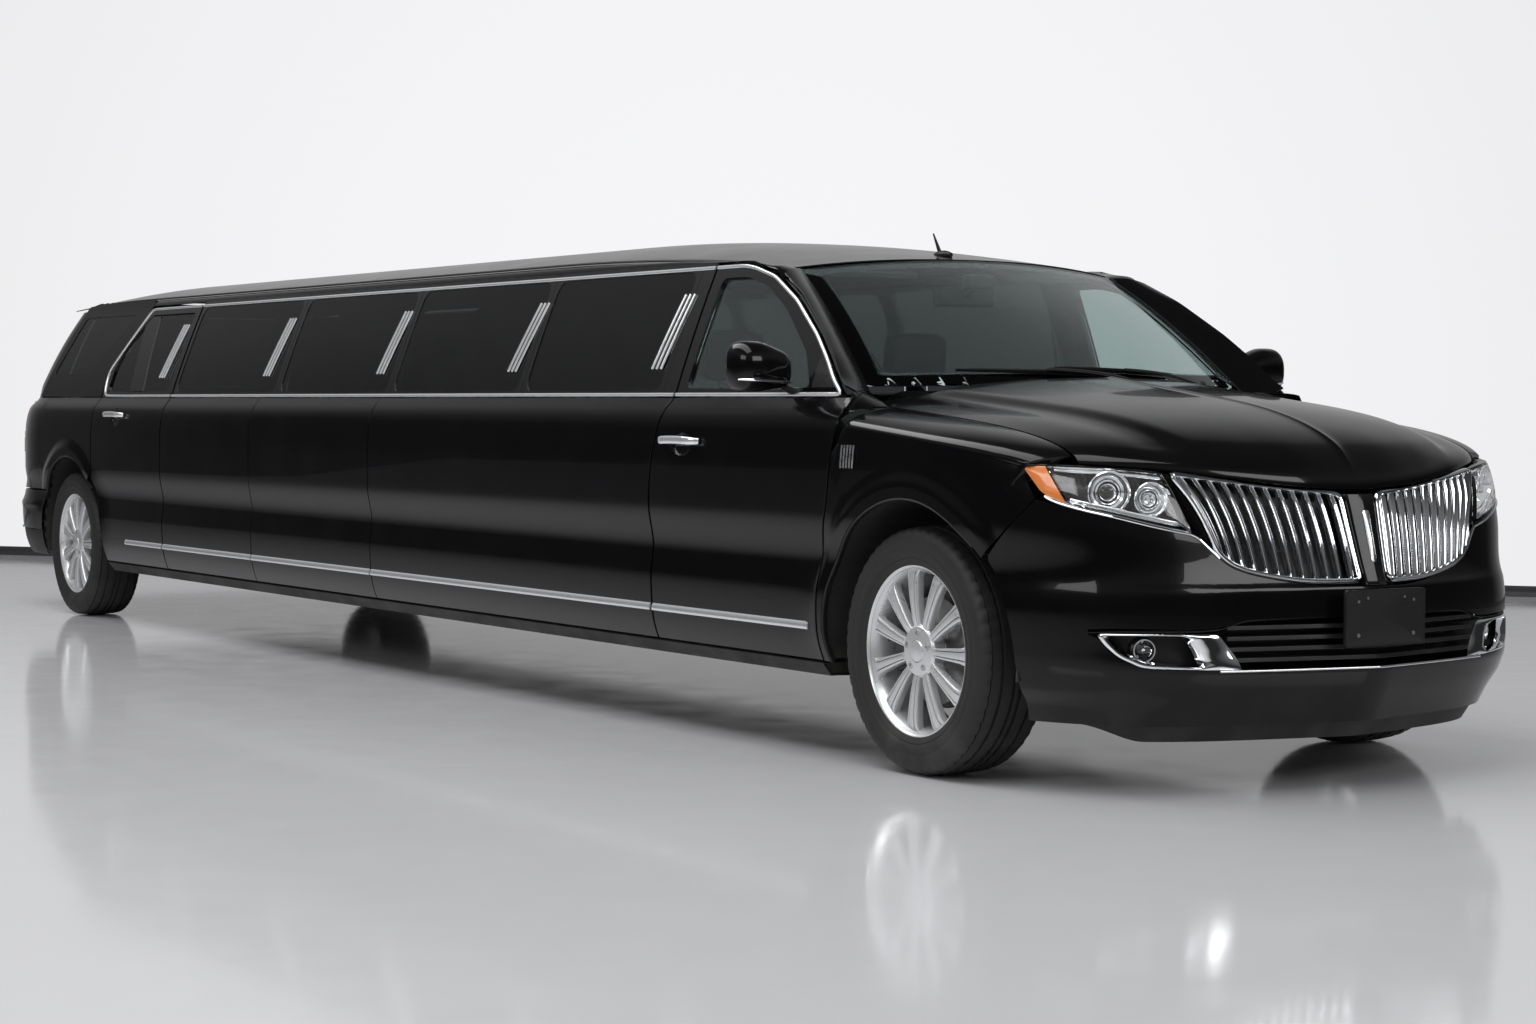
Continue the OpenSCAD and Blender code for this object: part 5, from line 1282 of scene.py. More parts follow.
intakeTop = smoothCurve([[0, .502], [.40, .494], [.50, .470], [.56, .466], [.74, .4665], [.795, .4630],
                         [.82, .4615], [1.2, .4615]])
intakeLow = smoothCurve([[0, .362], [.44, .361], [.62, .364], [.70, .378], [.755, .412], [.785, .444],
                         [.803, .4600], [.83, .4610], [1.2, .4610]])
bumperTop = smoothCurve([[0, .586], [.045, .586], [.12, .594], [.22, .628], [.30, .664], [.36, .708],
                         [.42, .738], [.60, .772], [1, .832]])


# skin by angle round the nose with its openings kept out, bright strips and lower parts
def makeBumper():
    f = finishes
    w = np.concatenate([clustered(0, .78, .02, [(.30, .05, .008), (.53, .09, .006)]), np.linspace(.80, 1, 14)])
    w = np.concatenate([-w[:0:-1], w])
    # share across the front where the opening ends is read from the half width at its height
    width = np.abs(nosePoint(w * angleAtX(bumperEnd(np.full_like(w, .45)), .45), .45 + 0 * w)[:, 1])
    lo, hi, top = intakeLow(width), intakeTop(width), bumperTop(np.abs(w))
    v1, v2, v3 = np.linspace(0, 1, 26), np.linspace(0, 1, 12), np.linspace(0, 1, 26)
    z = np.concatenate([mix(.200, lo[:, None], v1), mix(lo[:, None], hi[:, None], v2[1:-1]),
                        mix(hi[:, None], top[:, None], v3)], 1)
    angle = w[:, None] * angleAtX(bumperEnd(z), z)
    p = nosePoint(angle, z)
    keep = np.ones((len(w) - 1, z.shape[1] - 1), bool)
    inside = np.abs(w) < .0001 + w[np.searchsorted(width[len(w) // 2:], .800) + len(w) // 2]
    cell = inside[:-1] & inside[1:]
    keep[cell, 25:37] = False
    makePiece("bumperSkin", sheetShape(p, .0035, (1, 0, 0), keep=keep), f["paint"], slot="body_paint",
              bevel=.002, replaces=["front_bumper"])
    # dark recess behind the opening: its edge at the skin, its back 60 mm in
    rows = np.concatenate([[0, 0], np.linspace(0, 1, 9), [1, 1]])
    depth = np.concatenate([[.0036, .02], np.full(9, .062), [.02, .0036]])
    inW = w[inside]
    zr = mix(lo[inside][:, None], hi[inside][:, None], rows)
    grow = np.concatenate([[-.002, -.002], np.zeros(9), [.002, .002]])
    ends = np.minimum(1, (inW[-1] - np.abs(inW)) / .02)[:, None]
    pr = nosePoint(inW[:, None] * angleAtX(bumperEnd(zr), zr), zr + grow,
                   .0036 + (depth - .0036) * (.1 + .9 * ends))
    makePiece("bumperRecess", sheetShape(pr, .003, (1, 0, 0)), f["trim"], slot="trim_black")
    # intake slats
    slats = []
    wedge = np.array([[-.016, .006], [.016, .006], [.018, -.006], [-.018, -.006]])
    for z0 in (.388, .418, .448, .478):
        y = np.linspace(-.475, .475, 90)
        a = np.sign(y) * angleAtY(y, z0)
        pts = nosePoint(a, np.full_like(y, z0), .022)
        slats.append(tubeShape(pts, wedge, up=(0, 0, 1)))
    makePiece("intakeSlats", slats, f["lampBlack"], slot="trim_black", bevel=.0015)
    y = np.linspace(-.50, .50, 120)
    turn = np.sign(y) * angleAtY(y, .3585)
    strip = nosePoint(turn, np.full_like(y, .3585), -.001)
    makePiece("intakeBrightStrip", tubeShape(strip, bandSection(.007, .004),
                                             up=stack(np.cos(turn), np.sin(turn), 0 * y)),
              f["chrome"], slot="chrome")
    # chin: black lip under the skin, and a flat tray behind it
    u, v = grid(120, 14)
    zc = mix(.200, .150, v)
    ac = mix(-1, 1, u) * .93 * angleAtX(np.full_like(zc, .50), np.full_like(zc, .20))
    pc = nosePoint(ac, np.full_like(zc, .20), .018 + .030 * v)
    pc[..., 2] = zc + .045 * smoothStep((np.abs(mix(-1, 1, u)) - .72) / .28) * v
    makePiece("chinLip", sheetShape(pc, .006, (1, 0, -.3)), f["trim"], slot="trim_black", bevel=.002)
    # plate bracket: plate with rounded corners, raised border, four small holes and two slots
    face = frontX + .9895
    ring = filleted([[-.152, .419], [.152, .419], [.152, .580], [-.152, .580]], .012, 6)
    plate = outlineShape(ring, .012, (face, 0, 0), (0, 1, 0), (0, 0, 1))
    rim = sheetShape(ringPoint3(ring, face + .0125), .004, (1, 0, 0), wrapU=True)
    holes = [latheShape([[.0001, .0008], [r, .0008], [r, -.002], [.0001, -.002]], (face + .0128, y, z),
                        (1, 0, 0), 20)
             for y, z, r in ((-.105, .452, .006), (.105, .452, .006), (-.105, .547, .0045), (.105, .547, .0045),
                             (-.07, .556, .004), (.07, .556, .004))]
    makePiece("plateBracket", [plate, rim], f["trim"], slot="trim_black", replaces=["plate_bracket"],
              bevel=.001)
    makePiece("plateHoles", holes, f["steel"], slot="steel")


# an outline at three insets: full, slightly in, and deep in about its own middle height
def ringPoint3(ring, x):
    inner = ring * [.965, 1]
    inner[:, 1] = (ring[:, 1] - .4995) * .93 + .4995
    insets = ring * .998 + [0, .001], ring * .985 + [0, .0075], inner
    return np.stack([stack(x, *inset.T) for inset in insets], 1)


# fog lamps: bright bezel round a dark pocket, with a lens in a ring
def makeFogLamps():
    f = finishes
    outer = filleted([[.432, .357], [.452, .400], [.500, .462], [.62, .466], [.795, .4655], [.783, .436],
                      [.752, .398], [.700, .368]], .016, 6)
    inner = filleted([[.555, .373], [.566, .400], [.600, .455], [.66, .457], [.772, .4565], [.762, .440],
                      [.738, .410], [.692, .385]], .012, 6)
    ring = ringPoints(outer, inner, rows=7, centre=np.array([.665, .420]))
    t = np.linspace(0, 1, 7)
    lift = .007 * np.sin(pi * t)**.6 - .004 - .022 * smoothStep((t - .75) / .25)
    y, z = ring[..., 0], ring[..., 1]
    p = nosePoint(angleAtY(y, z), z, -lift)
    bothSides("fogBezel", sheetShape(p, .0025, (1, 0, 0), wrapU=True), f["chrome"], slot="chrome")
    centre = np.array([frontX + .728, .655, .414])
    axis = np.array([.93, .36, 0])
    axis /= np.linalg.norm(axis)
    cup = latheShape([[.0001, -.022], [.020, -.020], [.0285, -.004], [.0285, .010], [.0325, .010],
                      [.0325, -.024], [.0001, -.026]], centre, axis, 48)
    lens = latheShape([[.0001, .012], [.010, .0112], [.020, .008], [.0275, .002], [.0275, -.001], [.020, .005],
                       [.010, .0082], [.0001, .009]], centre, axis, 48)
    bulb = latheShape([[.0001, .004], [.006, .002], [.007, -.006], [.007, -.018], [.0001, -.019]], centre, axis,
                      24)
    pod = latheShape([[.0330, .006], [.040, .001], [.044, -.012], [.040, -.045], [.0001, -.047], [.0001, -.028],
                      [.0330, -.024], [.0330, .006]], centre, axis, 48)
    bothSides("fogReflector", [cup, bulb], f["reflector"], slot="chrome")
    bothSides("fogPod", pod, f["lampBlack"], slot="trim_black")
    bothSides("fogLens", lens, f["glass"], slot="lamp_glass")


# grille half: frame ring on the outline, bars leaning with it, dark mesh behind
def makeGrille():
    f = finishes
    lowY, highY = (.052, .470), (.070, .580)
    lowZ = smoothCurve([[0, .602], [.30, .604], [.62, .622], [.88, .654], [1, .690]])
    highZ = smoothCurve([[0, .846], [.35, .862], [.7, .884], [1, .906]])
    lowSide = smoothCurve([[0, lowY[0]], [.6, .325], [.88, .440], [1, .480]])
    highSide = smoothCurve([[0, highY[0]], [1, highY[1]]])

    def at(u, v, inside=0):
        # Side curves mixed by v, less a sine bend, at the height mixed from both outlines.
        v = np.asarray(v, float)
        bend = .012 * np.sin(pi * v) * u
        y, z = mix(lowSide(u), highSide(u), v) - bend, mix(lowZ(u), highZ(u), v)
        return nosePoint(angleAtY(y, z), z, inside)

    edge = rimWalk(40, 24)
    line = at(edge[:, 0], edge[:, 1], .002)
    for _ in range(3):
        line = (np.roll(line, 1, 0) + 2 * line + np.roll(line, -1, 0)) / 4
    a = roundAngles(14)
    hoop = oval(.0085, .014, a)
    up = np.stack([np.full(len(line), .85), np.full(len(line), .3), np.zeros(len(line))], 1)
    frameLine = tubeShape(line, hoop, closed=True, up=up)
    bars = []
    count = 12
    v = np.linspace(0, 1, 34)
    for k in range(count):
        u = (k + .62) / (count + .15)
        bow = -.010 * np.sin(pi * np.clip(v * 1.05, 0, 1))**.7
        pts = at(np.full_like(v, u), v, .006 + bow)
        b = roundAngles(14)
        section = np.stack([np.cos(b) * .0098, signedPower(np.sin(b), 1.15) * .019 - .004], 1)
        bars.append(tubeShape(pts, section, up=(.88, .35, 0), scale=1 - .12 * (1 - v)))
    bothSides("grilleBars", bars, f["chrome"], slot="chrome", replaces=["grille"])
    bothSides("grilleFrame", frameLine, f["chrome"], slot="chrome")
    u, v = grid(60, 40)
    back = at(mix(-.02, 1.0, u), v, .052)
    bothSides("grilleMesh", sheetShape(back, .003, (1, 0, 0)), f["lampBlack"], slot="trim_black")
    wall = np.stack([line - [.006, 0, 0], line - [.056, 0, 0]], 1)
    bothSides("grilleShroud", sheetShape(wall, .002, (0, 0, 0), wrapU=True), f["trim"], slot="trim_black")
    # painted bridge between the halves, crowned, with a bare raised field
    u, v = grid(40, 60)
    z = mix(.590, .846, v)
    half = mix(.044, .062, v)
    y = mix(-1, 1, u) * half
    s = np.abs(mix(-1, 1, u))
    sunk = -.012 * squared(s, 3) + .012 + .016 * smoothStep((s - .8) / .2)
    p = nosePoint(np.sign(y) * angleAtY(y, z), z, sunk)
    p[..., 0] += .010
    makePiece("grilleBridge", sheetShape(p, .004, (1, 0, 0)), f["paint"], slot="body_paint", bevel=.0015)
    band = filleted([[-.010, .655], [.010, .655], [.013, .80], [-.013, .80]], .009, 7)
    yb, zb = band[:, 0], band[:, 1]
    base = nosePoint(np.sign(yb) * angleAtY(yb, zb), zb, 0)
    t = np.linspace(1, 0.02, 8)
    ring = base.mean(0) + (base[:, None] - base.mean(0)) * t[None, :, None]
    ring[..., 0] += .0115 + .004 * np.sin(pi / 2 * (1 - t))[None]
    makePiece("bridgePlaque", sheetShape(ring, .003, (1, 0, 0), wrapU=True), f["satinMetal"], slot="chrome")


# bowl, bright shells and lens between two curves over the angle round the nose
def makeHeadlights():
    f = finishes
    inLow, inTop = (float(angleAtY(np.array(y), np.array(z))) for y, z in ((.545, .742), (.598, .910)))
    outLow, outTop = (float(angleAtX(np.array(x), np.array(z))) for x, z in ((.535, .842), (.475, .93)))
    low = smoothCurve([[0, .744], [.2, .762], [.5, .792], [.8, .820], [.95, .842], [1, .858]])
    high = smoothCurve([[0, .905], [.15, .913], [.5, .922], [.9, .926], [1, .921]])

    def at(u, v, inside=0):
        # Height mixed from the two curves, angle mixed from the four corners.
        z = mix(low(u), high(u), v)
        return nosePoint(mix(mix(inLow, outLow, u), mix(inTop, outTop, u), v), z, inside)

    def patch(u0, u1, inside, n=50, m=26, crown=.004, thick=.003):
        # Sheet over part of the lamp, crowned by the root of the distance to its edge.
        u, v = crossed(np.linspace(u0, u1, n), np.linspace(0, 1, m))
        d = np.minimum(np.minimum(u, 1 - u) * 3, np.minimum(v, 1 - v))
        return sheetShape(at(u, v, inside - crown * np.sqrt(np.clip(d / .25, 0, 1))), thick, (1, .6, 0))
    bothSides("headlightLens", patch(0, .825, .001), f["glass"], slot="lamp_glass", replaces=["headlights"])
    bothSides("headlightMarker", patch(.835, 1, .001, 16, crown=.004, thick=.006), f["amber"],
              slot="lamp_glass")
    # tub: side walls from the lens edge back, and a stepped bright floor
    rim = rimWalk(50, 14)
    edge = at(rim[:, 0], rim[:, 1], .0045)
    deep = at(.03 + .94 * rim[:, 0], .06 + .88 * rim[:, 1], .075)
    bothSides("headlightTub", sheetShape(np.stack([edge, mix(edge, deep, .4), deep], 1), .0015, (0, 0, 0),
                                         wrapU=True), f["reflector"], slot="chrome")
    u, v = grid(70, 26)
    stepRise = .008 * (np.sin(u * 46)**2 > .5) * (v > .5)
    floor = at(.03 + .94 * u, .06 + .88 * v, .072 + .016 * np.sin(pi * v) - stepRise)
    bothSides("headlightFloor", sheetShape(floor, .0015, (1, .6, 0)), f["lampBlack"], slot="trim_black")
    strips = []
    for v0, u0, u1 in ((.12, .06, .80), (.90, .04, .80)):
        t = np.linspace(u0, u1, 50)
        p = at(t, np.full_like(t, v0), .022)
        strips.append(tubeShape(p, bandSection(.010, .005), up=(.8, .6, 0)))
    bothSides("headlightBrightLines", strips, f["chrome"], slot="chrome")
    # painted brow from the lens up and back to the hood's and the fender's front edges
    u = np.linspace(0, 1, 70)
    lead = at(u, np.ones(70), .002)
    y = lead[:, 1]
    c = np.arccos(np.clip(1 - (.900 - y) / (.900 - .7745), 0, 1)) * 2 / pi
    hoodSide = stack(frontX + hoodFrontX(y) - .006, y, hoodFrontZ(y) - .006)
    fenderSide = stack(frontX + mix(.470, .550, c), y, mix(.9245, .9300, np.sin(c * pi / 2)))
    back = mix(hoodSide, fenderSide, smoothStep((y - .765) / .02)[:, None])
    w = np.linspace(0, 1, 8)[None, :, None]
    brow = mix(lead[:, None] + [0, 0, .003], back[:, None], w) + np.sin(pi * w) * [0, 0, .003]
    bothSides("headlightBrow", sheetShape(brow, .003, (0, 0, 1)), f["paint"], slot="body_paint", bevel=.001)
    # main lamp: projector in stepped rings, and a second bowl beside it
    for word, u0, radius in (("Main", .50, .058), ("Inner", .20, .047)):
        mid = at(np.array(u0), np.array(.47), .050)
        away = mid - at(np.array(u0), np.array(.47), .10)
        axis = away / np.linalg.norm(away) + np.array([.55, -.10, 0])
        axis /= np.linalg.norm(axis)
        r = radius
        bowl = latheShape([[r, .030], [r * 1.05, .028], [r * 1.04, -.012], [.0001, -.03], [.0001, -.022],
                           [r * .45, -.016], [r * .62, -.004],
                           [r * .66, .006], [r * .80, .010], [r * .86, .020], [r, .030]], mid, axis, 64)
        bothSides("headlight" + word + "Bowl", bowl, f["reflector"], slot="chrome")
        ball = latheShape([[.0001, .022], [r * .22, .0205], [r * .40, .014], [r * .52, .002], [r * .53, -.006],
                           [.0001, -.008]], mid, axis, 48)
        bothSides("headlight" + word + "Eye", ball, f["glass"] if word == "Inner" else f["darkGlass"],
                  slot="lamp_glass")
        ringLine = latheShape([[r * .53, .010], [r * .58, .012], [r * .62, .008], [r * .60, .000],
                               [r * .53, .000], [r * .53, .010]], mid, axis, 64)
        bothSides("headlight" + word + "Ring", ringLine, f["chrome"], slot="chrome")
    # bright line under the lamp that runs on into the grille's foot
    u = np.linspace(.97, 0, 60)
    p = at(u, np.zeros(60), -.001) - [0, 0, .006]
    more = nosePoint(angleAtY(np.linspace(.535, .475, 12), np.linspace(.735, .672, 12)),
                     np.linspace(.735, .672, 12), -.001)
    p = np.concatenate([p, more[1:]])
    bothSides("lampBrightLine", tubeShape(p, oval(.0035, .005), up=(.8, .5, 0)), f["chrome"], slot="chrome")


makeHood()
makeFenders()
makeBumper()
makeFogLamps()
makeGrille()
makeHeadlights()
print("front made")


# roof, windshield and pillars
def roofDrop(x):
    return (.118 * np.maximum(0, (x - (frontX - 2.650)) / 1.640)**2 + .045 * np.maximum(0,
            (rearX + .400 - x) / .990)**2)


# roof height over x and share of half width: flat crown falling as a power of the share
def roofCrown(x, s):
    return (roofSize["height"] - roofDrop(x)
            - (roofSize["height"] - roofSize["edge"] - .55 * roofDrop(x)) * np.abs(s)**2.4)


# way along the part of the roof that draws in towards the windshield, 0 to 1
def roofLead(x):
    return np.maximum(0, x - frontX + roofSize["drawFrom"]) / roofSize["drawOver"]


# share across times the half width, drawn in and back towards the windshield, at the crown height
def roofPoint(x, s, down=0):
    lead = roofLead(x)
    return stack(x - .075 * s**2 * lead, s * (roofSize["half"] - .062 * lead), roofCrown(x, s) - down)


# outer face of the windshield: u across, v from base to roof
def glassPoint(u, v, inside=0):
    return stack(frontX - mix(.300, .995, v) - mix(.216, .070, v) * u**2 - .6 * inside, u * mix(.765, .653, v),
                 mix(1.165, 1.583, v) + .090 * v * (1 - v) - mix(.008, .042, v) * u**2 - .8 * inside)


# grid along and across the roof, closer near the windshield, with liner, rails and aerial
def makeRoof():
    f = finishes
    x = clustered(roofSize["back"], roofSize["front"], .08, [(roofSize["front"] - .1, .12, .02)])
    s = np.sin(np.linspace(-1, 1, 71) * pi / 2)
    x, s = crossed(x, s)
    makePiece("roofSkin", sheetShape(roofPoint(x, s), .004, (0, 0, 1)), f["paint"], slot="body_paint",
              replaces=["roof"], bevel=.002)
    x = np.linspace(roofSize["back"] + .05, roofSize["front"] - .06, 120)
    x, s = crossed(x, np.linspace(-.94, .94, 40))
    makePiece("headliner", sheetShape(roofPoint(x, s, .030), .004, (0, 0, -1)), f["headliner"],
              slot="cabin_plastic")
    # ditch mouldings along the roof's edges
    x = np.linspace(roofSize["back"] + .16, roofSize["front"] - .42, 160)
    p = roofPoint(x, np.full_like(x, .955))
    bothSides("roofMoulding", tubeShape(p, bandSection(.016, .004), up=(0, .3, 1)), f["trim"],
              slot="trim_black")
    # aerial: a low foot and a raked blade
    base = np.array([frontX - 1.165, 0, float(roofCrown(np.array(frontX - 1.165), np.array(0.)))])
    t = np.linspace(0, 1, 14)
    foot = stack(base[0] + mix(.048, -.052, t), 0, base[2] + .001 + 0 * t)
    stem = oval(.018, .017, a16)
    mast = stack(base[0] + mix(-.018, -.058, t), 0, base[2] + mix(.010, .078, t))
    makePiece("aerial", [tubeShape(foot, stem, scale=.25 + .75 * np.sin(pi * np.clip(t, .03, .97))**.6),
                         tubeShape(mast, oval(.0045, .010, a16), up=(1, 0, 0), scale=1 - .65 * t)],
              f["trim"], slot="trim_black")


# grid of the outer glass face, its printed border, wipers and inner pieces
def makeWindshield():
    f = finishes
    u, v = crossed(np.linspace(-1, 1, 61), np.linspace(0, 1, 41))
    makePiece("windshieldGlass", sheetShape(glassPoint(u, v), .005, (1, 0, 1)), f["screen"], slot="clear_glass",
              replaces=["windshield"])
    # dark printed border inside the glass
    edgeWay = filleted([[-.997, .004], [.997, .004], [.997, .996], [-.997, .996]], .01, 4)
    hole = filleted([[-.955, .085], [.955, .085], [.950, .925], [-.950, .925]], .10, 8)
    r = ringPoints(edgeWay, hole, rows=5, centre=np.array([0, .5]))
    makePiece("windshieldBorder", sheetShape(glassPoint(r[..., 0], r[..., 1], .0065), .0015, (1, 0, 1),
                                             wrapU=True), f["lampBlack"], slot="trim_black")
    # cowl: panel between glass and hood, with ribs, and two wipers
    y = np.linspace(-.745, .745, 130)
    u, v = crossed(y, np.linspace(0, 1, 20))
    x = glassBase(u) + mix(-.014, .088, v)
    xh = glassBase(u) + .058
    z = np.minimum(hoodZ(xh, u) - .022, mix(1.166 - .010 * (u / .77)**2, hoodZ(xh, u) - .026,
                                            smoothStep(v / .35)))
    z = z - .004 * (np.sin(u * 150)**2 > .35) * (v > .35)
    clear = (np.abs(np.abs(u) - .502) > .024) | (x > -.300)
    makePiece("cowlPanel", sheetShape(stack(frontX + x, u, z), .004, (0, 0, 1), keep=clear[1:, 1:]), f["trim"],
              slot="trim_black")
    arms = []
    for y0, y1, v0, v1 in ((.12, -.46, .035, .075), (.40, -.12, .040, .085)):
        t = np.linspace(0, 1, 60)
        blade = glassPoint(mix(y0 - .04, y1 - .02, t) / .765, mix(v0 + .01, v1, t), -.010)
        arms.append(tubeShape(blade, oval(.004, .009), up=(.5, 0, .8),
                              scale=.4 + .6 * np.sin(pi * np.clip(t, .02, .98))**.4))
        t = np.linspace(0, 1, 30)
        y = mix(y0 + .04, mix(y0, y1, .52), t)
        arm = glassPoint(y / .765, mix(-.05, .055, t**.7), -.024 - .008 * np.sin(pi * t))
        arms.append(tubeShape(arm, oval(.010, .0045), up=(.5, 0, .8), scale=1 - .35 * t))
        arms.append(latheShape([[.0001, .016], [.010, .016], [.015, .008], [.016, -.012], [.0001, -.014]],
                               arm[0], (.45, 0, .9), 20))
    makePiece("wipers", arms, f["trim"], slot="trim_black")
    # painted pillars from the glass edge to the doors' window frames, crowned
    depth = np.array([[1.05, .405], [1.121, .420], [1.160, .480], [1.234, .562], [1.314, .667], [1.430, .853],
                      [1.515, 1.041], [1.553, 1.200], [1.60, 1.40]])
    t = np.linspace(-.14, 1.0, 60)
    zt = mix(1.178, 1.500, t)
    d = np.interp(zt, depth[:, 0], depth[:, 1])
    for _ in range(3):
        d[1:-1] = (d[:-2] + 2 * d[1:-1] + d[2:]) / 4
    run = np.gradient(d, zt)
    away = .028 / np.hypot(run, 1)
    outer = stack(frontX - d + away, sideHalf(zt + away * run) - .001, zt + away * run)
    inner = glassPoint(np.full_like(t, .985), t, -.001)
    w = np.linspace(0, 1, 12)[None, :, None]
    crown = (np.sin(pi * w) * .010) * np.array([.45, .55, .70])
    p = mix(inner[:, None], outer[:, None], w) + crown
    bothSides("windshieldPillar", sheetShape(p, .005, (.4, .6, .6)), f["paint"], slot="body_paint",
              replaces=["windshield_pillars"], bevel=.002)
    trim = mix(inner[:, None], outer[:, None], w) - crown - [.020, .012, .018]
    bothSides("pillarTrim", sheetShape(trim[10:], .003, (-.4, -.6, -.6)), f["cabin"], slot="cabin_plastic")
    # corner between fender, door and pillar foot
    u, v = grid(24, 16)
    ze = mix(1.0287, 1.126, u)
    outerEdge = stack(frontX + doorFront(ze) + .009, sideHalf(ze) - .001, ze)
    start = stack(frontX - .363 + 0 * u, .7745, 1.0907)
    finish = glassPoint(np.full_like(u, .985), np.full_like(u, -.03), .004)
    innerEdge = mix(start, finish, smoothStep(u)[..., None])
    over = np.sin(v * pi)[..., None] * np.array([0, .012, .020])
    k = (1 - np.cos(v * pi / 2))[..., None]
    patch = outerEdge * (1 - k) + innerEdge * k
    patch[..., 2] = mix(outerEdge[..., 2], innerEdge[..., 2], np.sin(v * pi / 2)) + 0 * over[..., 2]
    bothSides("cowlCorner", sheetShape(patch, .004, (.3, .6, .8)), f["paint"], slot="body_paint", bevel=.0015)
    # seal lines down both edges of the glass
    e = glassPoint(np.full(60, .998), np.linspace(0, 1, 60), -.002)
    bothSides("screenSeal", tubeShape(e, oval(.006, .004), up=(.6, 0, .8)), f["rubber"], slot="trim_black")
    # mirror inside, its stalk, and the sensor cover behind the glass
    mid = glassPoint(np.array(0.), np.array(.90), .020)
    cover = roundedBox(mid + [-.060, -.055, -.052], mid + [.012, .055, .000], .018)
    head = roundedBox(mid + [-.118, -.125, -.108], mid + [-.090, .125, -.040], .014)
    stalk = tubeShape(np.stack([mid + [-.03, 0, -.04], mid + [-.06, 0, -.06], mid + [-.098, 0, -.07]]),
                      oval(.009, .009))
    makePiece("insideMirror", [cover, head, stalk], f["cabin"], slot="cabin_plastic")


# door mirrors: a shell grown from closed rings, its glass, foot and a clear strip low down
def makeMirrors():
    f = finishes
    x0 = frontX - .715
    u, v = crossed(np.linspace(0, 1, 44), roundAngles(56))
    y = mix(.925, 1.128, u)
    endRound = squared(np.clip((u - .72) / .28, 0, 1), 2.6) * squared(np.clip((.20 - u) / .20, 0, 1), 3.)
    endRound = np.maximum(endRound, .04)
    high = mix(.058, .080, smoothStep(u / .6)) * endRound
    deep = mix(.050, .066, smoothStep(u / .7)) * endRound
    c, upShare = np.cos(v), np.sin(v)
    zc = mix(1.202, 1.214, u) + .006 * np.sin(pi * u)
    x = x0 + signedPower(c, .75) * deep * np.where(c > 0, 1.25, .50) - .020 * u
    z = zc + signedPower(upShare, .8) * high
    p = stack(x, y, z)
    bothSides("mirrorShell", [tubeSkin(p), *endCaps(p, (1, .5, .01))], f["paint"], "front_door_left",
              ["mirror_left"], slot="body_paint")
    # glass in a dark ring on the rear face
    ring = filleted([[.948, 1.152], [1.092, 1.160], [1.102, 1.266], [.952, 1.256]], .022, 6)
    glass = outlineShape(ring, .004, (x0 - .050, 0, 0), (0, -1, 0), (0, 0, 1))
    bothSides("mirrorGlass", (glass[0] * [1, -1, 1], glass[1][:, ::-1]), f["chrome"], "front_door_left",
              slot="chrome")
    # indicator strip along the lower front, and the foot to the door
    t = np.linspace(0, 1, 40)
    ys = mix(.955, 1.112, t)
    xs = x0 + .079 * squared(np.clip((t - .70) / .34, 0, 1), 2.4) - .016 * t - .001
    strip = stack(xs, ys, 1.166 + .008 * t)
    bothSides("mirrorStrip", tubeShape(strip, oval(.005, .0085), up=(1, .2, 0),
                                       scale=.6 + .4 * np.sin(pi * np.clip(t, .03, .97))**.3),
              f["chrome"], "front_door_left", slot="chrome")
    foot = stack(x0 + .012 - .012 * t, mix(.885, .972, t), mix(1.136, 1.163, smoothStep(t)))
    arm = oval(.034, .013, a16)
    bothSides("mirrorFoot", tubeShape(foot, arm, up=(0, 0, 1), scale=1.15 - .35 * np.sin(pi * t)), f["trim"],
              "front_door_left", slot="trim_black")
    # small triangle at the front corner of the window
    tri = filleted([[frontX - .455, 1.150], [frontX - .605, 1.272], [frontX - .612, 1.150]], .006, 4)
    bothSides("mirrorTriangle", paneShape(tri, .001, .010, 5), f["lampBlack"], "front_door_left",
              slot="trim_black")


makeDoors()
makeCentre()
makeBrightwork()
print("sides made")
makeRoof()
makeWindshield()
makeMirrors()
print("roof and screen made")


# wheels
wheel = dict(track=.815, tyre=.370, lugs=52, spokes=11, nuts=5)


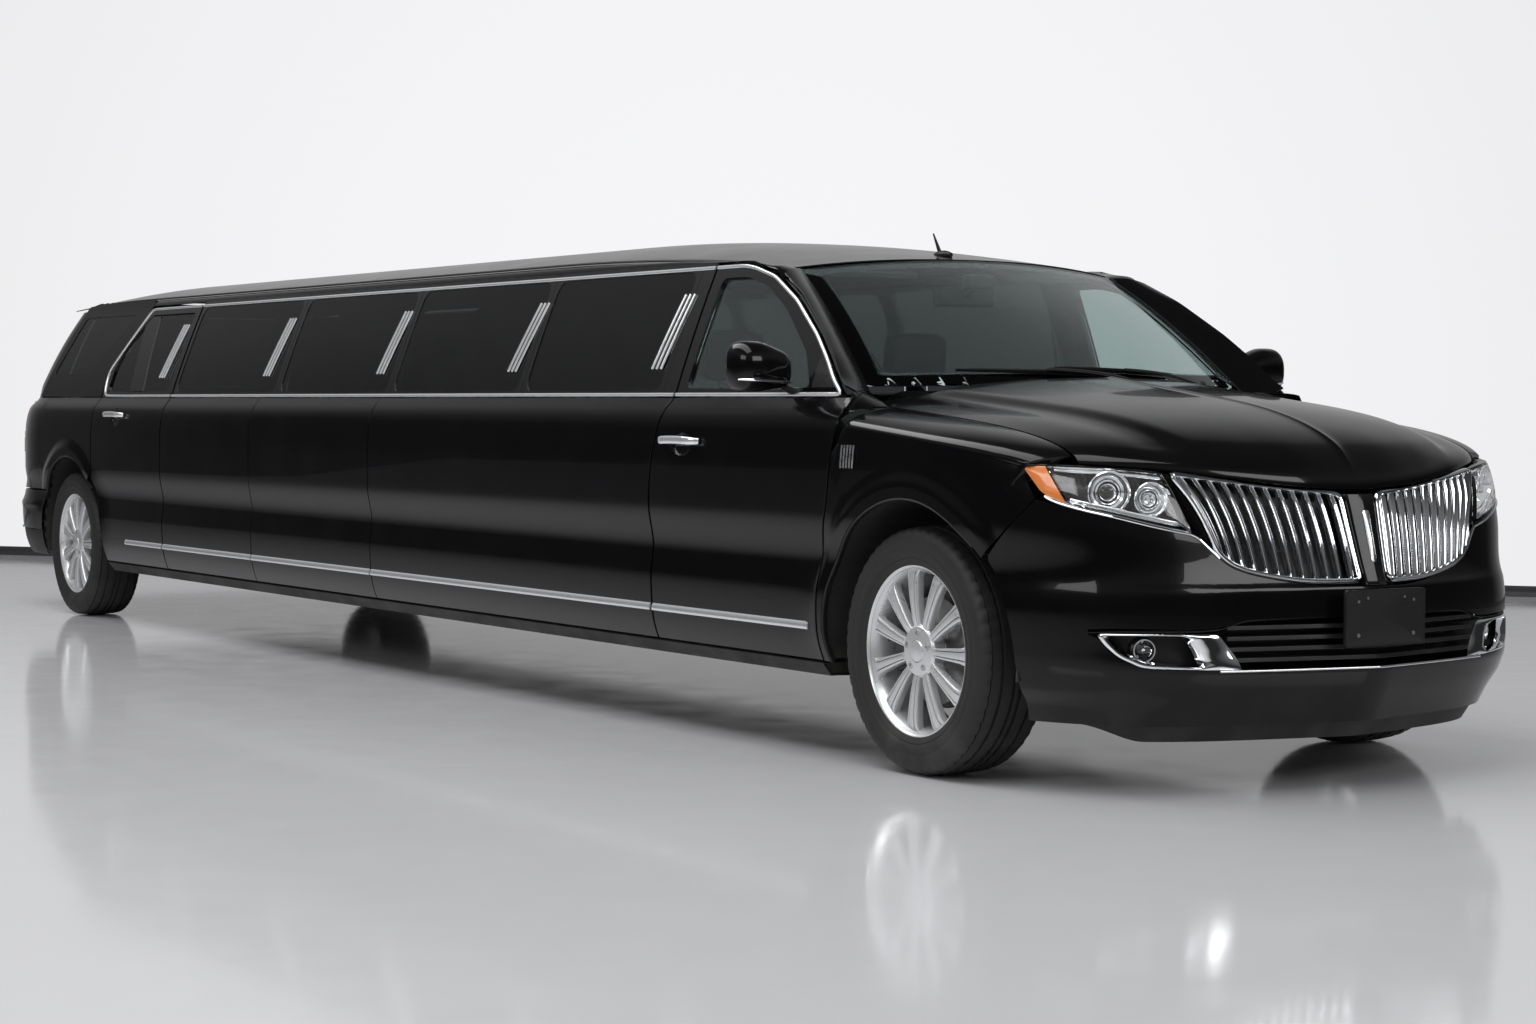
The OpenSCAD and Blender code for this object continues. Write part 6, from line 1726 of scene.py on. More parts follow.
# sections turned round the axle: tyre, rim and disc, with spokes repeated by angle
def makeWheels():
    f = finishes
    # tyre section: bead, sidewall with fine rings, shoulder, and a tread cut by four grooves
    left = [[.254, -.108], [.262, -.112], [.272, -.1165], [.276, -.1150], [.280, -.1180], [.292, -.1210],
            [.306, -.1222], [.309, -.1212],
            [.312, -.1225], [.326, -.1222], [.340, -.1205], [.350, -.1170], [.3575, -.1110], [.3620, -.1035],
            [.3650, -.094]]
    tread = []
    for a, b in ((-.090, -.062), (-.050, -.018), (-.006, .006), (.018, .050), (.062, .090)):
        ra, rb = (wheel["tyre"] - .005 * (abs(q) / .09)**3 for q in (a, b))
        tread += [[ra - .009, a - .0005], [ra, a], [(ra + rb) / 2 + .0002, (a + b) / 2], [rb, b],
                  [rb - .009, b + .0005]]
    right = [[q, -h] for q, h in left[::-1]]
    profile = np.array(left + tread + right + [[.246, .100], [.246, -.100], left[0]])
    shoulder = np.array([1. if .345 < q < .366 and abs(h) > .085 else .55 if q > .366 else 0 for q,
                         h in profile])

    def ripple(a, i):
        # Lug cuts: a cosine of the angle, clipped to flat floors and lands, over the shoulder.
        cut = np.clip((np.cos(a * wheel["lugs"] + 36 * profile[i, 1]) - .55) * 6, 0, 1)
        return -.0045 * cut * shoulder[i], 0 * a * i
    # spoke: closed section along the radius, two grooves in its outer face
    sec = np.array([[-1, -.026], [-1.03, -.010], [-.98, -.002], [-.90, .0], [-.66, .001], [-.60, .0008],
                    [-.57, -.0055], [-.47, -.0055], [-.44, .0016], [0, .0026],
                    [.44, .0016], [.47, -.0055], [.57, -.0055], [.60, .0008], [.66, .001], [.90, 0],
                    [.98, -.002], [1.03, -.010], [1, -.026], [0, -.030]])
    t = np.linspace(0, 1, 12)[:, None]
    radius = mix(.062, .2445, t)
    wide = mix(.0130, .0255, t**1.15) + .010 * smoothStep((t - .86) / .14) + .006 * smoothStep((.10 - t) / .1)
    high = .1000 - .020 * (t - .5)**2 - .010 * smoothStep((t - .88) / .12) - .006 * smoothStep((.14 - t) / .14)
    grooveFade = smoothStep((t - .06) / .1) * smoothStep((.95 - t) / .08)
    isGroove = (np.abs(np.abs(sec[:, 0]) - .52) < .06)[None]
    dip = np.where(isGroove, mix(.0008, sec[None, :, 1], grooveFade), sec[None, :, 1])
    spoke = stack(sec[None, :, 0] * wide, radius, high + dip)
    for name, x, sideWord, sy in (("FrontLeft", frontX, "left", 1), ("FrontRight", frontX, "right", -1),
                                  ("RearLeft", rearX, "left", 1), ("RearRight", rearX, "right", -1)):
        key = ("front_" if x == frontX else "rear_") + sideWord
        ride = "wheel_" + key
        centre, axis = np.array([x, sy * wheel["track"], axleZ]), (0, sy, 0)
        makePiece("tyre" + name, latheShape(profile, centre, axis, 208, ripple), f["tyre"], ride, "tyre",
                  replaces=["tyre_" + key], smooth=32)
        rim = np.array([[.2505, -.104], [.2560, -.106], [.2575, -.100], [.2480, -.092], [.2400, -.070],
                        [.2300, -.020], [.2340, .040], [.2440, .085], [.2480, .092],
                        [.2575, .100], [.2575, .1065], [.2535, .1085], [.2490, .1060], [.2462, .1000],
                        [.2400, .0930], [.2310, .075], [.2250, .040], [.2200, -.020],
                        [.2300, -.072], [.2440, -.094], [.2505, -.104]])
        makePiece("rimBarrel" + name, latheShape(rim, centre, axis, 128), f["wheel"], ride, "wheel_metal",
                  smooth=50)
        angles = np.arange(wheel["spokes"]) * 2 * pi / wheel["spokes"]
        third = np.cross(axis, (1., 0, 0))
        shapes = []
        for a in angles:
            d1 = np.cos(a) * np.array([1., 0, 0]) + np.sin(a) * third
            d2 = np.cross(axis, d1)
            p = centre + spoke[..., :1] * d2 + spoke[..., 1:2] * d1 + spoke[..., 2:] * np.array(axis)
            shapes.append(tubeSkin(p))
        makePiece("spokes" + name, shapes, f["wheel"], ride, "wheel_metal", replaces=["rim_" + key],
                  bevel=.0012, smooth=35)
        # dark grey lines along the floor of each spoke groove
        lines = []
        for a in angles:
            d1 = np.cos(a) * np.array([1., 0, 0]) + np.sin(a) * third
            d2 = np.cross(axis, d1)
            for g in (-.52, .52):
                tt = np.linspace(.10, .93, 16)
                rr, ww = mix(.062, .2445, tt), mix(.0130, .0255, tt**1.15)
                hh = .1000 - .020 * (tt - .5)**2 - .0050
                line = centre + rr[:, None] * d1 + (g * ww)[:, None] * d2 + hh[:, None] * np.array(axis)
                lines.append(tubeShape(line, np.array([[-1, -1], [1, -1], [1, 1], [-1, 1]]) * [.0013, .0016],
                                       up=axis, scale=.6 + .9 * tt))
        makePiece("spokeGrooves" + name, lines, f["wheelDark"], ride, "wheel_metal")
        hub = [[.0001, .1075], [.020, .1070], [.030, .1045], [.0325, .1000], [.0340, .0985], [.0350, .1020],
               [.0600, .1000], [.0720, .0970], [.0790, .0900], [.0800, .0600],
               [.0760, .0500], [.0001, .0480]]
        makePiece("hub" + name, latheShape(hub, centre, axis, 96), f["wheel"], ride, "wheel_metal", smooth=30)
        nuts = []
        for a in np.arange(wheel["nuts"]) * 2 * pi / wheel["nuts"] + .3:
            d1 = np.cos(a) * np.array([1., 0, 0]) + np.sin(a) * third
            spot = centre + d1 * .0525
            nuts.append(latheShape([[.0095, .1006], [.0110, .1012], [.0118, .1004], [.0118, .0975],
                                    [.0095, .0975], [.0095, .1006]], spot, axis, 24))
            nuts.append(latheShape([[.0001, .1035], [.0045, .1030], [.0066, .1005], [.0070, .0970],
                                    [.0001, .0960]], spot, axis, 6))
        makePiece("wheelNuts" + name, nuts, f["steel"], ride, "steel", smooth=30)
        disc = [[.078, .035], [.160, .035], [.162, .033], [.162, .016], [.160, .014], [.078, .014],
                [.078, .035]]
        hat = [[.0001, .055], [.074, .055], [.080, .050], [.082, .020], [.0001, .018]]
        makePiece("brakeDisc" + name, [latheShape(disc, centre, axis, 96), latheShape(hat, centre, axis, 64)],
                  f["steel"], ride, "steel")
        back = [[.0001, .010], [.168, .010], [.174, .004], [.174, -.004], [.150, -.010], [.0001, -.012]]
        holder = "knuckle_" + sideWord if x == frontX else "body"
        a = np.radians(np.linspace(150, 205, 12))
        arc = centre + np.stack([np.cos(a) * .150, 0 * a, np.sin(a) * .150], 1) + [0, sy * .0245, 0]
        caliper = tubeShape(arc, np.array([[-.026, -.030], [.026, -.030], [.030, -.022], [.030, .026],
                                           [.022, .034], [-.022, .034], [-.030, .026], [-.030, -.022]]),
                            up=(arc - centre) * [1, 0, 1])
        makePiece("brakeCaliper" + name, [caliper, latheShape(back, centre, axis, 64)], f["cast"], holder,
                  "cast_metal", bevel=.003)


makeWheels()
print("wheels made")


# tail
tail = dict(power=3., line=.640, lampLow=.838, lampHigh=1.096)
gateEdge = smoothCurve([[.60, .640], [1.10, .640], [1.64, .565]])


# rear surface at a share of the half width: a squared arc as deep as the corner
def tailX(s, z):
    return rearX - tailReach(z) + cornerDepth(z) * (1 - squared(np.minimum(.9999, s), tail["power"]))


# squared circle by angle: sine across and cosine along, moved in along the plan normal
def tailPoint(angle, z, inside=0):
    s = np.abs(np.sin(angle))**(2 / tail["power"])
    x = rearX - tailReach(z) + cornerDepth(z) * (1 - np.abs(np.cos(angle))**(2 / tail["power"]))
    return stack(x + inside * np.cos(angle),
                 np.sign(np.sin(angle)) * (s * sideHalf(z) - inside * np.abs(np.sin(angle))), z)


# rear corner: w = 0 at the straight side, 1 at the tailgate's edge
def cornerPoint(w, z, inside=0):
    begin = np.where(z < body["belt"] + .0005, mix(.476, .451, (z - .640) / .480),
                     np.interp(z, [1.12, 1.23, 1.59], [.604, .564, .336]))
    end = np.arcsin(np.minimum(1, ((gateEdge(z) + .015) / sideHalf(z))**(tail["power"] / 2)))
    start = np.arccos(np.minimum(1, np.maximum(0,
                                               1 - (tailReach(z) - begin) / cornerDepth(z))**(tail["power"] / 2)))
    return tailPoint(mix(start, end, w), z, inside)


# fan of lines from the wheel opening to the belt, and on to the end of the side
def makeQuarter():
    f = finishes
    # fan round the wheel opening up to the belt, and on to the straight end of the side
    a0, a1 = radians(47), pi - np.arcsin((tail["line"] - axleZ) / body["archRadius"])
    t, v = crossed(np.concatenate([np.linspace(0, .25, 18)[:-1], np.linspace(.25, .8, 44)[:-1],
                                       np.linspace(.8, 1, 20)]),
                       clustered(0, 1, .03, [(0, .3, .012), (1, .08, .01)]))
    a = mix(a0, a1, t)
    start = float(rearDoorBack(np.array(.9))) - rearX - .009
    hx = np.where(t < .25, start, np.where(t < .8, mix(start, -.450, (t - .25) / .55),
                                           mix(-.450, -.475, (t - .8) / .2)))
    hz = np.where(t < .25, mix(.735, body["belt"], t / .25),
                  np.where(t < .8, body["belt"], mix(body["belt"], tail["line"], (t - .8) / .2)))
    x, z = mix(body["archRadius"] * np.cos(a), hx, v), mix(axleZ + body["archRadius"] * np.sin(a), hz, v)
    fan = sheetShape(stack(rearX + x, sideHalf(z) + archFlare(rearX + x, z), z), .004, (0, 1, 0))
    def corner(w0, w1, z0, z1, n=40, m=30):
        # Sheet of the rear corner between two shares round it and two heights.
        u, q = grid(n, m)
        return sheetShape(cornerPoint(mix(w0, w1, u), mix(z0, z1, q)), .004, (-1, 1, 0))
    parts = [fan, corner(0, .34, tail["line"], body["belt"], 20, 40),
             corner(.34, 1, tail["line"], tail["lampLow"] - .003, 40, 22),
             corner(.34, 1, tail["lampHigh"] + .003, body["belt"], 40, 8)]
    bothSides("quarterSkin", parts, f["paint"], slot="body_paint", replaces=["quarter_panels"], bevel=.0015)
    u, q = grid(40, 50)
    upper = sheetShape(cornerPoint(u, mix(body["belt"] + .001, 1.572, q)), .004, (-1, 1, .3))
    bothSides("quarterUpper", upper, f["paint"], slot="body_paint", bevel=.0015)
    a = np.linspace(radians(40), a1 + .05, 90)
    x, z = rearX + .452 * np.cos(a), axleZ + .452 * np.sin(a)
    bothSides("rearArchSeal", tubeShape(stack(x, sideHalf(z) - .002, z), oval(.006, .010), up=(0, 1, 0)),
              f["trim"], slot="trim_black")
    # lamps: red lens with upright ribs inside, a clear band and a bright line
    def lens(w0, w1, z0, z1, deep=.012, n=60, m=26):
        u, q = grid(n, m)
        w, z = mix(w0, w1, u), mix(z0, z1, q)
        d = np.minimum(np.minimum(u, 1 - u) * 2.5, np.minimum(q, 1 - q))
        crown = .004 * np.sqrt(np.clip(d / .2, 0, 1)) + .0012 * np.sin(u * 2 * pi * 14)
        return sheetShape(cornerPoint(w, z, .001 - crown), deep, (-1, 1, 0))
    mid0, mid1 = .915, .948
    bothSides("tailLampRed", [lens(.348, 1, tail["lampLow"], mid0 - .002),
                              lens(.348, 1, mid1 + .002, tail["lampHigh"])], f["red"], slot="red_lens",
              replaces=["tail_lamps"])
    bothSides("tailLampClear", lens(.348, 1, mid0 + .001, mid1 - .001, .010, 60, 14), f["clearLens"],
              slot="lamp_glass")
    w = np.linspace(.34, 1, 50)
    for word, zz in (("Low", tail["lampLow"] - .001), ("High", tail["lampHigh"] + .001)):
        bothSides("tailLampLine" + word, tubeShape(cornerPoint(w, np.full_like(w, zz), -.001), oval(.003, .004),
                                                   up=(0, 0, 1)),
                  f["chrome"], slot="chrome")


# bumper, gate and lamps as grids over the share across and the height
def makeTail():
    f = finishes
    # bumper over the whole back, stepped, with a dark lower part
    lines = np.linspace(-1, 1, 121)
    for name, z, material, slotName, extra in (("rearBumperSkin", np.linspace(.425, .631, 26), f["paint"],
                                                "body_paint", 0),
                                               ("rearBumperLower", np.linspace(.290, .4235, 18), f["trim"],
                                                "trim_black", .004)):
        w, zz = crossed(lines, z)
        p = tailPoint(w * radians(88), zz, extra - .006 * np.exp(-((zz - .56) / .02)**2) * (extra == 0))
        u, v = crossed(np.linspace(0, 1, 24), z)
        x = mix(rearX - np.sqrt(np.maximum(0, .462**2 - (v - axleZ)**2)), p[-1, :, 0][None], u)
        flank = sheetShape(stack(x, mix(sideHalf(v) - extra, p[-1, :, 1][None], smoothStep(u)), v), .004,
                           (0, 1, 0))
        makePiece(name, [sheetShape(p, .004, (-1, 0, 0)), flank, mirrored(flank)], material, slot=slotName,
                  bevel=.002,
                  replaces=["rear_bumper"] if extra == 0 else [])
    w = np.linspace(-.86, .86, 120)
    strip = tubeShape(tailPoint(w * radians(88), np.full_like(w, .428), -.003), bandSection(.010, .005),
                      up=(-1, 0, 0))
    makePiece("rearBrightStrip", strip, f["chrome"], slot="chrome")
    # reflectors low in the corners and sensor buttons
    def patch(a0, a1, z0, z1, inside=-.003):
        u, v = grid(24, 8)
        d = np.minimum(np.minimum(u, 1 - u) * 4, np.minimum(v, 1 - v))
        return sheetShape(tailPoint(mix(a0, a1, u), mix(z0, z1, v),
                                    inside - .003 * np.sqrt(np.clip(d / .25, 0, 1))), .006, (-1, 1, 0))
    bothSides("rearReflector", patch(radians(40), radians(58), .352, .378), f["red"], slot="red_lens")
    dots = []
    for a in (-.50, -.19, .19, .50):
        c = tailPoint(np.array(a), np.array(.50), -.001)
        dots.append(latheShape([[.0001, .002], [.009, .0016], [.0115, -.001], [.0115, -.004], [.0001, -.004]],
                               c, (-np.cos(a), np.sin(a) * .6, 0), 24))
    makePiece("rearSensors", dots, f["trim"], slot="trim_black")
    # tailgate: one grid with its number plate recess pressed in and a window opening
    u0 = clustered(-1, 1, .035, [(-.41, .05, .006), (.41, .05, .006)])
    top = 1.628
    z1 = np.concatenate([clustered(.649, 1.180, .02, [(.745, .03, .005), (.905, .03, .005)]),
                         np.linspace(1.180, 1.560, 26)[1:]])
    u, q = crossed(u0, np.concatenate([z1, np.linspace(1.565, 1.60, 6)]))
    gTop = np.minimum(top, roofCrown(roofSize["back"], np.abs(u) * .8) - .022)
    z = np.where(q > 1.56, mix(1.56, gTop, (q - 1.56) / .04), q)
    y = u * gateEdge(z)
    s = np.abs(y) / sideHalf(z)
    dent = .022 * smoothStep((.268 - np.abs(y)) / .022) * smoothStep((z - .740) / .016) * smoothStep((.912 - z) / .020)
    crease = .004 * np.exp(-((z - 1.02) / .012)**2)
    p = stack(tailX(s, z) + dent - crease, y, z)
    cz = (z[:-1, :-1] + z[1:, 1:]) / 2
    keep = ~((cz > 1.181) & (cz < 1.559) & (np.abs(u[:-1, :-1] + u[1:, 1:]) / 2 < .78))
    makePiece("tailgateSkin", sheetShape(p, .004, (-1, 0, .2), keep=keep), f["paint"], "tailgate", "body_paint",
              replaces=["tailgate"], bevel=.002)
    inner = stack(tailX(s, z) + .036, y * .985, z)
    makePiece("tailgateLining", sheetShape(inner, .004, (1, 0, -.2), keep=keep), f["cabin"], "tailgate",
              "cabin_plastic", bevel=.002)
    # window: glass over the opening with a dark border, wiper and its arm
    u, v = grid(50, 30)
    zg = mix(1.186, 1.556, v)
    yg = mix(-1, 1, u) * gateEdge(zg) * .79
    pane = stack(tailX(np.abs(yg) / sideHalf(zg), zg) + .003, yg, zg)
    makePiece("tailgateGlass", sheetShape(pane, .005, (-1, 0, .3)), f["darkGlass"], "tailgate", "dark_glass",
              replaces=["tailgate_glass"])

    def onGate(y, z, out=0):
        # Point on the outer face of the gate, moved out along the car.
        return stack(tailX(np.abs(y) / sideHalf(z), z) - out, y, z)

    def gateX(y, z):
        # Its x alone, for one place.
        return float(onGate(np.array(y), np.array(z))[0])

    t = np.linspace(0, 1, 40)
    arm = onGate(mix(.0, .20, t), mix(1.165, 1.235, t), .016 + .010 * np.sin(pi * t))
    blade = onGate(mix(.02, .40, t), mix(1.215, 1.262, t), .010)
    pivot = latheShape([[.0001, .020], [.016, .018], [.020, .008], [.021, -.004], [.0001, -.006]],
                       arm[0] + [.012, 0, 0], (-1, 0, .1), 28)
    makePiece("rearWiper", [tubeShape(arm, oval(.009, .005), up=(-1, 0, .5), scale=1 - .4 * t),
                            tubeShape(blade, oval(.004, .009), up=(-1, 0, .5)), pivot], f["trim"], "tailgate",
                            "trim_black")
    # bright bar over the plate with two lamps under it, and the plate holder
    yb = np.linspace(-.33, .33, 60)
    bar = onGate(yb, np.full_like(yb, .935), .006)
    section = stack(np.cos(a16) * .008, signedPower(np.sin(a16), .7) * .013)
    fade = .35 + .65 * squared(np.linspace(-1, 1, 60), 6)
    makePiece("tailgateBrightBar", tubeShape(bar, section, up=(0, 0, 1), scale=fade), f["chrome"], "tailgate",
              "chrome")
    lampsLow = [roundedBox((gateX(y, .905) + .002, y - .026, .898), (gateX(y, .905) + .016, y + .026, .910),
                           .004) for y in (-.12, .12)]
    makePiece("plateLamps", lampsLow, f["clearLens"], "tailgate", "lamp_glass")
    plateLine = filleted([[-.150, .752], [.150, .752], [.150, .888], [-.150, .888]], .010, 5)
    xPlate = gateX(0., .82) + .013
    makePiece("rearPlateHolder", outlineShape(plateLine, .006, (xPlate, 0, 0), (0, -1, 0), (0, 0, 1)),
              f["trim"], "tailgate", "trim_black")
    # spoiler lip over the window with the high lamp
    u, v = grid(60, 24)
    a = v * 2 * pi
    yy = mix(-.50, .50, u)
    zt = np.minimum(top, roofCrown(roofSize["back"], np.abs(yy / .565) * .8) - .022)
    base = onGate(yy, zt - .030, .012)
    lipShape = stack(base[..., 0] - .020 * np.cos(a) - .012, yy,
                     base[..., 2] + .011 * np.sin(a) + .004 * np.cos(a))
    ends = squared(mix(-1, 1, u), 8)
    lipShape[..., 0] = base[..., 0] + (lipShape[..., 0] - base[..., 0]) * (.2 + .8 * ends)
    lipShape = lipShape[:, :-1]
    makePiece("spoilerLip", [tubeSkin(lipShape), *endCaps(lipShape)], f["paint"], "tailgate", "body_paint")
    yb = np.linspace(-.11, .11, 20)
    high = onGate(yb, np.full_like(yb, 1.575), .018)
    makePiece("highLamp", tubeShape(high, oval(.006, .008, a16), up=(0, 0, 1)), f["red"], "tailgate",
              "red_lens")


makeQuarter()
makeTail()
print("tail made")


# cabin
# cushion: six grids on a cube, rounded by a power norm, then crowned; its sides pull in between
# the corners, and sewn channels are pressed into the upper face
def cushionShape(size, crown=.18, power=7., channels=0, across=False):
    e = np.sin(np.linspace(-1, 1, 13) * pi / 2)
    u, v = crossed(e, e)
    shapes = []
    for k in range(3):
        for way in (-1, 1):
            p = np.zeros((*u.shape, 3))
            p[..., k], p[..., (k + 1) % 3], p[..., (k + 2) % 3] = way, u, v
            p /= (np.abs(p)**power).sum(-1, keepdims=True)**(1 / power)
            x, y, z = p[..., 0].copy(), p[..., 1].copy(), p[..., 2].copy()
            swell = (1 - x**2) * (1 - y**2)
            pull = np.array([.035, .030])
            q = np.stack([x * (1 - pull[0] * (1 - y**2) * (1 - z**2)),
                          y * (1 - pull[1] * (1 - x**2) * (1 - z**2)), z * (1 + crown * swell)], -1)
            if channels:
                a = (y if across else x) * .5 + .5
                near = np.abs((a * channels) % 1 - .5)
                groove = np.exp(-((.5 - near) / .07)**2) * (a > .5 / channels) * (a < 1 - .5 / channels)
                q[..., 2] -= groove * .30 * np.clip((z - .3) / .5, 0, 1) * .35
            ring = np.exp(-((np.abs(z) - .62) / .05)**2)
            q[..., :2] *= 1 - .012 * ring[..., None]
            out = np.zeros(3)
            out[k] = way
            shapes.append(sheetShape(q * np.asarray(size) / 2, 0, out))
    return joined(shapes)


# turned about Y by an angle and moved
def setAt(shape, place, tilt=0.):
    a = radians(tilt)
    about = np.array([[cos(a), 0, sin(a)], [0, 1, 0], [-sin(a), 0, cos(a)]])
    return shape[0] @ about.T + np.asarray(place), shape[1]


# stood on its long edge with its upper face towards -Y, and moved
def upright(shape, place):
    across, up, out = shape[0].T
    return np.stack([across, -out, up], 1) + np.asarray(place), shape[1]


# padded piece: the usual piece with softer edges by angle; fill is not used
def padPiece(name, shape, material, slotName="cabin_leather", fill=.7, **more):
    piece = makePiece(name, shape, material, slot=slotName, smooth=60, **more)
    return piece


# rounded cushions set by place and tilt, for the front seats and the benches
def makeSeats():
    f = finishes
    for word, y in (("Left", .400), ("Right", -.400)):
        more = dict(replaces=["front_seats"]) if word == "Left" else {}
        padPiece("frontSeatCushion" + word, setAt(cushionShape((.500, .500, .120), .22, 6, 4, False),
                                                  (frontX - 1.430, y, .512), -4), f["leather"], **more)
        padPiece("frontSeatBack" + word, setAt(cushionShape((.600, .480, .100), .30, 6, 5, False),
                                               (frontX - 1.815, y, .860), -73), f["leather"])
        for w in (-1, 1):
            padPiece("frontSeatBolster" + word + ("In" if w < 0 else "Out"),
                     setAt(cushionShape((.520, .070, .105), .1, 4), (frontX - 1.790, y + w * .215, .840), -73),
                     f["leather"])
            padPiece("frontSeatEdge" + word + ("In" if w < 0 else "Out"),
                     setAt(cushionShape((.470, .065, .120), .1, 4), (frontX - 1.425, y + w * .225, .515), -4),
                     f["leather"])
        padPiece("headrest" + word, setAt(cushionShape((.185, .255, .088), .25, 5), (frontX - 1.905, y, 1.270),
                                          -84), f["leather"])
        posts = [tubeShape(np.array([[frontX - 1.895, y + o, 1.06], [frontX - 1.903, y + o, 1.20]]),
                           oval(.006, .006), up=(1, 0, 0)) for o in (-.05, .05)]
        makePiece("headrestPosts" + word, posts, f["chrome"], slot="chrome")
        base = [roundedBox((frontX - 1.740, y - .200, .330), (frontX - 1.240, y + .200, .462), .02),
                roundedBox((frontX - 1.72, y - .255, .44), (frontX - 1.28, y - .235, .53), .009),
                roundedBox((frontX - 1.72, y + .235, .44), (frontX - 1.28, y + .255, .53), .009)]
        makePiece("frontSeatBase" + word, base, f["cabin"], slot="cabin_plastic")
        shell = setAt(cushionShape((.580, .440, .050), .1, 8), (frontX - 1.868, y, .850), -73)
        makePiece("frontSeatShell" + word, shell, f["cabin"], slot="cabin_plastic", smooth=60)
    # lounge: one long bench on the left and one across the back, in sewn sections
    x0, x1 = rearX + 1.245, frontX - 2.225
    edges = np.linspace(x0, x1, 7)
    wall = .6625
    for k in range(6):
        mid, length = (edges[k] + edges[k + 1]) / 2, edges[k + 1] - edges[k] - .006
        more = dict(replaces=["lounge_seats"]) if k == 0 else {}
        padPiece("benchCushion%d" % (k + 1), setAt(cushionShape((length, .540, .170), .16, 7, 5), (mid,
                wall - .275, .612)), f["leather"], **more)
        padPiece("benchBack%d" % (k + 1), upright(cushionShape((length, .330, .100), .25, 7, 5), (mid,
                wall - .060, .885)), f["leather"])
    for k in range(3):
        y, wide = (-1 + k) * .438, .432
        padPiece("rearCushion%d" % (k + 1), setAt(cushionShape((.460, wide, .170), .16, 7, 4, True),
                                                  (rearX + 1.000, y, .612)), f["leather"])
        padPiece("rearBack%d" % (k + 1), setAt(cushionShape((.380, wide, .110), .25, 7, 4, True), (rearX + .705,
                y, .905), -86), f["leather"])
    plinth = [roundedBox((x0, wall - .520, .327), (x1, wall - .010, .535), .012),
              roundedBox((rearX + .655, -wall + .01, .327), (rearX + 1.215, wall - .01, .535), .012)]
    makePiece("benchPlinths", plinth, f["carpet"], slot="cabin_plastic")
    makePiece("benchBackBoard", [roundedBox((x0, wall - .012, .53), (x1, wall + .004, 1.050), .006),
                                 roundedBox((rearX + .640, -wall, .53), (rearX + .655, wall, 1.095), .006)],
              f["cabin"], slot="cabin_plastic")
    u, v = grid(120, 26)
    xx, yy = mix(rearX + .64, frontX - .70, u), mix(-.668, .668, v)
    makePiece("cabinCarpet", sheetShape(stack(xx, yy, .3265 + .0008 * np.sin(xx * 9) * np.sin(yy * 7)), 0,
                                        (0, 0, 1)), f["carpet"], slot="cabin_plastic")


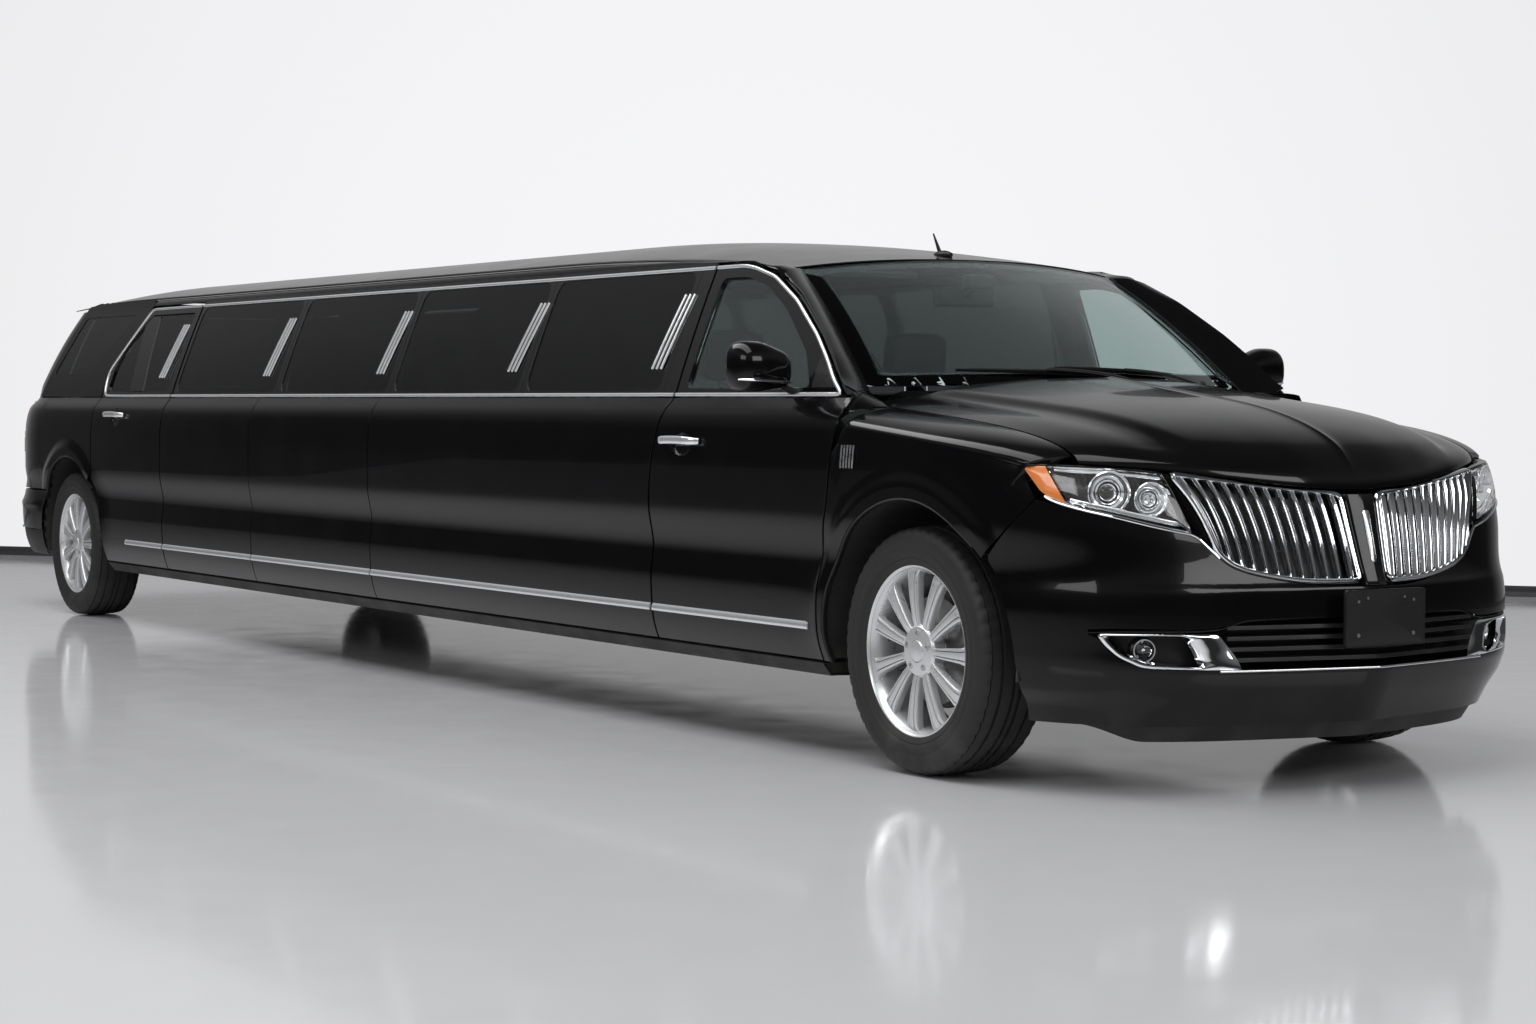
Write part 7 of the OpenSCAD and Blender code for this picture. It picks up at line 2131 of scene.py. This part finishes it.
# closed section carried across the car, with cluster, vents and wheel
def makeDash():
    f = finishes
    # closed section carried across the car, with a hood over the instruments and a lower roll
    line = softPath([[-.625, .72], [-.625, 1.045], [-.700, 1.078], [-.800, 1.082], [-.868, 1.060],
                     [-.890, 1.020], [-.872, .940], [-.880, .880],
                     [-.862, .780], [-.800, .715], [-.700, .705], [-.625, .72]], .012, 5)[:-1]
    y = np.linspace(-.758, .758, 55)
    yy, i = crossed(y, np.arange(len(line)))
    px, pz = line[i, 0], line[i, 1]
    hump = np.exp(-((yy - .40) / .20)**6)
    top = smoothStep((pz - 1.02) / .05)
    pz = pz + .022 * hump * top * smoothStep((-.68 - px) / .10)
    px = px - .030 * hump * smoothStep((pz - .98) / .06) * smoothStep((-.80 - px) / .06)
    px = px + .030 * np.exp(-((yy - .40) / .17)**6) * np.exp(-((pz - .975) / .035)**2) * (px < -.80)
    px = px - .018 * np.exp(-(yy / .20)**6) * (px < -.78) * np.exp(-((pz - .90) / .12)**4)
    end = squared(np.abs(yy) / .760, 14)
    px, pz = mix(-.75, px, .9 + .1 * end), mix(.90, pz, .9 + .1 * end)
    p = stack(frontX + px, yy, pz)
    makePiece("dashboardBody", [tubeSkin(p), *endCaps(p)], f["cabin"], slot="cabin_plastic",
              replaces=["dashboard"])
    band = stack(frontX - .895 + .010 * np.cos(np.linspace(-.74, .74, 90) * 6), np.linspace(-.74, .74, 90),
                 .915)
    makePiece("dashWood", tubeShape(band, oval(.030, .010, a16), up=(1, 0, 0)), f["wood"], slot="cabin_plastic")
    screen = outlineShape(filleted([[-.105, .955], [.105, .955], [.105, 1.055], [-.105, 1.055]], .010), .012,
                          (frontX - .905, 0, 0), (0, -1, 0), (0, 0, 1))
    dials = [latheShape([[.0001, .004], [.043, .004], [.046, .010], [.050, .010], [.052, .002], [.052, -.02],
                         [.0001, -.02]], (frontX - .868, .40 + o, .985), (-1, 0, .15), 40) for o in (-.062,
                                 .062)]
    vents = [roundedBox((frontX - .905, y - .055, .950), (frontX - .872, y + .055, .995), .010) for y in (-.64,
            -.20, .20, .66)]
    makePiece("dashScreens", [screen, *dials], f["lampBlack"], slot="cabin_plastic")
    makePiece("dashVents", vents, f["satinMetal"], slot="chrome", bevel=.001)
    # centre console with its lid, and selector lever
    makePiece("console", [roundedBox((frontX - 1.72, -.118, .327), (frontX - .86, .118, .600), .035),
                          roundedBox((frontX - 1.70, -.105, .585), (frontX - 1.36, .105, .640), .03)],
              f["cabin"], slot="cabin_plastic")
    lever = [tubeShape(np.array([[frontX - 1.10, 0, .59], [frontX - 1.115, 0, .68]]), oval(.008, .008),
                       up=(1, 0, 0)),
             roundedBox((frontX - 1.140, -.020, .665), (frontX - 1.095, .020, .725), .016)]
    makePiece("selector", lever, f["satinMetal"], slot="chrome")
    visors = [setAt(cushionShape((.150, .360, .022), .1, 8), (frontX - 1.110, y, 1.540), 12) for y in (-.36,
            .36)]
    makePiece("sunVisors", visors, f["headliner"], slot="cabin_plastic")
    # steering wheel on its tilted axis
    c, axis = np.array([frontX - 1.080, .400, 1.000]), np.array([-cos(radians(25)), 0, sin(radians(25))])
    edgeWay = np.array([0., 1, 0])
    up = np.cross(axis, edgeWay)
    up = up if up[2] > 0 else -up
    a = np.linspace(0, 2 * pi, 97)[:-1]
    ring = c + .185 * (np.cos(a)[:, None] * edgeWay + np.sin(a)[:, None] * up)
    grip = 1 + .10 * (np.exp(-((np.abs(np.cos(a)) - .92) / .1)**2))
    rimShape = tubeShape(ring, oval(.0155, .0135, a16), closed=True, up=axis, scale=grip)
    makePiece("steeringRim", rimShape, f["leather"], "steering_wheel", "cabin_leather",
              replaces=["steering_wheel"])
    t = np.linspace(0, 1, 20)
    spokes = []
    section = stack(signedPower(np.cos(a16), .7) * .020, np.sin(a16) * .008)
    for angle in (8, 172, 270):
        d = cos(radians(angle)) * edgeWay + sin(radians(angle)) * up
        line3 = c + d * mix(.045, .176, t)[:, None] - axis * (.010 * np.sin(pi * t))[:, None]
        spokes.append(tubeShape(line3, section, up=axis, scale=1.25 - .35 * np.sin(pi * t)))
    makePiece("steeringSpokes", spokes, f["satinMetal"], "steering_wheel", "chrome")
    boss = latheShape([[.0001, .026], [.030, .024], [.052, .016], [.062, .002], [.064, -.020], [.050, -.032],
                       [.0001, -.034]], c, axis, 64)
    column = tubeShape(np.stack([c - axis * .03, c - axis * .268]), oval(.0195, .0195, a16), up=(0, 1, 0))
    makePiece("steeringBoss", [boss, column], f["cabin"], "steering_wheel", "cabin_plastic")


makeSeats()
makeDash()
print("cabin made")


# materials for the CAD pieces that stay in view
keptLook = dict(under=["floor_pan", "chassis_rails", "wheel_wells", "front_subframe", "firewall",
                       "hinge_pillars", "sills"],
                cast=["engine_block", "rear_axle", "knuckle_left", "knuckle_right"], steel=["drive_shaft"],
                exhaust=["exhaust"])
for key, nodes in keptLook.items():
    for node in nodes:
        for place in getattr(bpy.data.objects.get(node), "material_slots", ()):
            place.material = finishes[key]
print("underside finished")
